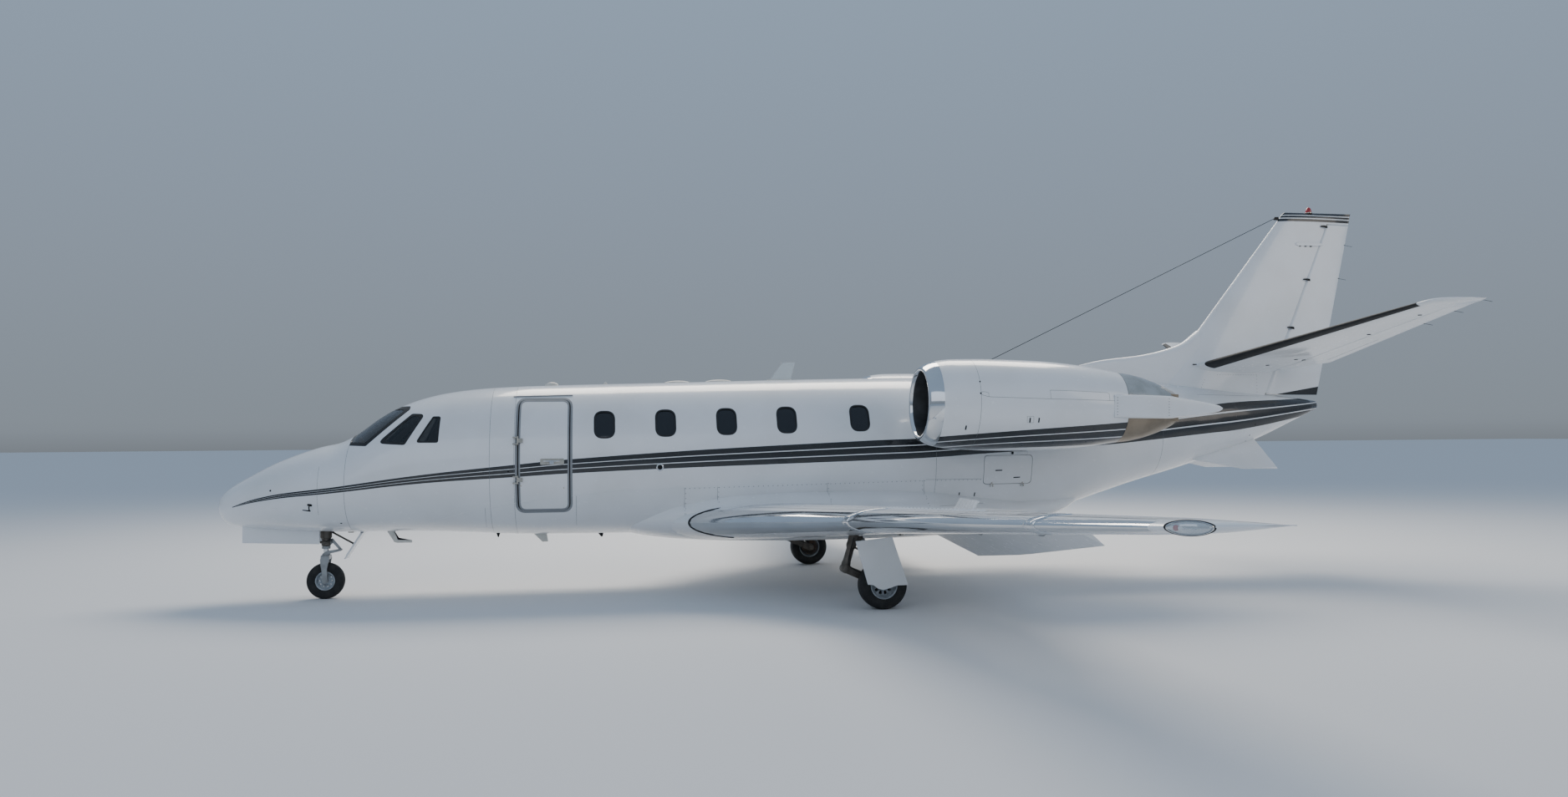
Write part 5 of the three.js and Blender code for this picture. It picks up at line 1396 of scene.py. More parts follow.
noseLeg = {"piston": 33, "axle": 24, "armOut": 86, "armIn": 68, "knee": (1440, 612), "upper": (1330, 742),
           "lower": (1262, 575),
           "arm": [(-40, 545), (44, 545), (54, 510), (40, 440), (28, 380), (30, 290), (33, 250), (36, 228),
                   (25, 203), (0, 192), (-25, 203), (-36, 228), (-33, 250), (-30, 290), (-40, 380),
                   (-52, 440), (-56, 500)],
           "collar": [(0, 36), (0, 50), (4, 53), (30, 53), (34, 50), (34, 36)],
           "barrel": [(0, 0), (0, 48), (6, 57), (60, 58), (66, 52), (90, 52), (100, 66), (108, 68),
                      (560, 66), (572, 60), (572, 0)]}
mainLeg = {"side": 2105, "foot": (7500, 455), "head": (7650, 960), "damperFoot": (7815, 330),
           "damperHead": (7710, 800),
           "barrel": [(0, 0), (0, 40), (8, 50), (58, 55), (100, 47), (236, 46), (262, 56), (276, 60),
                      (300, 60), (312, 57), (520, 57), (527, 50), (527, 0)],
           "damperCase": [(190, 0), (190, 30), (196, 38), (214, 38), (220, 35), (470, 35), (478, 30),
                          (478, 0)]}
bladeDoor = {"outline": [(1500, 508), (1514, 500), (1730, 838), (1700, 838)], "half": 110}
noseDoor = {"outline": [(310, 735), (1215, 700), (1215, 960), (310, 980)], "out": 149.7, "in": 137.7}
mainDoor = {"outline": [(7560, 800), (7995, 838), (8178, 284), (8047, 283), (7963, 256), (7883, 234),
                        (7814, 256), (7765, 294), (7700, 302)], "y": 2406, "thick": 16,
                        "links": [(7614, 700), (7640, 770)]}


def tyreProfile(wheel):
    # a section from bead to bead: round side walls, then a nearly flat tread with its grooves
    radius, width, rim = wheel["radius"], wheel["width"], wheel["rim"]
    depth = radius - rim
    left = [(-width * 0.32, rim - 3), (-width * 0.41, rim), (-width * 0.45, rim + depth * 0.12)]
    for a in between(0, math.pi / 2, 9):
        left.append((-width * (0.33 + 0.17 * math.cos(a)), rim + depth * (0.42 + 0.56 * math.sin(a))))
    for at in sorted(wheel["grooves"], reverse=True):
        crown = radius - depth * 0.02 * (at / (width * 0.33)) ** 2
        for x, deep in ((-0.5, 0), (-0.3, 1), (0.3, 1), (0.5, 0)):
            left.append((-at + x * wheel["groove"], crown - deep * wheel["grooveDepth"]))
    return left + [(0, radius)] + [(-x, r) for x, r in reversed(left)]


def turnAbout(place, k, count):
    return place @ Matrix.Rotation(2 * math.pi * k / count, 4, "X")


def boltRing(place, count, radius, size, x0, x1):
    crown = x1 - (x1 - x0) * 0.2
    return [turnedShape("bolt", [(x0, 0), (x0, size), (crown, size), (x1, size * 0.75), (x1, 0)],
                        turnAbout(place, k, count) @ Matrix.Translation((0, 0, radius / 1000)), 6)
            for k in range(count)]


def makeWheel(name, wheel, side, body, tyreNode, rimNode):
    y = wheel["y"] * side
    # its X points outboard
    place = aimed((wheel["x"], y, wheel["z"]), (wheel["x"], y + 100 * side, wheel["z"]))
    finishPiece(turnedShape(f"{name}TyreCarcass", tyreProfile(wheel), place, 96), body,
                [agedTyre], [tyreNode], sharp=45)
    rim, half, web = wheel["rim"], wheel["width"] / 2, wheel["web"]
    hub, slots = wheel["hub"], wheel["slots"]
    face = [(web + 9, wheel["cap"] + 3), (web + 8, rim * 0.40), (web, rim * 0.47), (web - 2, rim * 0.78),
            (half * 0.5, rim - 14), (half * 0.88, rim - 9), (half * 0.95, rim - 4), (half * 0.97, rim + 5),
            (half * 0.91, rim + 8), (half * 0.82, rim - 0.5)]
    disc = turnedShape("disc", face + [(-x, r) for x, r in reversed(face)], place, 96)
    cutters = []
    for k in range(slots["count"]):
        turn = turnAbout(place, k + 0.5, slots["count"])
        w, r0, r1 = slots["width"] / 2, slots["from"], slots["to"]
        ring = roundCorners([(-w * 0.7, r0), (w * 0.7, r0), (w, r1), (-w, r1)], w * 0.7, 4)
        cutters.append(loftRings("slot",
                                 [[turn @ (Vector((x, u, v)) / 1000) for u, v in ring] for x in (-80, 80)]))
    carve(disc, joinObjects("slots", cutters))
    bits = [disc] + boltRing(place, slots["count"], rim * 0.82, 5, web - 6, web + 8)
    for out in (1, -1):
        cap = wheel["cap"]
        bits.append(turnedShape("hub",
                                [(0, 0), (0, cap), (out * (hub - 10), cap), (out * (hub - 3), cap - 4),
                                        (out * hub, cap - 12), (out * hub, 0)], place, 48))
    finishPiece(joinObjects(f"{name}WheelRim", bits), body, [wheelEnamel], [rimNode])
    return place


def linkOutline(start, r0, end, r1, steps=8):
    # the outline round two circles of different radius
    along = math.atan2(end[1] - start[1], end[0] - start[0])
    spread = math.acos((r0 - r1) / math.dist(start, end))
    arcs = [(start, r0, along + spread, along + 2 * math.pi - spread),
            (end, r1, along - spread, along + spread)]
    return [(c[0] + r * math.cos(a), c[1] + r * math.sin(a)) for c, r, a0, a1 in arcs
            for a in between(a0, a1, steps)]


# fork and pipes: distances aft of the axle and heights; the crown is seen from the front
noseFork = {"nut": [(0, 0), (0, 27), (8, 27), (11, 24), (11, 15), (20, 15), (21, 13), (21, 0)],
            "crown": [(-86, 496), (86, 496), (78, 552), (-78, 552)], "crownHalf": 50,
            "boss": [(0, 0), (0, 50), (14, 48), (26, 38), (26, 0)],
            "towLug": [(-60, 500), (-34, 492), (-34, 540), (-60, 534)], "lugAcross": (26, 40),
            "horn": [(20, 636), (80, 700), (86, 752), (60, 752), (20, 660)], "hornHalf": 18}
nosePipes = [[(-50, 40, 1000), (-66, 42, 880), (-66, 40, 760), (-40, 52, 730)],
             [(50, -40, 1010), (72, -40, 900), (70, -44, 780), (30, -54, 728)]]
bladeRib = {"outline": [(1512, 544), (1520, 540), (1700, 820), (1684, 820)], "across": (-80, -5, 70),
            "thick": 10}
noseDoorFrame = {"at": (360, 560, 760, 960, 1160), "half": 9, "low": 752, "high": 950,
                 "across": (126, 137.7)}
noseDoorArm = {"at": (420, 760, 1100), "foot": 900, "headAft": 34, "head": 990, "across": (112, 122)}
pipeRadius = 5


def makeNoseGear():
    x, z = noseWheel["x"], noseWheel["z"]
    makeWheel("nose", noseWheel, 1, "nose_wheel", "nose_tyre", "nose_rim")
    bits = []
    for side in (-1, 1):
        arm = [(x + u, v) for u, v in noseLeg["arm"]]
        bits.append(slab(arm, side * noseLeg["armIn"], side * noseLeg["armOut"], 4))
        bits.append(rodPiece((x, side * 52, z), (x, side * 66, z), noseLeg["axle"]))
        place = aimed((x, side * 84, z), (x, side * 120, z))
        bits.append(turnedShape("nut", noseFork["nut"], place, 6))
    half = noseFork["crownHalf"]
    bits.append(slab(roundCorners(noseFork["crown"], 18), -half, half, 6, frontView(x)))
    bits.append(turnedAlong(noseFork["boss"], (x, 0, 548), (x, 0, 600)))
    near, far = noseFork["lugAcross"]
    for side in (-1, 1):
        lug = [(x + u, v) for u, v in noseFork["towLug"]]
        bits.append(slab(lug, side * near, side * far, 3))
    lower = linkOutline(noseLeg["lower"], 20, noseLeg["knee"], 13)
    bits += [slab(lower, -34, -20, 2), slab(lower, 20, 34, 2)]
    kneeX, kneeZ = noseLeg["knee"]
    bits.append(rodPiece((kneeX, -42, kneeZ), (kneeX, 42, kneeZ), 9))
    upper = linkOutline(noseLeg["upper"], 16, noseLeg["knee"], 13)
    bits += [slab(upper, -18, -6, 2), slab(upper, 6, 18, 2)]
    bits.append(turnedAlong(noseLeg["collar"], (x, 0, 630), (x, 0, 664)))
    horn, half = [(x + u, v) for u, v in noseFork["horn"]], noseFork["hornHalf"]
    bits.append(slab(horn, -half, half, 3))
    fitParts("noseForkForging", bits, "nose_fork", gearEnamel, ["nose_fork"])
    piston = rodPiece((x, 0, 570), (x, 0, 667), noseLeg["piston"])
    finishPiece(piston, "nose_fork", [hardChrome])

    bits = [turnedAlong(noseLeg["barrel"], (x, 0, 668), (x, 0, 1240))]
    bits.append(rodPiece((x, -149, 1010), (x, 149, 1010), 30))
    for side in (-1, 1):
        bits.append(rodPiece((x, side * 30, 860), (x - 420, side * 62, 1210), 20))
        bits.append(rodPiece((x + 40, side * 26, 856), (1586, side * 26, 690), 7, around=12))
        bits.append(slab(linkOutline((x + 40, 856), 16, (x + 78, 838), 12), side * 20, side * 32, 2))
        bits.append(rodPiece((x - 60, side * 62, 716), (x + 20, side * 62, 716), 16))  # steering actuators
        bits.append(rodPiece((x + 18, side * 62, 716), (x + 60, side * 62, 716), 8, around=16))
    bits.append(rodPiece((1586, -34, 690), (1586, 34, 690), 10, around=16))
    fitParts("noseLegForging", bits, "airframe", forgingWithPaintedShade, ["nose_gear_leg"])
    pipes = [pipePiece([(x + u, y, v) for u, y, v in track], pipeRadius) for track in nosePipes]
    fitParts("noseLegPipes", pipes, "airframe", blackRubber)

    blade = slab(bladeDoor["outline"], -bladeDoor["half"], bladeDoor["half"], 3)
    root = boxPiece(1694, 1736, -bladeDoor["half"], bladeDoor["half"], 826, 868)
    carve(root, bodySolid("clearance", 1200, 2400, 0.3))
    ribs = [slab(bladeRib["outline"], y, y + bladeRib["thick"], 2) for y in bladeRib["across"]]
    fitParts("noseBladeDoor", [blade, root] + ribs, "airframe", whitePaint,
             ["nose_gear_door_aft"])
    for name, side in sideSigns.items():
        skin = slab(noseDoor["outline"], side * noseDoor["in"], side * noseDoor["out"], 3)
        half, low, high = noseDoorFrame["half"], noseDoorFrame["low"], noseDoorFrame["high"]
        near, far = noseDoorFrame["across"]
        frames = [slab([(u - half, low), (u + half, low), (u + half, high), (u - half, high)], side * near,
                       side * far, 2) for u in noseDoorFrame["at"]]
        near, far = noseDoorArm["across"]
        for u in noseDoorArm["at"]:
            foot, head = (u, noseDoorArm["foot"]), (u + noseDoorArm["headAft"], noseDoorArm["head"])
            frames.append(slab(linkOutline(foot, 14, head, 10), side * near, side * far, 2))
        fitParts(f"{name}NoseDoorPanel", [skin] + frames, "airframe", whitePaint,
                 [f"nose_gear_door_{name}"])


mainNuts = {"foot": [(0, 0), (0, 30), (8, 30), (12, 22), (12, 0)],
            "axle": [(0, 0), (0, 34), (14, 34), (20, 26), (20, 0)],
            "link": [(0, 0), (0, 24), (8, 24), (10, 20), (10, 0)]}
brakeStack = {"discs": (-88, -76, -64, -52), "thick": 9, "inner": 58, "outer": 122,
              "housing": [(-128, 46), (-128, 100), (-120, 112), (-98, 114), (-92, 108), (-92, 46)]}
# station, height and distance outboard of the leg
mainPipes = [[(7860, 330, 40), (7800, 372, 48), (7660, 420, 48), (7540, 500, 50), (7550, 640, 58),
              (7600, 820, 58)],
             [(7880, 340, -48), (7700, 400, -48), (7545, 520, -52), (7580, 760, -58)]]
# the frame inside the door is its outline, shrunk about a point
doorFrame = {"about": (7880, 560), "shrink": (0.82, 0.86), "in": -7, "out": 1,
             "ribs": (720, 600, 480), "ribHalf": 8, "ribIn": 13, "ribOut": 6}


def makeMainGear(name, side):
    wheel = mainWheel
    place = makeWheel(f"{name}Main", wheel, side, f"{name}_main_wheel", f"{name}_main_tyre",
                      f"{name}_main_rim")
    middle = mainLeg["side"] * side
    at = lambda point, across=0: (point[0], middle + across * side, point[1])
    foot, head, axle = mainLeg["foot"], mainLeg["head"], (wheel["x"], wheel["z"])
    bits = [turnedAlong(mainLeg["barrel"], at(foot), at(head)),
            rodPiece(at(foot, -70), at(foot, 70), 50, edge=5)]
    for out in (-1, 1):
        bits.append(turnedAlong(mainNuts["foot"], at(foot, out * 68), at(foot, out * 100), 6))
    arm = linkOutline(foot, 46, axle, 50, 10)
    bits.append(slab(arm, middle - 34, middle + 34, 8))
    rib = linkOutline((foot[0] + 60, foot[1] - 26), 15, (axle[0] - 70, axle[1] + 30), 17, 8)
    bits.append(slab(rib, middle - 40, middle + 40, 6))
    bits.append(rodPiece(at(axle, -66), at(axle, wheel["y"] - mainLeg["side"] - wheel["hub"] - 0.4), 42))
    bits.append(turnedAlong(mainNuts["axle"], at(axle, -62), at(axle, -120), 6))
    bits.append(rodPiece(at((7720, 800)), at((7610, 790)), 32, edge=4))
    bits.append(slab(linkOutline(mainLeg["damperFoot"], 30, axle, 34), middle - 20, middle + 20, 4))
    for x, z in mainDoor["links"]:
        bits.append(rodPiece((x, middle, z), (x, side * (mainDoor["y"] - 1), z), 12, around=16))
        near, far = (x, side * (mainDoor["y"] - 10), z), (x, side * mainDoor["y"], z)
        bits.append(turnedAlong(mainNuts["link"], near, far, 24))
    fitParts(f"{name}MainLegForging", bits, "airframe", forgingWithPaintedShade,
             [f"{name}_main_gear_leg"])
    low, high = at(mainLeg["damperFoot"]), at(mainLeg["damperHead"])
    finishPiece(rodPiece(low, high, 21, name=f"{name}DamperPiston"), "airframe", [hardChrome])
    finishPiece(turnedAlong(mainLeg["damperCase"], low, high, name=f"{name}DamperCase"), "airframe",
                [gearEnamel])
    # brake stack and its piston housing, clear of the rim's barrel; X of the place points outboard
    thick, r0, r1 = brakeStack["thick"], brakeStack["inner"], brakeStack["outer"]
    rings = [turnedShape("stack", [(x, r0), (x, r1), (x + thick, r1), (x + thick, r0)], place, 48)
             for x in brakeStack["discs"]]
    rings.append(turnedShape("housing", brakeStack["housing"], place, 48))
    rings += boltRing(place, 6, 84, 21, -146, -120)
    fitParts(f"{name}BrakeStack", rings, "airframe", brakeSteel)
    pipes = [pipePiece([at((x, z), across) for x, z, across in track], pipeRadius) for track in mainPipes]
    fitParts(f"{name}BrakePipes", pipes, "airframe", blackRubber)

    y0 = mainDoor["y"]
    skin = slab(mainDoor["outline"], side * y0, side * (y0 + mainDoor["thick"]), 4)
    (middleX, middleZ), (shrinkX, shrinkZ) = doorFrame["about"], doorFrame["shrink"]
    frame = [(middleX + (u - middleX) * shrinkX, middleZ + (v - middleZ) * shrinkZ)
             for u, v in mainDoor["outline"]]
    inside = slab(frame, side * (y0 + doorFrame["in"]), side * (y0 + doorFrame["out"]), 4)
    ribs, half = [], doorFrame["ribHalf"]
    for k, z in enumerate(doorFrame["ribs"]):
        front, rear = 7660 + k * 40, 7990 + k * 46
        outline = [(front, z - half), (rear, z - half), (rear, z + half), (front, z + half)]
        ribs.append(slab(outline, side * (y0 - doorFrame["ribIn"]), side * (y0 - doorFrame["ribOut"]), 2))
    fitParts(f"{name}MainDoorPanel", [skin, inside] + ribs, "airframe", whitePaint,
             [f"{name}_main_gear_door"])


makeNoseGear()
for name, side in sideSigns.items():
    makeMainGear(name, side)
print("undercarriage built")

# What repeats or follows a path: rivets, seams, fins and wicks, each tree with its sizes as named inputs

def openTree(name, sizes):
    tree = bpy.data.node_groups.new(name, "GeometryNodeTree")
    tree.interface.new_socket("Geometry", in_out="INPUT", socket_type="NodeSocketGeometry")
    tree.interface.new_socket("Geometry", in_out="OUTPUT", socket_type="NodeSocketGeometry")
    keys = {}
    for label, value in sizes.items():
        socket = tree.interface.new_socket(label, in_out="INPUT", socket_type="NodeSocketFloat")
        socket.default_value = value
        keys[label] = socket.identifier
    keys["Finish"] = tree.interface.new_socket("Finish", in_out="INPUT",
                                               socket_type="NodeSocketMaterial").identifier
    return tree, keys, addNode(tree, "NodeGroupInput").outputs


def closeTree(tree, geometry, given):
    whole = addNode(tree, "GeometryNodeRealizeInstances", {"Geometry": geometry}).outputs["Geometry"]
    done = addNode(tree, "GeometryNodeSetMaterial", {"Geometry": whole, "Material": given["Finish"]})
    addNode(tree, "NodeGroupOutput", {"Geometry": done.outputs["Geometry"]})


def runTree(obj, made, finish, **sizes):
    tree, keys = made
    modifier = obj.modifiers.new(tree.name, "NODES")
    modifier.node_group = tree
    modifier[keys["Finish"]] = finish
    for label, value in sizes.items():
        modifier[keys[label]] = value
    return bakeModifiers(obj)


def markTree(name, sizes, shape):
    # one shape on each mark, its Z along the mark's facing and turned about it by its toe
    tree, keys, given = openTree(name, sizes)
    facing = addNode(tree, "GeometryNodeInputNamedAttribute", {"Name": "facing"}, data_type="FLOAT_VECTOR")
    toe = addNode(tree, "GeometryNodeInputNamedAttribute", {"Name": "toe"}, data_type="FLOAT")
    upright = addNode(tree, "FunctionNodeAlignRotationToVector", {"Vector": facing.outputs["Attribute"]},
                      axis="Z")
    spin = addNode(tree, "FunctionNodeEulerToRotation", {
        "Euler": addNode(tree, "ShaderNodeCombineXYZ", {"Z": toe.outputs["Attribute"]}).outputs["Vector"]})
    turned = addNode(tree, "FunctionNodeRotateRotation", {
        "Rotation": upright.outputs["Rotation"], "Rotate By": spin.outputs["Rotation"]},
        rotation_space="LOCAL")
    placed = addNode(tree, "GeometryNodeInstanceOnPoints", {
        "Points": given["Geometry"], "Instance": shape(tree, given),
        "Rotation": turned.outputs["Rotation"]})
    closeTree(tree, placed.outputs["Instances"], given)
    return tree, keys


def domeShape(tree, given):
    top = calculate(tree, "MULTIPLY", given["Radius"], 0.55)
    sizes = {"Vertices": 8, "Radius Top": top, "Radius Bottom": given["Radius"], "Depth": given["Height"]}
    return addNode(tree, "GeometryNodeMeshCone", sizes).outputs["Mesh"]


def vortexFin(tree, given):
    half = calculate(tree, "MULTIPLY", given["Length"], 0.5)
    cone = addNode(tree, "GeometryNodeMeshCone", {"Vertices": 4, "Radius Top": 0.001, "Radius Bottom": half,
                                                  "Depth": given["Height"]}).outputs["Mesh"]
    return addNode(tree, "GeometryNodeTransform",
                   {"Geometry": cone, "Scale": (1, 0.12, 1)}).outputs["Geometry"]


def wickShape(tree, given):
    stem = addNode(tree, "GeometryNodeMeshCylinder",
                   {"Vertices": 8, "Radius": given["Radius"], "Depth": given["Length"]})
    lift = addNode(tree, "ShaderNodeCombineXYZ", {"Z": calculate(tree, "MULTIPLY", given["Length"], 0.5)})
    wick = addNode(tree, "GeometryNodeTransform", {"Geometry": stem.outputs["Mesh"],
                                                   "Translation": lift.outputs["Vector"]})
    foot = addNode(tree, "GeometryNodeMeshCylinder", {
        "Vertices": 8, "Radius": calculate(tree, "MULTIPLY", given["Radius"], 2.2),
        "Depth": calculate(tree, "MULTIPLY", given["Length"], 0.22)})
    whole = addNode(tree, "GeometryNodeJoinGeometry", {"Geometry": wick.outputs["Geometry"]})
    tree.links.new(foot.outputs["Mesh"], whole.inputs["Geometry"])
    return whole.outputs["Geometry"]


def makeSeamTree():
    tree, keys, given = openTree("sealedSeam", {"Radius": 0.002, "Step": 0.03})
    curve = addNode(tree, "GeometryNodeMeshToCurve", {"Mesh": given["Geometry"]}).outputs["Curve"]
    even = addNode(tree, "GeometryNodeResampleCurve", {"Curve": curve, "Length": given["Step"]},
                   mode="LENGTH")
    section = addNode(tree, "GeometryNodeCurvePrimitiveCircle",
                      {"Resolution": 6, "Radius": given["Radius"]})
    bead = addNode(tree, "GeometryNodeCurveToMesh", {"Curve": even.outputs["Curve"], "Fill Caps": True,
                                                     "Profile Curve": section.outputs["Curve"]})
    closeTree(tree, bead.outputs["Mesh"], given)
    return tree, keys


rivetTree = markTree("rivets", {"Radius": 0.004, "Height": 0.002}, domeShape)
finTree = markTree("vortexFins", {"Length": 0.05, "Height": 0.02}, vortexFin)
wickTree = markTree("staticWicks", {"Radius": 0.002, "Length": 0.12}, wickShape)
seamTree = makeSeamTree()


def marksObject(name, marks):
    # marks are (place, facing) or (place, facing, toe)
    obj = meshObject(name, [mark[0] for mark in marks], [])
    facings = obj.data.attributes.new("facing", "FLOAT_VECTOR", "POINT")
    facings.data.foreach_set("vector", [c for mark in marks for c in mark[1]])
    toes = obj.data.attributes.new("toe", "FLOAT", "POINT")
    toes.data.foreach_set("value", [(*mark, 0.0)[2] for mark in marks])
    return obj


def pathsObject(name, paths):
    mesh = bpy.data.meshes.new(name)
    points, edges = [], []
    for path in paths:
        edges += [(len(points) + i, len(points) + i + 1) for i in range(len(path) - 1)]
        points += [tuple(p) for p in path]
    mesh.from_pydata(points, edges, [])
    obj = bpy.data.objects.new(name, mesh)
    bpy.context.scene.collection.objects.link(obj)
    return obj


def laySeams(name, paths, finish, body, slot, **sizes):
    finishPiece(runTree(pathsObject(name, paths), seamTree, finish, **sizes), body, [finish])


def plantMarks(name, marks, made, finish, body, slot, sharp=32, **sizes):
    finishPiece(runTree(marksObject(name, marks), made, finish, **sizes), body, [finish], sharp=sharp)


def stationOf(point):
    return point.x * 1000 + overallLength / 2


def skinHit(x, z, side):
    # where a level line from the side meets the fuselage or its belly fairing
    found = []
    for source in (fuselageSource, bellySource):
        at, normal, _, _ = source["tree"].ray_cast(spot(x, side * 1400, z), Vector((0, -side, 0)))
        if at is not None:
            found.append((abs(at.y), at, normal))
    _, at, normal = max(found, key=lambda hit: hit[0])
    return at, normal if normal.y * side > 0 else -normal


def skinLine(points, side, step=40):
    made = []
    for (x0, z0), (x1, z1) in zip(points, points[1:]):
        count = max(1, round(math.dist((x0, z0), (x1, z1)) / step))
        made += [(x0 + (x1 - x0) * k / count, z0 + (z1 - z0) * k / count) for k in range(count)]
    return [skinHit(x, z, side) for x, z in made + [points[-1]]]


def wingHit(name, y, share, under=False):
    # where a plumb line meets the wing's skin, by distance out and share of the chord
    side = sideSigns[name]
    row = rowAt(wingShape["rows"], y)
    start = spot(row[1] + share * (row[2] - row[1]), y * side, 300 if under else 2600)
    at, normal, _, _ = wingSources[name]["tree"].ray_cast(start, Vector((0, 0, 1 if under else -1)))
    return at, normal if (normal.z < 0) == under else -normal


def cowlSpot(side, x, degrees, lift=0.0):
    # a place on the cowl and the way it faces; 0 degrees is the outboard side and 90 the top
    radius = smoothTrack(*zip(*cowlShape["outer"]))
    slope = (radius(x + 5) - radius(x - 5)) / 10
    a = math.radians(degrees)
    facing = Vector((-slope, side * math.cos(a), math.sin(a))).normalized()
    place = enginePlace(side)
    at = place @ (Vector((x, side * radius(x) * math.cos(a), radius(x) * math.sin(a))) / 1000)
    facing = place.to_3x3() @ facing
    return at + facing * lift / 1000, facing


def patch(at, facing, along, corners, thick, name="patch"):
    # a small plate lying on a surface, its corners measured along and across
    along = (along - facing * along.dot(facing)).normalized()
    across = facing.cross(along)
    rings = []
    for lift, grow in ((-2, 1), (thick * 0.6, 1), (thick, 0.9)):
        rings.append([at + (along * u * grow + across * v * grow + facing * lift) / 1000
                      for u, v in corners])
    return loftRings(name, rings)


# polysulphide sealant in the joints, cut flush: a matt mid grey, drawn a little wider than it is to show
jointSealant = plainMaterial("polysulphideSealant", "6F7376", 0.0,
                             {"size": 10, "roughness": 0.6, "spread": 0.08, "strength": 0.05, "depth": 0.1},
                             worn="4E5153", wornSize=120)
# cadmium-plated steel heads, wiped over with paint: small and dull, darker than the skin round them
screwSteel = plainMaterial("platedScrewSteel", "83868A", 0.8,
                           {"size": 3, "roughness": 0.42, "spread": 0.08, "strength": 0.05, "depth": 0.05})
# black-anodised fittings: latches, brackets and wicks
blackAnodised = plainMaterial("blackAnodisedAluminium", "1B1C1E", 0.7,
                              {"size": 6, "roughness": 0.4, "spread": 0.07, "strength": 0.05,
                               "depth": 0.05},
                              worn="3A3B3D", wornSize=30)
# brushed stainless steel, with its grain along the part
brushedSteel = plainMaterial("brushedStainlessSteel", "C4C0B6", 1.0,
                             {"size": 3, "roughness": 0.24, "spread": 0.05, "strength": 0.04, "depth": 0.04,
                              "stretch": (0.06, 1, 1)}, worn="9C968A", wornSize=60)
seamSizes = {"Radius": 0.0022, "Step": 0.04}
fuselageSeams = {
    "rings": [1640, 3350, 3642, 9000, 12380],
    "lines": [[(1318, 1100), (1318, 1680)], [(3285, 1155), (3278, 900)], [(4388, 1290), (4386, 900)],
              [(5728, 1372), (5732, 1000)], [(6142, 1384), (6150, 1050)], [(7556, 1408), (7580, 1060)],
              [(8838, 1426), (8868, 1055)], [(8864, 1428), (9630, 1427)], [(13044, 2556), (14118, 2536)],
              [(9000, 1090), (9640, 1110)], [(8869, 1053), (8990, 1020)]],
    "crease": [(2593, 976), (3090, 1107), (3673, 1215), (4380, 1298), (5050, 1362), (5728, 1372),
               (6540, 1381), (7556, 1408), (8864, 1428)],
    "rivetRows": [[(5728, 1360), (8850, 1414)], [(5742, 1360), (5746, 1040)], [(6156, 1370), (6164, 1060)],
                  [(7570, 1398), (7592, 1070)], [(8822, 1410), (8852, 1070)], [(9020, 1416), (9620, 1414)]],
    "pitch": 62}
cowlSeams = {"ring": 612, "split": [(612, 10.5), (704, 7.8), (1490, 6.9), (2283, 7.6), (2556, 7.6)],
             "doors": [[(612, 10.5), (612, 14.2), (704, 13.6), (704, 7.8)], [(1490, 6.9), (1490, 18)],
                       [(1195, -15), (1280, -15), (1285, -23.2), (1203, -23.2), (1195, -15)],
                       [(1490, 18), (2283, 19), (2283, 7.6)]],
             "fairingRivets": (2385, 3075), "dots": [(612, 27.5), (606, 12)],
             "latches": [(1235, -17, -22.6), (1349, -17, -22.6), (450, -30, -34)]}


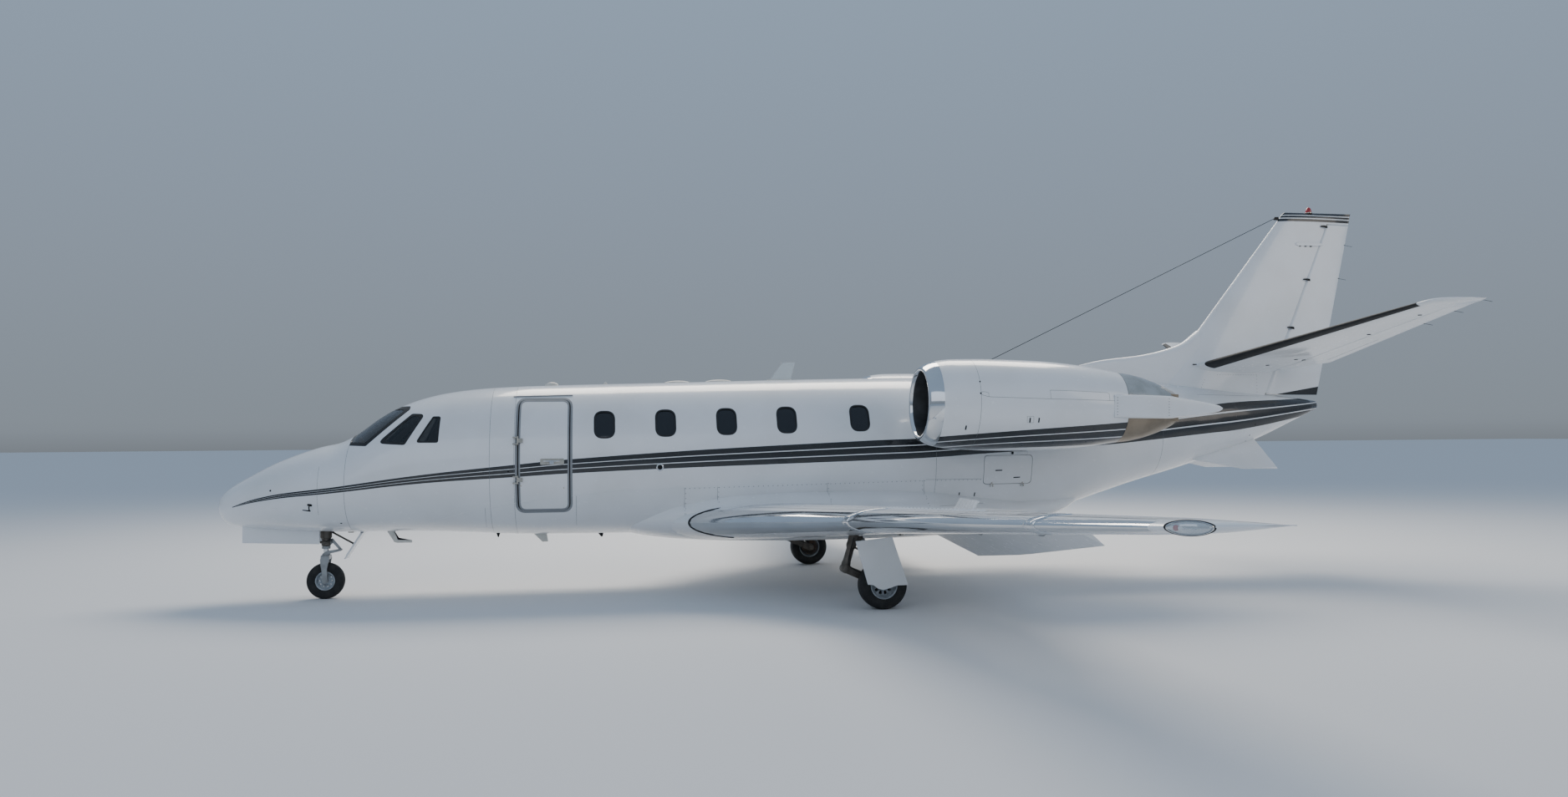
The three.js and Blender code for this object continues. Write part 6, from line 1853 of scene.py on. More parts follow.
def makeSeams():
    paths, marks = [], []
    for x in fuselageSeams["rings"]:
        ring = bodyRing(x, -0.6)
        paths.append(ring + ring[:1])
    creases = []
    for side in sideSigns.values():
        for line in fuselageSeams["lines"]:
            paths.append([at - normal * 0.0006 for at, normal in skinLine(line, side)])
        crease = [at - normal * 0.001 for at, normal in skinLine(fuselageSeams["crease"], side, 20)]
        ahead, aft = doorway["x0"] - doorway["frontGap"], doorway["x1"] + doorway["aftGap"]
        if side < 0:
            creases += [[p for p in crease if stationOf(p) < ahead],
                        [p for p in crease if stationOf(p) > aft]]
            doorCrease = [p for p in crease if doorway["x0"] + 4 < stationOf(p) < doorway["x1"] - 4]
        else:
            creases.append(crease)
        for line in fuselageSeams["rivetRows"]:
            marks += skinLine(line, side, fuselageSeams["pitch"])
    for name, side in sideSigns.items():
        for y, share0, share1 in ((1210, 0.02, 0.74), (5370, 0.1, 0.72), (2950, 0.25, 0.72)):
            paths.append([wingHit(name, y, share)[0] for share in between(share0, share1, 20)])
        paths.append([wingHit(name, y, 0.14)[0] for y in between(1300, 8200, 40)])
    laySeams("skinSeams", paths, jointSealant, "airframe", "white_paint", **seamSizes)
    laySeams("fairingEdge", creases, whitePaint, "airframe", "white_paint", Radius=0.004, Step=0.06)
    laySeams("doorCrease", [doorCrease], whitePaint, "cabin_door", "white_paint", Radius=0.004, Step=0.06)
    plantMarks("skinRivets", marks, rivetTree, screwSteel, "airframe", "white_paint", Radius=0.0055,
               Height=0.003)
    for name, side in sideSigns.items():
        around = [cowlSpot(side, cowlSeams["ring"], degrees, -0.8)[0] for degrees in between(0, 360, 90)]
        paths = [around]
        for line in [cowlSeams["split"]] + cowlSeams["doors"]:
            dense = []
            for (x0, a0), (x1, a1) in zip(line, line[1:]):
                dense += [(x0 + (x1 - x0) * k / 12, a0 + (a1 - a0) * k / 12) for k in range(13)]
            paths.append([cowlSpot(side, x, degrees, -0.8)[0] for x, degrees in dense])
        laySeams(f"{name}CowlSeams", paths, jointSealant, "airframe", "white_paint", **seamSizes)
        bits = []
        for x, degrees in cowlSeams["dots"]:
            at, facing = cowlSpot(side, x, degrees)
            corners = [(11 * math.cos(a), 11 * math.sin(a)) for a in turnAngles(12)]
            bits.append(patch(at, facing, Vector((1, 0, 0)), corners, 1.5))
        for x, top, foot in cowlSeams["latches"]:
            at, facing = cowlSpot(side, x, (top + foot) / 2)
            bits.append(patch(at, facing, Vector((1, 0, 0)), [(-8, -30), (8, -30), (8, 30), (-8, 30)], 3))
        fitParts(f"{name}CowlLatches", bits, "airframe", blackAnodised)
        place, heads = enginePlace(side), []
        for x in cowlSeams["fairingRivets"]:
            _, outside, half = [track(x) for track in fairingTracks]
            for out in (-1, 1):
                facing = place.to_3x3() @ Vector((0, out, 0))
                heads += [(place @ (Vector((x, out * outside, z)) / 1000), facing)
                          for z in between(-half * 0.7, half * 0.7, 6)]
        plantMarks(f"{name}FairingRivets", heads, rivetTree, screwSteel, "airframe", "white_paint",
                   Radius=0.006, Height=0.004)


makeSeams()
print("seams and rivets laid")

# Fittings on the outside
# cast acrylic over the lamps: clear, with a faint cool edge
lampAcrylic = plainMaterial("castAcrylic", "DCE6EA", 0.0,
                            {"size": 60, "roughness": 0.05, "spread": 0.02, "strength": 0.01, "depth": 0.1},
                            Alpha=0.32, IOR=1.49, **{"Coat Weight": 0.6, "Coat Roughness": 0.02})
# tinted polycarbonate lamp domes: clear deep colours with a wet gloss
redLens = plainMaterial("tintedRedPolycarbonate", "A8161C", 0.0,
                        {"size": 30, "roughness": 0.1, "spread": 0.03, "strength": 0.02, "depth": 0.1},
                        worn="7C0E12", wornSize=20, IOR=1.58,
                        **{"Coat Weight": 0.7, "Coat Roughness": 0.03})
greenLens = plainMaterial("tintedGreenPolycarbonate", "137A4A", 0.0,
                          {"size": 30, "roughness": 0.1, "spread": 0.03, "strength": 0.02, "depth": 0.1},
                          worn="0C5734", wornSize=20, IOR=1.58,
                          **{"Coat Weight": 0.7, "Coat Roughness": 0.03})
# phenolic aerial shells: warm off-white paint over cloth laminate, a little duller than the skin
aerialShell = plainMaterial("paintedPhenolicShell", "DEDCD4", 0.0,
                            {"size": 20, "roughness": 0.4, "spread": 0.06, "strength": 0.04, "depth": 0.2},
                            worn="B9B5A9", wornSize=90)
sideFittings = {
    "spots": [(738, 1395, 12), (1557, 985, 12), (3575, 1603, 10), (14077, 2381, 9), (13956, 2125, 9),
              (13891, 1970, 9), (13868, 1886, 9)],
    # dark latch plates: station, height, half length, half height
    "plates": [(9346, 1227, 7, 28), (9560, 1221, 7, 28)],
    "doorPlates": [(9865, 1536, 48, 7), (10130, 1440, 48, 7)],
    "port": {"at": (5417, 1633), "ring": 46, "hole": 30},
    "lightBlock": (790, 1172, 34, 16)}
probeShape = {"foot": (1226, 1222), "mast": [(1224, 1224), (1226, 1196), (1238, 1160)],
              "lifts": (-6, 34, 62), "tube": 9}
doorHandle = {"x0": 3956, "x1": 4243, "z0": 1680, "z1": 1756, "depth": 5, "block": (4066, 4122, 1684, 1728)}
# section points are off the skin and up along it
rainStrip = {"from": (3610, 2526), "to": (4340, 2542),
             "section": [(-2, -5), (13, -6), (15, -3), (13, 4), (3, 6), (-2, 6)]}
# side outlines on the centre line: station and height
bellyMasts = {"hook": [(1977, 868), (2069, 866), (2131, 719), (2305, 712), (2305, 682), (2118, 684),
                       (2086, 694)],
              "small": [(3345, 800), (3408, 800), (3384, 727), (3372, 727)],
              "swept": [(3800, 790), (3990, 788), (4010, 656), (3938, 654)],
              "short": [(4640, 772), (4730, 772), (4712, 706), (4690, 706)]}
roofDomes = [(3961, 4154, 46), (4722, 4780, 30), (5512, 5880, 27), (6060, 6444, 27)]
roofBlade = [(6936, 2745), (7122, 2995), (7160, 3012), (7307, 3012), (7235, 2750)]
roofBladeFoot = [(6905, 2752), (7265, 2757), (7250, 2780), (6925, 2776)]
wireAerial = {"from": (9560, 0, 2800), "to": (14560, 0, 5186), "radius": 4.5,
              # outline and half width of the anchor at each end
              "anchors": [([(9520, 2790), (9640, 2790), (9590, 2826), (9556, 2826)], 9),
                          ([(14520, 5150), (14610, 5150), (14600, 5200), (14540, 5196)], 8)]}
beaconShape = {"x": 15095, "z": 5262, "radius": 52, "height": 96}
finFittings = {"brackets": [(15317, 5059), (15004, 4261), (14718, 3544)], "side": 30,
               "vane": [(14799, 4786), (14850, 4812), (15240, 4800), (15292, 4788), (15180, 4766),
                        (14860, 4762)],
               "rivetRows": [[(13480, 2846), (14110, 2846)], [(14118, 2830), (14118, 2600)],
                             [(13275, 2772), (13190, 2590)]]}


def discPlate(at, facing, radius, thick):
    corners = [(radius * math.cos(a), radius * math.sin(a)) for a in turnAngles(24)]
    return patch(at, facing, Vector((1, 0, 0)), corners, thick)


def sideBlock(x, z, side, halfLength, halfHeight, thick, corner=3):
    at, facing = skinHit(x, z, side)
    outline = boxOutline(-halfLength, halfLength, -halfHeight, halfHeight, min(corner, halfHeight * 0.9), 4)
    return patch(at, facing, Vector((1, 0, 0)), outline, thick)


def makeSideFittings():
    dark, light, chrome = [], [], []
    for side in sideSigns.values():
        for x, z, radius in sideFittings["spots"]:
            dark.append(discPlate(*skinHit(x, z, side), radius, 1.5))
        for x, z, halfLength, halfHeight in sideFittings["plates"] if side < 0 else []:
            dark.append(sideBlock(x, z, side, halfLength, halfHeight, 3))
        x, z, halfLength, halfHeight = sideFittings["lightBlock"]
        light.append(sideBlock(x, z, side, halfLength, halfHeight, 8, 12))
        port = sideFittings["port"]
        at, facing = skinHit(*port["at"], side)
        turn = facingPlace(at, facing)
        ring, hole = port["ring"], port["hole"]
        chrome.append(turnedShape("ring",
                                  [(-3, hole), (-3, ring), (3, ring), (7, ring - 6), (7, hole + 5),
                                   (3, hole)], turn, 40))
        dark.append(discPlate(at, facing, hole + 1, 1.5))
        at, facing = skinHit(*probeShape["foot"], side)
        dark.append(patch(at, facing, Vector((1, 0, -0.1)), boxOutline(-30, 30, -14, 14, 12, 4), 4))
        reach = abs(at.y) * 1000
        tube = [(x, side * (reach + lift), z)
                for (x, z), lift in zip(probeShape["mast"], probeShape["lifts"])]
        dark.append(pipePiece(tube, probeShape["tube"] * 0.8, 14))
        x, y, z = tube[-1]
        dark.append(rodPiece((x + 14, y, z - 6), (x - 78, y, z + 6), probeShape["tube"], 6))
    light.append(sideBlock(10150, 1764, -1, 108, 24, 42, 10))
    dark.append(sideBlock(10052, 1764, -1, 12, 16, 38, 6))
    latches = [sideBlock(*plate[:2], -1, *plate[2:], 3) for plate in sideFittings["doorPlates"]]
    fitParts("baggageLatches", latches, "baggage_door", blackAnodised)
    fitParts("sidePorts", dark, "airframe", blackAnodised)
    fitParts("sideBlisters", light, "airframe", whitePaint)
    fitParts("portRims", chrome, "airframe", polishedMetal)

    handle = doorHandle
    outline = boxOutline(handle["x0"], handle["x1"], handle["z0"], handle["z1"], 16)
    rim = skinRim("handleTray", outline, -1, [(0, -2), (0, 2.5), (-8, 2.5), (-11, 0.8), (-11, -2)])
    inset = boxOutline(handle["x0"] + 9, handle["x1"] - 9, handle["z0"] + 9, handle["z1"] - 9, 8)
    plate = skinPatch("handlePlate", inset, -1, 1.2, -2)
    fitParts("doorHandleTray", [rim, plate], "cabin_door", brushedSteel, sharp=25)
    x0, x1, z0, z1 = handle["block"]
    at, facing = skinHit((x0 + x1) / 2, (z0 + z1) / 2, -1)
    grip = patch(at, facing, Vector((1, 0, 0)), boxOutline(-28, 28, -20, 20, 5, 4), 11)
    bar = patch(at + Vector((0, 0, 0.02)), facing, Vector((1, 0, 0)), boxOutline(-100, 96, -7, 7, 6, 4), 8)
    fitParts("doorHandleGrip", [grip, bar], "cabin_door", polishedMetal, sharp=25)
    finishPiece(joinObjects("doorPins", [discPlate(*skinHit(4238, 1392, -1), 9, 2),
                                         discPlate(*skinHit(3722, 1424, -1), 9, 2)]),
                "cabin_door", [brushedSteel])
    (x0, z0), (x1, z1) = rainStrip["from"], rainStrip["to"]
    rings = []
    for t in between(0, 1, 24):
        at, facing = skinHit(x0 + (x1 - x0) * t, z0 + (z1 - z0) * t, -1)
        up = facing.cross(Vector((1, 0, 0))).normalized()
        up = up if up.z > 0 else -up
        rings.append([at + (facing * a + up * b) / 1000 for a, b in rainStrip["section"]])
    finishPiece(joinObjects("rainStrip", [loftRings("strip", rings)]), "airframe", [greySeal])


def makeMasts():
    blades = [slab(bellyMasts[name], -half, half, 3) for name, half in (("hook", 9), ("swept", 8))]
    fitParts("bellyBlades", blades, "airframe", aerialShell)
    small = [slab(bellyMasts[name], -5, 5, 2) for name in ("small", "short")]
    fitParts("bellyDrains", small, "airframe", blackAnodised)
    domes = []
    for x0, x1, height in roofDomes:
        rings = []
        for t in between(0, 1, 16)[1:-1]:
            x = x0 + (x1 - x0) * t
            swell = math.sqrt(1 - (2 * t - 1) ** 2)
            half, top = (60 if x1 - x0 > 100 else 12) * swell, sectionAt(x)[0]
            rings.append([spot(x, half * math.cos(a),
                               top - 8 + (height + 8) * swell ** 1.2 * max(math.sin(a), 0) ** 0.7)
                          for a in between(0, math.pi, 12)])
        domes.append(loftRings("dome", rings))
    fitParts("roofDomes", domes, "airframe", aerialShell)
    finishPiece(slab(roofBlade, -7, 7, 4, name="roofBlade"), "airframe", [lampAcrylic])
    finishPiece(slab(roofBladeFoot, -24, 24, 6, name="roofBladeFoot"), "airframe",
                [aerialShell])
    wire = wireAerial
    finishPiece(rodPiece(wire["from"], wire["to"], wire["radius"], edge=1, around=10, name="wireAerial"),
                "airframe", [blackAnodised])
    ends = [slab(outline, -half, half, 3) for outline, half in wire["anchors"]]
    fitParts("aerialAnchors", ends, "airframe", blackAnodised)
    beacon = beaconShape
    place = aimed((beacon["x"], 0, beacon["z"]), (beacon["x"], 0, beacon["z"] + 100))
    dome = [(12, beacon["radius"] - 8)] + [(12 + (beacon["height"] - 12) * math.sin(a),
                                            (beacon["radius"] - 8) * math.cos(a))
                                           for a in between(0, math.pi / 2, 9)[1:]]
    finishPiece(turnedShape("beaconDome", [(12, 0)] + dome[:-1] + [(beacon["height"], 0)], place, 32),
                "airframe", [redLens])
    base = [(0, 0), (0, beacon["radius"]), (10, beacon["radius"]), (14, beacon["radius"] - 6), (14, 0)]
    finishPiece(turnedShape("beaconBase", base, place, 40), "airframe", [brushedSteel])


def finHit(x, z, side):
    at, normal, _, _ = finSource["tree"].ray_cast(spot(x, side * 600, z), Vector((0, -side, 0)))
    return at, normal if normal.y * side > 0 else -normal


def makeTailFittings():
    dark, light, marks, tabs = [], [], [], []
    for name, side in sideSigns.items():
        for x, z in finFittings["brackets"]:
            at, _ = finHit(x - 60, z, side)
            y = abs(at.y) * 1000 - 6
            outline = [(x - 66, z + 14), (x - 8, z + 18), (x + 30, z + 12), (x + 34, z - 22),
                       (x + 20, z - 22), (x - 66, z - 2)]
            outer = y + finFittings["side"] + 4
            dark.append(slab(outline[:2] + outline[-1:], side * y, side * outer, 3))
            dark.append(slab(outline, side * (outer - 10), side * outer, 3))
        vane = finFittings["vane"]
        at, _ = finHit(15000, 4786, side)
        y = abs(at.y) * 1000 - 14
        light.append(slab(roundCorners(vane, 10, 3), side * y, side * (y + 40), 8))
        for k in range(3):
            dark.append(slab([(14880 + k * 90, 4752), (14906 + k * 90, 4752), (14906 + k * 90, 4764),
                              (14880 + k * 90, 4764)],
                             side * y, side * (y + 30), 2))
        for row in finFittings["rivetRows"]:
            (x0, z0), (x1, z1) = row
            count = round(math.dist(*row) / 42)
            marks += [finHit(x, z, side) for x, z in zip(between(x0, x1, count), between(z0, z1, count))]
        stub, _ = finHit(13150, 2995, side)
        reach = abs(stub.y) * 1000
        dark.append(rodPiece((13130, side * (reach - 4), 2995), (13130, side * (reach + 44), 2995), 7,
                             around=14))
        dark.append(rodPiece((13150, side * (reach + 40), 2995), (13090, side * (reach + 40), 2995), 8,
                             around=14))
        rows = tailplaneShape["rows"]
        for y, share in ((500, 0.4), (760, 0.52), (700, 0.62), (1900, 0.56), (2700, 0.5)):
            row = rowAt(rows, y)
            x = row[1] + share * (row[2] - row[1])
            under = row[3] - halfThickness(share) * row[4]
            dark.append(slab([(x - 26, under - 9), (x + 26, under - 5), (x + 26, under + 5),
                              (x - 26, under + 5)],
                             side * (y - 6), side * (y + 6), 2))
        body = f"{name}_elevator"
        tabLine = []
        for y, share in ((560, 0.82), (560, 0.9), (1560, 0.9), (1560, 0.82)):
            row = rowAt(rows, y)
            hinge = tailplaneShape["hinge"]
            x = row[1] + share * (row[2] - row[1])
            back = (share - hinge) / (1 - hinge)
            t = halfThickness(hinge) * row[4] * (1 - back) + 3 * back
            tabLine.append((x, y * side, row[3], t))
        for up in (1, -1):
            tabs.append((body, [spot(x, y, z + up * (t - 0.5)) for x, y, z, t in tabLine[1:3]]))
    fitParts("tailBrackets", dark, "airframe", blackAnodised)
    fitParts("finVanes", light, "airframe", whitePaint)
    plantMarks("finRivets", marks, rivetTree, screwSteel, "airframe", "white_paint", Radius=0.005,
               Height=0.003)
    for name in sideSigns:
        lines = [line for body, line in tabs if body == f"{name}_elevator"]
        laySeams(f"{name}TabLine", lines, jointSealant, f"{name}_elevator", "white_paint", **seamSizes)


def makeWicks():
    rows = tailplaneShape["rows"]
    aft = Vector((1, 0, -0.16)).normalized()
    for name, side in sideSigns.items():
        tips = [rowAt(wingShape["rows"], y) for y in (5700, 6400, 7100, 7800)]
        marks = [(spot(row[2] - 4, row[0] * side, row[3]), aft) for row in tips]
        plantMarks(f"{name}WingWicks", marks, wickTree, blackAnodised, f"{name}_aileron", "bare_metal",
                   Radius=0.0025, Length=0.15)
        marks = [(spot(rowAt(rows, y)[2] - 4, y * side, rowAt(rows, y)[3]), aft) for y in (2240, 2760)]
        plantMarks(f"{name}ElevatorWicks", marks, wickTree, blackAnodised, f"{name}_elevator", "bare_metal",
                   Radius=0.0025, Length=0.13)
        row = rowAt(rows, 3200)
        marks = [(spot(row[2] - 4, 3200 * side, row[3]), aft)]
        plantMarks(f"{name}TipWick", marks, wickTree, blackAnodised, "airframe", "bare_metal",
                   Radius=0.0025, Length=0.15)
    marks = [(spot(finFoil(z)[1] - 4, 0, z), aft) for z in (4300, 4800)]
    plantMarks("rudderWicks", marks, wickTree, blackAnodised, "rudder", "bare_metal", Radius=0.0025,
               Length=0.13)


collarShape = {"places": [2960, 6790], "top": 0.26, "under": 0.13,
               "profile": [(0, -3), (0, 5), (8, 8), (24, 8), (30, 4), (62, 4), (68, 7), (84, 7), (90, 4),
                           (122, 4), (128, 8), (146, 8), (152, -3)]}
rootSeal = {"place": 1000, "top": 0.1, "under": 0.15,
            "profile": [(0, -3), (0, 4), (5, 8), (17, 8), (22, 4), (22, -3)]}
finRow = {"from": 3250, "to": 5600, "share": 0.19, "pitch": 98, "length": 0.062, "height": 0.022,
          "toe": 0.26}
brakePlate = {"x": 8545, "from": 2960, "to": 3560, "rise": 128, "lean": 78, "thick": 12, "holes": 6}
tipLens = {"middle": (8210, 8512), "along": (0.856, 0.517), "outward": (-0.517, 0.856), "half": 140,
           "z": 1438, "height": 46, "bulge": 54, "fall": 14, "swell": 20}


def foilSkin(y, share, up, lift=0.0):
    row = rowAt(wingShape["rows"], y)
    chord = row[2] - row[1]
    step = 0.002
    here, there = [(u * chord, halfThickness(u) * row[4]) for u in (max(share, 0), max(share, 0) + step)]
    along = Vector((there[0] - here[0], there[1] - here[1])).normalized()
    normal = Vector((-along.y, along.x))
    x, z = here[0] + normal.x * lift, here[1] + normal.y * lift
    return row[1] + x, up * z + row[3]


def edgeBand(title, shape, y0, side):
    # a band wrapped round the leading edge at one place along the span
    rings = []
    for k in range(-16, 17):
        share = (abs(k) / 16) ** 2 * (shape["top"] if k > 0 else shape["under"])
        up = 1 if k >= 0 else -1
        rings.append([spot(x, (y0 + across) * side, z) for across, lift in shape["profile"]
                      for x, z in [foilSkin(y0 + across, share, up, lift)]])
    return loftRings(title, rings)


def makeWingFittings(name, side):
    bands = [edgeBand("collar", collarShape, y0, side) for y0 in collarShape["places"]]
    fitParts(f"{name}EdgeCollars", bands, "airframe", polishedMetal, sharp=25)
    finishPiece(edgeBand(f"{name}RootSeal", rootSeal, rootSeal["place"], side), "airframe",
                [blackRubber], sharp=25)
    count = round((finRow["to"] - finRow["from"]) / finRow["pitch"])
    marks = []
    for k in range(count + 1):
        at, facing = wingHit(name, finRow["from"] + k * finRow["pitch"], finRow["share"])
        marks.append((at + facing * finRow["height"] * 0.48, facing, finRow["toe"] * side))
    plantMarks(f"{name}VortexFins", marks, finTree, whitePaint, "airframe", "white_paint", sharp=10,
               Length=finRow["length"], Height=finRow["height"])
    strip = []
    for y in between(finRow["from"] - 60, finRow["to"] + 60, 30):
        section = []
        for d, lift in ((-0.026, -1), (-0.026, 1.2), (0.026, 1.2), (0.026, -1)):
            at, facing = wingHit(name, y, finRow["share"] + d)
            section.append(at + facing * lift / 1000)
        strip.append(section)
    finishPiece(loftRings(f"{name}FinStrip", strip), "airframe", [whitePaint], sharp=20)
    plate = brakePlate
    row = rowAt(wingShape["rows"], plate["from"])
    foot = wingHit(name, plate["from"] + 100, (plate["x"] - row[1]) / (row[2] - row[1]))[0].z * 1000
    bits = []
    lean, rise = plate["lean"], plate["rise"]
    for k in range(plate["holes"]):
        y0 = plate["from"] + k * 100
        panel = [(plate["x"], foot - 8), (plate["x"] + lean, foot + rise),
                 (plate["x"] + lean + plate["thick"], foot + rise - 4),
                 (plate["x"] + plate["thick"], foot - 10)]
        bits.append(slab(panel, side * (y0 + 6), side * (y0 + 94), 2))
    for share in (0.08, 0.5, 0.92):
        u, v = plate["x"] + lean * share, foot + rise * share
        bits.append(slab([(u + 5, v - 12), (u + 12, v + 10), (u + 24, v + 6), (u + 17, v - 16)],
                         side * plate["from"], side * plate["to"], 2))
    fitParts(f"{name}BrakePlate", bits, "airframe", whitePaint)
    seams = []
    for x0, x1, y0, y1 in ((plate["x"] - 14, plate["x"] + 150, plate["from"] - 14, plate["to"] + 14),
                           (7950, 8200, 3600, 3850), (7980, 8160, 6300, 6480)):
        corners = [(x0, y0), (x1, y0), (x1, y1), (x0, y1), (x0, y0)]
        path = []
        for (xa, ya), (xb, yb) in zip(corners, corners[1:]):
            for t in between(0, 1, 10):
                x, y = xa + (xb - xa) * t, ya + (yb - ya) * t
                row = rowAt(wingShape["rows"], y)
                path.append(wingHit(name, y, (x - row[1]) / (row[2] - row[1]))[0])
        seams.append(path)
    laySeams(f"{name}WingPanels", seams, jointSealant, "airframe", "white_paint", **seamSizes)
    lens = tipLens
    middle, along, outward = Vector(lens["middle"]), Vector(lens["along"]), Vector(lens["outward"])

    def lensSpot(u, v, lift):
        # shares of the lens's half length and half height, and millimetres off the tip
        rise = lens["bulge"] * (1 - u * u) + lift - lens["fall"] * v * v
        x, y = middle + along * u * lens["half"] + outward * rise
        return spot(x, y * side, lens["z"] + v * lens["height"])

    def lensRing(share, lift, around=48):
        return [lensSpot(share * math.cos(a), share * math.sin(a), lift) for a in turnAngles(around)]

    shell = [lensRing(0.93 * math.sin(t), lens["swell"] * math.cos(t))
             for t in between(0, math.pi / 2, 8)[1:]]
    shell.append(lensRing(0.93, -20))
    finishPiece(loftRings(f"{name}TipLens", shell), "airframe", [lampAcrylic])
    rim = [lensRing(grow, lift)
           for grow, lift in ((0.93, 2), (0.95, 6), (1.0, 5), (1.03, -3), (1.03, -26), (0.93, -26))]
    finishPiece(loftRings(f"{name}TipLensRim", rim, wrap=True), "airframe", [polishedMetal])
    gasket = [lensRing(grow, lift)
              for grow, lift in ((1.02, 0), (1.03, 3), (1.09, 1), (1.1, -8), (1.02, -8))]
    finishPiece(loftRings(f"{name}TipLensGasket", gasket, wrap=True), "airframe",
                [blackRubber])
    back = [lensRing(share, lift, 32) for share, lift in ((0.3, 1), (0.7, -1), (0.92, -6), (0.92, -14))]
    finishPiece(loftRings(f"{name}LampReflector", back), "airframe", [polishedMetal])
    for label, share, radius, finish in (("Position", -0.55, 19, redLens if side < 0 else greenLens),
                                         ("Strobe", 0.2, 15, lampAcrylic)):
        dome = [(0, 0), (0, radius)]
        dome += [(2 + radius * 0.6 * math.sin(a), radius * math.cos(a))
                 for a in between(0, math.pi / 2, 7)[:-1]]
        foot, tip = lensSpot(share, 0, -3), lensSpot(share, 0, 30)
        lamp = turnedShape(f"{name}{label}Lamp", dome + [(2 + radius * 0.6, 0)],
                           facingPlace(foot, tip - foot), 24)
        finishPiece(lamp, "airframe", [finish])


makeSideFittings()
makeMasts()
makeTailFittings()
makeWicks()
for name, side in sideSigns.items():
    makeWingFittings(name, side)
print("outside fittings placed")

# Hinges, brackets and jacking pads
hingePins = {"aileron": 10, "tailplane": 13, "rudder": 14, "half": 56}
jackPads = {"wing": (8350, 1500, 770, 45), "nose": (1560, 860, 825, 36)}
doorHinge = {"x": 3686, "y": -952, "radius": 8, "heights": (1500, 1980), "knuckle": 29.8, "pin": (30.3, 50),
             "strap": 26, "ear": (32, 48), "reach": 60, "sunk": 30}
bagHinge = {"z": 1356, "radius": 3, "stations": (9780, 10220), "half": 11.7, "pins": (12.3, 22), "leaf": 9,
            "lugs": (14, 21)}


def hingeRods(start, end, radius):
    first, last = Vector(start), Vector(end)
    along = (last - first).normalized() * hingePins["half"]
    return [rodPiece(tuple(at - along), tuple(at + along), radius, edge=2, around=16)
            for at in (first, last)]


def makeHinges():
    rods = hingeRods(*[(x, 0, z) for x, z in (finShape["foot"], finShape["head"])], hingePins["rudder"])
    for side in sideSigns.values():
        for rows, shape, radius in ((wingShape["rows"], aileronShape, "aileron"),
                                    (tailplaneShape["rows"], tailplaneShape, "tailplane")):
            ends = []
            for y in (shape["inner"], shape["outer"]):
                row = rowAt(rows, y)
                ends.append((row[1] + shape["hinge"] * (row[2] - row[1]), y * side, row[3]))
            rods += hingeRods(*ends, hingePins[radius])
    fitParts("hingePins", rods, "airframe", brushedSteel)


def plateAcross(at, axis, d0, d1, outline, place=Matrix.Identity(4)):
    # an upright plate of stations and heights, from d0 to d1 along a hinge line
    rings = [[place @ spot(x, at.y, z) + axis * d / 1000 for x, z in roundCorners(outline, 9, 3)]
             for d in (d0, d1)]
    return loftRings("plate", rings)


def makeFlapBrackets(name, side):
    fixed, moving = [], []
    lower = flapDrop(side)
    start, end = [Vector((p.x * 1000 + overallLength / 2, p.y * 1000, p.z * 1000))
                  for p in flapPivots(side)]
    axis = (end - start).normalized()
    for share in flapShape["brackets"]:
        at = start.lerp(end, share)
        row, front, half = flapPlace(abs(at.y))
        under = row[3] - half(front)
        hanger = [(front - 230, under + 50), (front - 8, under + 50), (front - 8, under - 14),
                  (at.x + 14, at.z + 16), (at.x + 4, at.z - 22), (front - 190, under - 24)]
        fixed.append(plateAcross(at, axis, 4, 18, hanger))
        fixed.append(rodPiece(tuple(at + axis * 0.5), tuple(at + axis * 22), 25, edge=2, around=24))
        arm = [(at.x - 14, at.z), (at.x + 16, at.z), (front + 190, under + 40), (front + 70, under + 40)]
        moving.append(plateAcross(at, axis, -18, -4, arm, lower))
        moving.append(rodPiece(tuple(at - axis * 0.5), tuple(at - axis * 22), 25, edge=2, around=24))
    fitParts(f"{name}FlapHangers", fixed, "airframe", gearEnamel)
    fitParts(f"{name}FlapArms", moving, f"{name}_flap", gearEnamel)


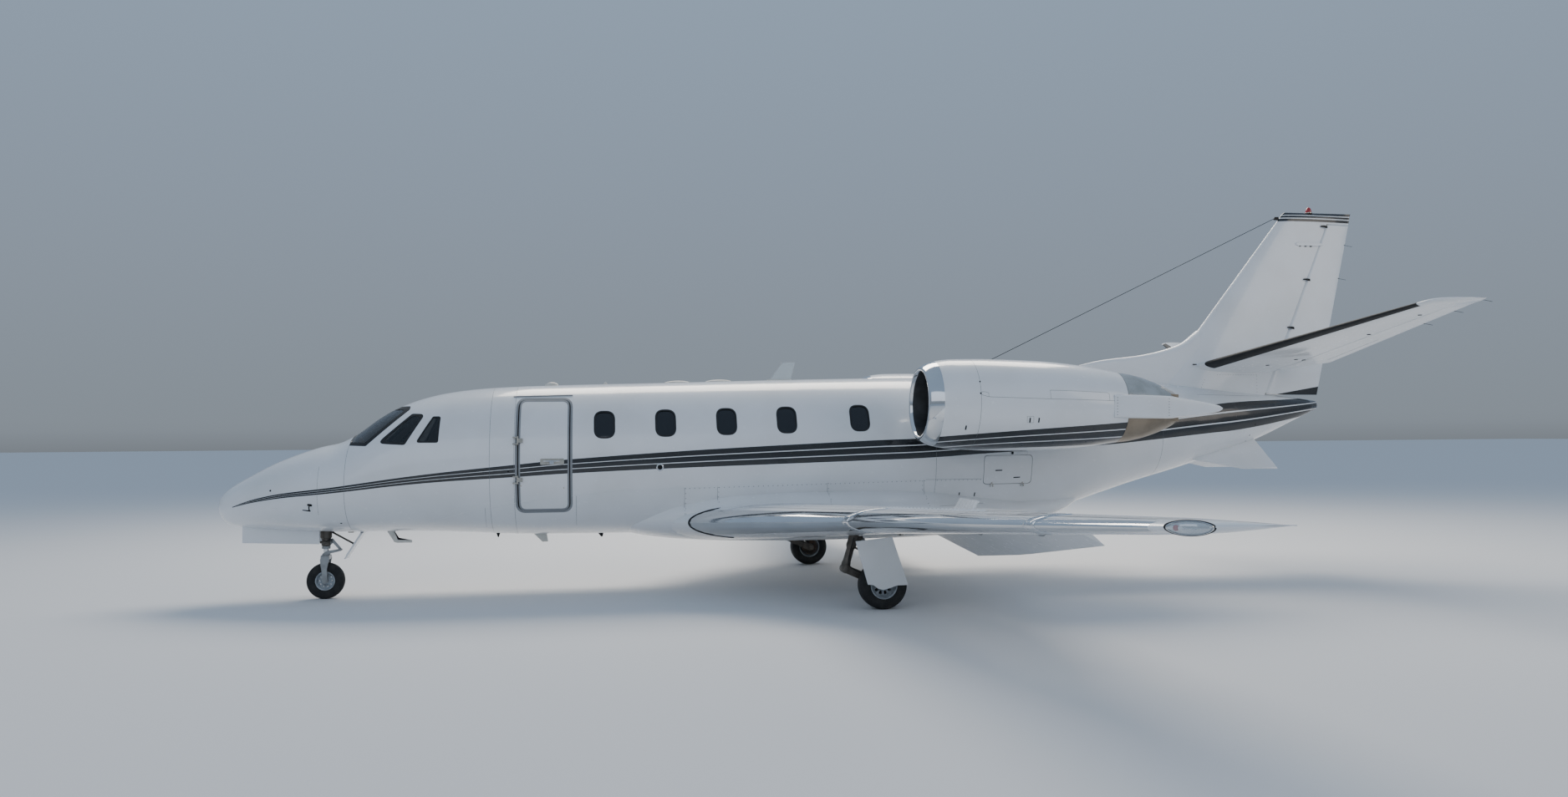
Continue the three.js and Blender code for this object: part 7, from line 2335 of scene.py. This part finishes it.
def makeDoorHinges():
    x, y, radius = doorHinge["x"], doorHinge["y"], doorHinge["radius"]
    fixed, moving = [], []
    for z in doorHinge["heights"]:
        inner = -(sideReach(x, z) - doorHinge["sunk"])
        half, strap, reach = doorHinge["knuckle"], doorHinge["strap"], doorHinge["reach"]
        moving.append(rodPiece((x, y, z - half), (x, y, z + half), radius, edge=1, around=20))
        moving.append(slab(boxOutline(x, x + reach, z - strap, z + strap, 6, 3), y - 4, inner, 2,
                           name="strap"))
        for up in (-1, 1):
            near, far = [(x, y, z + up * along) for along in doorHinge["pin"]]
            fixed.append(rodPiece(near, far, radius, edge=1, around=20))
            z0, z1 = sorted(z + up * along for along in doorHinge["ear"])
            fixed.append(slab(boxOutline(x - reach, x, z0, z1, 4, 3), y - 4, inner, 2, name="strap"))
    fitParts("doorHingeKnuckles", moving, "cabin_door", brushedSteel)
    fitParts("doorHingeLugs", fixed, "airframe", brushedSteel)
    z, radius = bagHinge["z"], bagHinge["radius"]
    fixed, moving = [], []
    knuckles = [Vector((x, -sideReach(x, 1360) - 8, z)) for x in bagHinge["stations"]]
    axis = (knuckles[1] - knuckles[0]).normalized()
    for at in knuckles:
        half, leaf = bagHinge["half"], bagHinge["leaf"]
        moving.append(rodPiece(tuple(at - axis * half), tuple(at + axis * half), radius, edge=1, around=20))
        moving.append(slab(boxOutline(at.x - leaf, at.x + leaf, z + 1, z + 38, 5, 3), at.y, at.y + 22, 2,
                           name="leaf"))
        for out in (-1, 1):
            near, far = [tuple(at + axis * out * reach) for reach in bagHinge["pins"]]
            fixed.append(rodPiece(near, far, radius, edge=1, around=20))
            x0, x1 = sorted(at.x + out * reach for reach in bagHinge["lugs"])
            fixed.append(slab(boxOutline(x0, x1, z - 38, z - 1, 4, 3), at.y, at.y + 58, 2, name="leaf"))
    fitParts("baggageHingeKnuckles", moving, "baggage_door", brushedSteel)
    fitParts("baggageHingeLugs", fixed, "airframe", brushedSteel)


def makeJackPads():
    x, y, z, radius = jackPads["wing"]
    top = rowAt(wingShape["rows"], y)[3]
    pads = [rodPiece((x, y * side, top), (x, y * side, z), radius, edge=5, around=32)
            for side in sideSigns.values()]
    x, top, z, radius = jackPads["nose"]
    pads.append(rodPiece((x, 0, top), (x, 0, z), radius, edge=4, around=32))
    fitParts("jackPads", pads, "airframe", brushedSteel)


makeHinges()
for name, side in sideSigns.items():
    makeFlapBrackets(name, side)
makeDoorHinges()
makeJackPads()
print("hinges and brackets placed")

# Cabin and cockpit furnishing
# drum-dyed hide on the cabin seats: warm tan, a fine pebble grain, creases rubbed darker and slightly shiny
tanHide = plainMaterial("drumDyedHide", "A98B6B", 0.0,
                        {"size": 5, "roughness": 0.46, "spread": 0.09, "strength": 0.28, "depth": 0.5},
                        worn="876A4E", wornSize=110, wornShare=0.7, **{"Sheen Weight": 0.12})
# sheared wool over the pilots' seats: grey, soft and lightless, the pile in small tufts
greyWool = plainMaterial("shearedWool", "5C5D60", 0.0,
                         {"size": 9, "roughness": 0.88, "spread": 0.06, "strength": 0.6, "depth": 2.0},
                         worn="46474A", wornSize=60, wornShare=0.8, **{"Sheen Weight": 0.35})
# cut-pile carpet: deep blue-grey, mottled where the pile lies over
cutPile = plainMaterial("cutPileCarpet", "3F4650", 0.0,
                        {"size": 6, "roughness": 0.92, "spread": 0.05, "strength": 0.7, "depth": 2.5},
                        worn="555C66", wornSize=90, wornShare=0.7, **{"Sheen Weight": 0.25})
# waxed linen thread over the piping, a shade lighter than the hide
paleThread = plainMaterial("waxedPipingCord", "C6AC8C", 0.0,
                           {"size": 3, "roughness": 0.55, "spread": 0.08, "strength": 0.3, "depth": 0.3},
                           worn="A48A69", wornSize=40)
# moulded trim round the seats' feet and pans: warm grey, satin
trimPlastic = plainMaterial("mouldedTrim", "8B8478", 0.0,
                            {"size": 4, "roughness": 0.5, "spread": 0.06, "strength": 0.12, "depth": 0.15},
                            worn="6B655B", wornSize=90)
# black crackle enamel on the panel: a dull wrinkled skin that gives no glare
crackleEnamel = plainMaterial("crackleEnamel", "202224", 0.0,
                              {"size": 3, "roughness": 0.66, "spread": 0.06, "strength": 0.35,
                               "depth": 0.3},
                              worn="34363A", wornSize=60)
# instrument glass over a black dial: dark with a hard bright gloss
dialGlass = plainMaterial("coatedDialGlass", "0C1013", 0.0,
                          {"size": 40, "roughness": 0.06, "spread": 0.02, "strength": 0.01, "depth": 0.1},
                          IOR=1.52, **{"Coat Weight": 0.8, "Coat Roughness": 0.02})
# burr veneer under clear lacquer on the side ledges and table leaves: red-brown figure
burrVeneer = plainMaterial("lacqueredBurr", "6E4427", 0.0,
                           {"size": 18, "roughness": 0.2, "spread": 0.04, "strength": 0.02, "depth": 0.1},
                           worn="3F2413", wornSize=24, wornShare=0.9,
                           **{"Coat Weight": 0.7, "Coat Roughness": 0.06})
cabinSeats = [(x, side * 390, facing, "tan")
              for x, facing in ((4760, 1), (5960, -1), (6660, 1), (7860, -1)) for side in (-1, 1)]
pilotSeats = [(2640, side * 360, -1, "wool") for side in (-1, 1)]
seatHide = {"tan": tanHide, "wool": greyWool}
# half lengths, half widths and heights from the floor of the two pads, before they swell
cushionPad = {"halfLength": 226, "halfWidth": 190, "low": 1296, "high": 1428, "corner": 62, "edge": 40}
backPad = {"halfDepth": 34, "halfWidth": 180, "low": 1462, "high": 1968, "corner": 70, "edge": 24,
           "behind": 196}
sewnChannels = {"cushion": [-110, 0, 110], "back": [1585, 1715, 1845], "depth": 9, "width": 15}
# outlines are distances ahead of the seat's middle and heights from the ground
seatFrame = {"foot": [(-176, 1050), (176, 1050), (150, 1092), (128, 1206), (-128, 1206), (-150, 1092)],
             "footHalf": 118, "panLength": 246, "panLow": 1202, "panHigh": 1292, "panHalf": 206,
             "shell": [(-252, 1250), (-238, 1250), (-238, 1976), (-252, 1960)], "shellHalf": 186,
             "arm": [(-226, 1606), (120, 1600), (130, 1636), (-226, 1646)], "armOuter": 208}
swelling = {"voxel": 0.024, "pressure": 4.0, "frames": 20, "most": 0.024}


def padShell(name, rings):
    return loftRings(name, [[Vector(p) / 1000 for p in ring] for ring in rings])


def cushionShell():
    # centred on the seat, heights from the ground
    pad = cushionPad
    rings = []
    for turn in between(0, math.pi, 8):
        inset = pad["edge"] * (1 - math.sin(turn))
        level = pad["low"] if turn < math.pi / 2 else pad["high"]
        z = level + (1 if turn < math.pi / 2 else -1) * pad["edge"] * (1 - abs(math.cos(turn)))
        outline = boxOutline(-pad["halfLength"] + inset, pad["halfLength"] - inset,
                             -pad["halfWidth"] + inset, pad["halfWidth"] - inset, pad["corner"], 5)
        rings.append([(x, y, z) for x, y in outline])
    return padShell("cushionShell", rings)


def backShell():
    pad = backPad
    rings = []
    for turn in between(0, math.pi, 8):
        inset = pad["edge"] * (1 - math.sin(turn))
        x = -math.cos(turn) * pad["halfDepth"]
        outline = boxOutline(-pad["halfWidth"] + inset, pad["halfWidth"] - inset, pad["low"] + inset,
                             pad["high"] - inset, pad["corner"], 5)
        rings.append([(x, y, z) for y, z in outline])
    return padShell("backShell", rings)


def swell(obj):
    # an even mesh over the shell, blown up a little like a filled cover
    even = obj.modifiers.new("even", "REMESH")
    even.mode = "VOXEL"
    even.voxel_size = swelling["voxel"]
    bakeModifiers(obj)
    rest = [v.co.copy() for v in obj.data.vertices]
    cloth = obj.modifiers.new("fill", "CLOTH")
    cloth.settings.use_pressure = True
    cloth.settings.uniform_pressure_force = swelling["pressure"]
    cloth.settings.effector_weights.gravity = 0
    for now in range(1, swelling["frames"] + 1):
        bpy.context.scene.frame_set(now)
    bakeModifiers(obj)
    bpy.context.scene.frame_set(1)
    for vertex, start in zip(obj.data.vertices, rest):
        moved = vertex.co - start
        vertex.co = start + moved * min(1, swelling["most"] / max(moved.length, 1e-9))
    obj.modifiers.new("round", "SUBSURF").levels = 1
    return bakeModifiers(obj)


def sewChannels(obj, lines, along):
    # straight sewn channels across a pad: the cover is drawn in along each line
    for vertex in obj.data.vertices:
        near = min(abs(vertex.co[along] * 1000 - line) for line in lines)
        pull = sewnChannels["depth"] * math.exp(-(near / sewnChannels["width"]) ** 2) / 1000
        vertex.co -= vertex.normal * pull
    return obj


def copyPad(source, name, place):
    obj = bpy.data.objects.new(name, source.data.copy())
    bpy.context.scene.collection.objects.link(obj)
    obj.data.transform(place)
    return obj


def makeSeats():
    cushion = sewChannels(swell(cushionShell()), sewnChannels["cushion"], 0)
    back = sewChannels(swell(backShell()), sewnChannels["back"], 2)
    ledge = cushionPad["high"] - 18
    piping = boxOutline(-cushionPad["halfLength"] - 10, cushionPad["halfLength"] + 10,
                        -cushionPad["halfWidth"] - 10,
                        cushionPad["halfWidth"] + 10, cushionPad["corner"] + 8, 6)
    hard, cords = [], []
    for number, (x, y, facing, hide) in enumerate(cabinSeats + pilotSeats):
        place = Matrix.Translation(spot(x, y, 0))
        leaning = Matrix.Translation(spot(x - facing * backPad["behind"], y, 0))
        for part, source, stand in (("Cushion", cushion, place), ("Back", back, leaning)):
            pad = copyPad(source, f"seat{number}{part}", stand)
            finishPiece(pad, "airframe", [seatHide[hide]], sharp=180)
        if hide == "tan":
            cords.append([spot(x + u, y + v, ledge) for u, v in piping + piping[:1]])
        foot = [(x + u, z) for u, z in seatFrame["foot"]]
        half = seatFrame["footHalf"]
        hard.append(slab(roundCorners(foot, 14, 3), y - half, y + half, 8, name="seatFoot"))
        length, half = seatFrame["panLength"], seatFrame["panHalf"]
        pan = boxOutline(x - length, x + length, seatFrame["panLow"], seatFrame["panHigh"], 30, 5)
        hard.append(slab(pan, y - half, y + half, 12, name="seatPan"))
        shell = [(x + facing * u, z) for u, z in seatFrame["shell"]]
        half = seatFrame["shellHalf"]
        hard.append(slab(shell, y - half, y + half, 6, name="seatShell"))
        arm = roundCorners([(x + facing * u, z) for u, z in seatFrame["arm"]], 14, 4)
        for out in (-1, 1):
            hard.append(slab(arm, y + out * half, y + out * seatFrame["armOuter"], 5, name="armRest"))
    for source in (cushion, back):
        bpy.data.objects.remove(source)
    fitParts("seatFrames", hard, "airframe", trimPlastic, ["cabin_floor_and_seats"], sharp=50)
    laySeams("seatPiping", cords, paleThread, "airframe", "furnishing", Radius=0.004, Step=0.02)


cabinFloor = {"z0": 1012, "z1": 1060, "half": 552, "cockpitHalf": 440}
sideLedge = {"x0": 4480, "x1": 8500, "y": 640, "z0": 1450, "z1": 1520, "depth": 120}
flightPanel = {"outline": [(1762, 1502), (1924, 1502), (1936, 1836), (1957, 1850), (1958, 1898),
                           (1790, 1899), (1762, 1880)],
               "half": 516, "face": 1931, "foot": (1762, 1858, 428, 1052, 1508),
               # side and height of each dial's middle, and its radius, for one pilot
               "dials": [(-118, 1762, 40), (-4, 1762, 46), (108, 1762, 40), (-118, 1652, 40),
                         (-4, 1650, 46), (108, 1652, 40), (-62, 1566, 26), (52, 1566, 26)],
               "radios": {"half": 74, "z0": 1530, "z1": 1808, "rows": 6}}
pedestal = {"outline": [(1962, 1052), (2496, 1052), (2498, 1290), (2470, 1330), (2030, 1418), (1962, 1418)],
            "half": 88}
yoke = {"x": 2150, "side": 360, "z": 1500, "column": 16, "grip": 13}


def makeFloors():
    aft = fuselageShape["cabinEnd"]
    front = fuselageShape["cockpitEnd"]
    cabin = slab(boxOutline(front + 0.5, aft - 0.5, cabinFloor["z0"], cabinFloor["z1"], 4, 2),
                 -cabinFloor["half"], cabinFloor["half"], 3, name="cabinCarpet")
    finishPiece(cabin, "airframe", [cutPile])
    nose = slab(boxOutline(fuselageShape["bayEnd"] + 0.5, front, cabinFloor["z0"], cabinFloor["z1"], 4, 2),
                -cabinFloor["cockpitHalf"], cabinFloor["cockpitHalf"], 3, name="cockpitCarpet")
    finishPiece(nose, "airframe", [cutPile])
    walls, bay = [], fuselageShape["bayEnd"]
    for x0, x1, wall in ((aft - 20, aft - 2, "wall"), (bay + 2, bay + 14, "cockpitWall")):
        rings = [bodyRing(x, -fuselageShape[wall] - 1) for x in between(x0, x1, 2)]
        walls.append(loftRings("bulkhead", rings))
    fitParts("cabinBulkheads", walls, "airframe", cabinLiner, sharp=50)
    ledges = []
    for side in sideSigns.values():
        near, far = side * sideLedge["y"], side * (sideLedge["y"] + sideLedge["depth"])
        low, high = sideLedge["z0"], sideLedge["z1"]
        section = roundCorners([(near, low), (near, high), (far, high), (far, low)], 14, 4)
        ledges.append(loftRings("ledge", [[spot(x, y, z) for y, z in section]
                                          for x in between(sideLedge["x0"], sideLedge["x1"], 6)]))
    fitParts("sideLedges", ledges, "airframe", burrVeneer, sharp=50)


def makeFlightDeck():
    panel = flightPanel
    body = [slab(roundCorners(panel["outline"], 10, 4), -panel["half"], panel["half"], 6, name="panel")]
    x0, x1, half, z0, z1 = panel["foot"]
    body.append(slab(boxOutline(x0, x1, z0, z1, 8, 3), -half, half, 6, name="panelFoot"))
    body.append(slab(roundCorners(pedestal["outline"], 16, 4), -pedestal["half"], pedestal["half"], 8,
                     name="pedestal"))
    faces, rims, keys = [], [], []
    for side in sideSigns.values():
        for v, z, radius in panel["dials"]:
            y = side * 292 + v
            profile = [(0, 0), (0, radius + 6), (5, radius + 6), (8, radius + 3), (8, radius),
                       (3, radius - 2), (3, 0)]
            rims.append(turnedAlong(profile, (panel["face"], y, z), (panel["face"] + 10, y, z), 28))
            faces.append(rodPiece((panel["face"] + 2, y, z), (panel["face"] + 6, y, z), radius - 1,
                                  edge=0.5, around=28))
        for k in range(7):
            y = side * (140 + k * 52)
            keys.append(rodPiece((panel["face"] - 2, y, 1522), (panel["face"] + 14, y, 1524), 7, tip=5,
                                 around=12))
        hub = (yoke["x"], side * yoke["side"], yoke["z"])
        rims.append(rodPiece((panel["face"] - 4, side * yoke["side"], yoke["z"] + 28), hub, yoke["column"]))
        arms = [(0, -16), (-4, -96), (6, -150), (52, -168), (110, -150)]
        for out in (-1, 1):
            rims.append(pipePiece([(hub[0] + u * 0.1, hub[1] - out * v, hub[2] + u) for u, v in arms],
                                  yoke["grip"], 12, 6))
    stack = panel["radios"]
    step = (stack["z1"] - stack["z0"]) / stack["rows"]
    for row in range(stack["rows"]):
        low = stack["z0"] + row * step
        faces.append(slab(boxOutline(panel["face"] - 4, panel["face"] + 9, low + 3, low + step - 3, 2, 2),
                          -stack["half"], stack["half"], 2, name="radio"))
        for out in (-1, 1):
            y = out * (stack["half"] - 14)
            keys.append(rodPiece((panel["face"] + 8, y, low + step / 2),
                                 (panel["face"] + 20, y, low + step / 2), 8, around=16))
    for lever, y in enumerate((-34, 34, -62)):
        foot = (2180 + lever * 60, y, 1370 - lever * 14)
        head = (2150 + lever * 60, y, 1470 - lever * 20)
        keys.append(rodPiece(foot, head, 6, around=12))
        keys.append(rodPiece((head[0], y - 22, head[2]), (head[0], y + 22, head[2]), 13, edge=6, around=20))
    fitParts("flightPanel", body, "airframe", crackleEnamel, ["cockpit_floor_and_seats"])
    fitParts("dialFaces", faces, "airframe", dialGlass)
    fitParts("dialRimsAndYokes", rims, "airframe", blackAnodised)
    fitParts("knobsAndLevers", keys, "airframe", screwSteel)


makeFloors()
makeFlightDeck()
makeSeats()
print("furnishing placed")
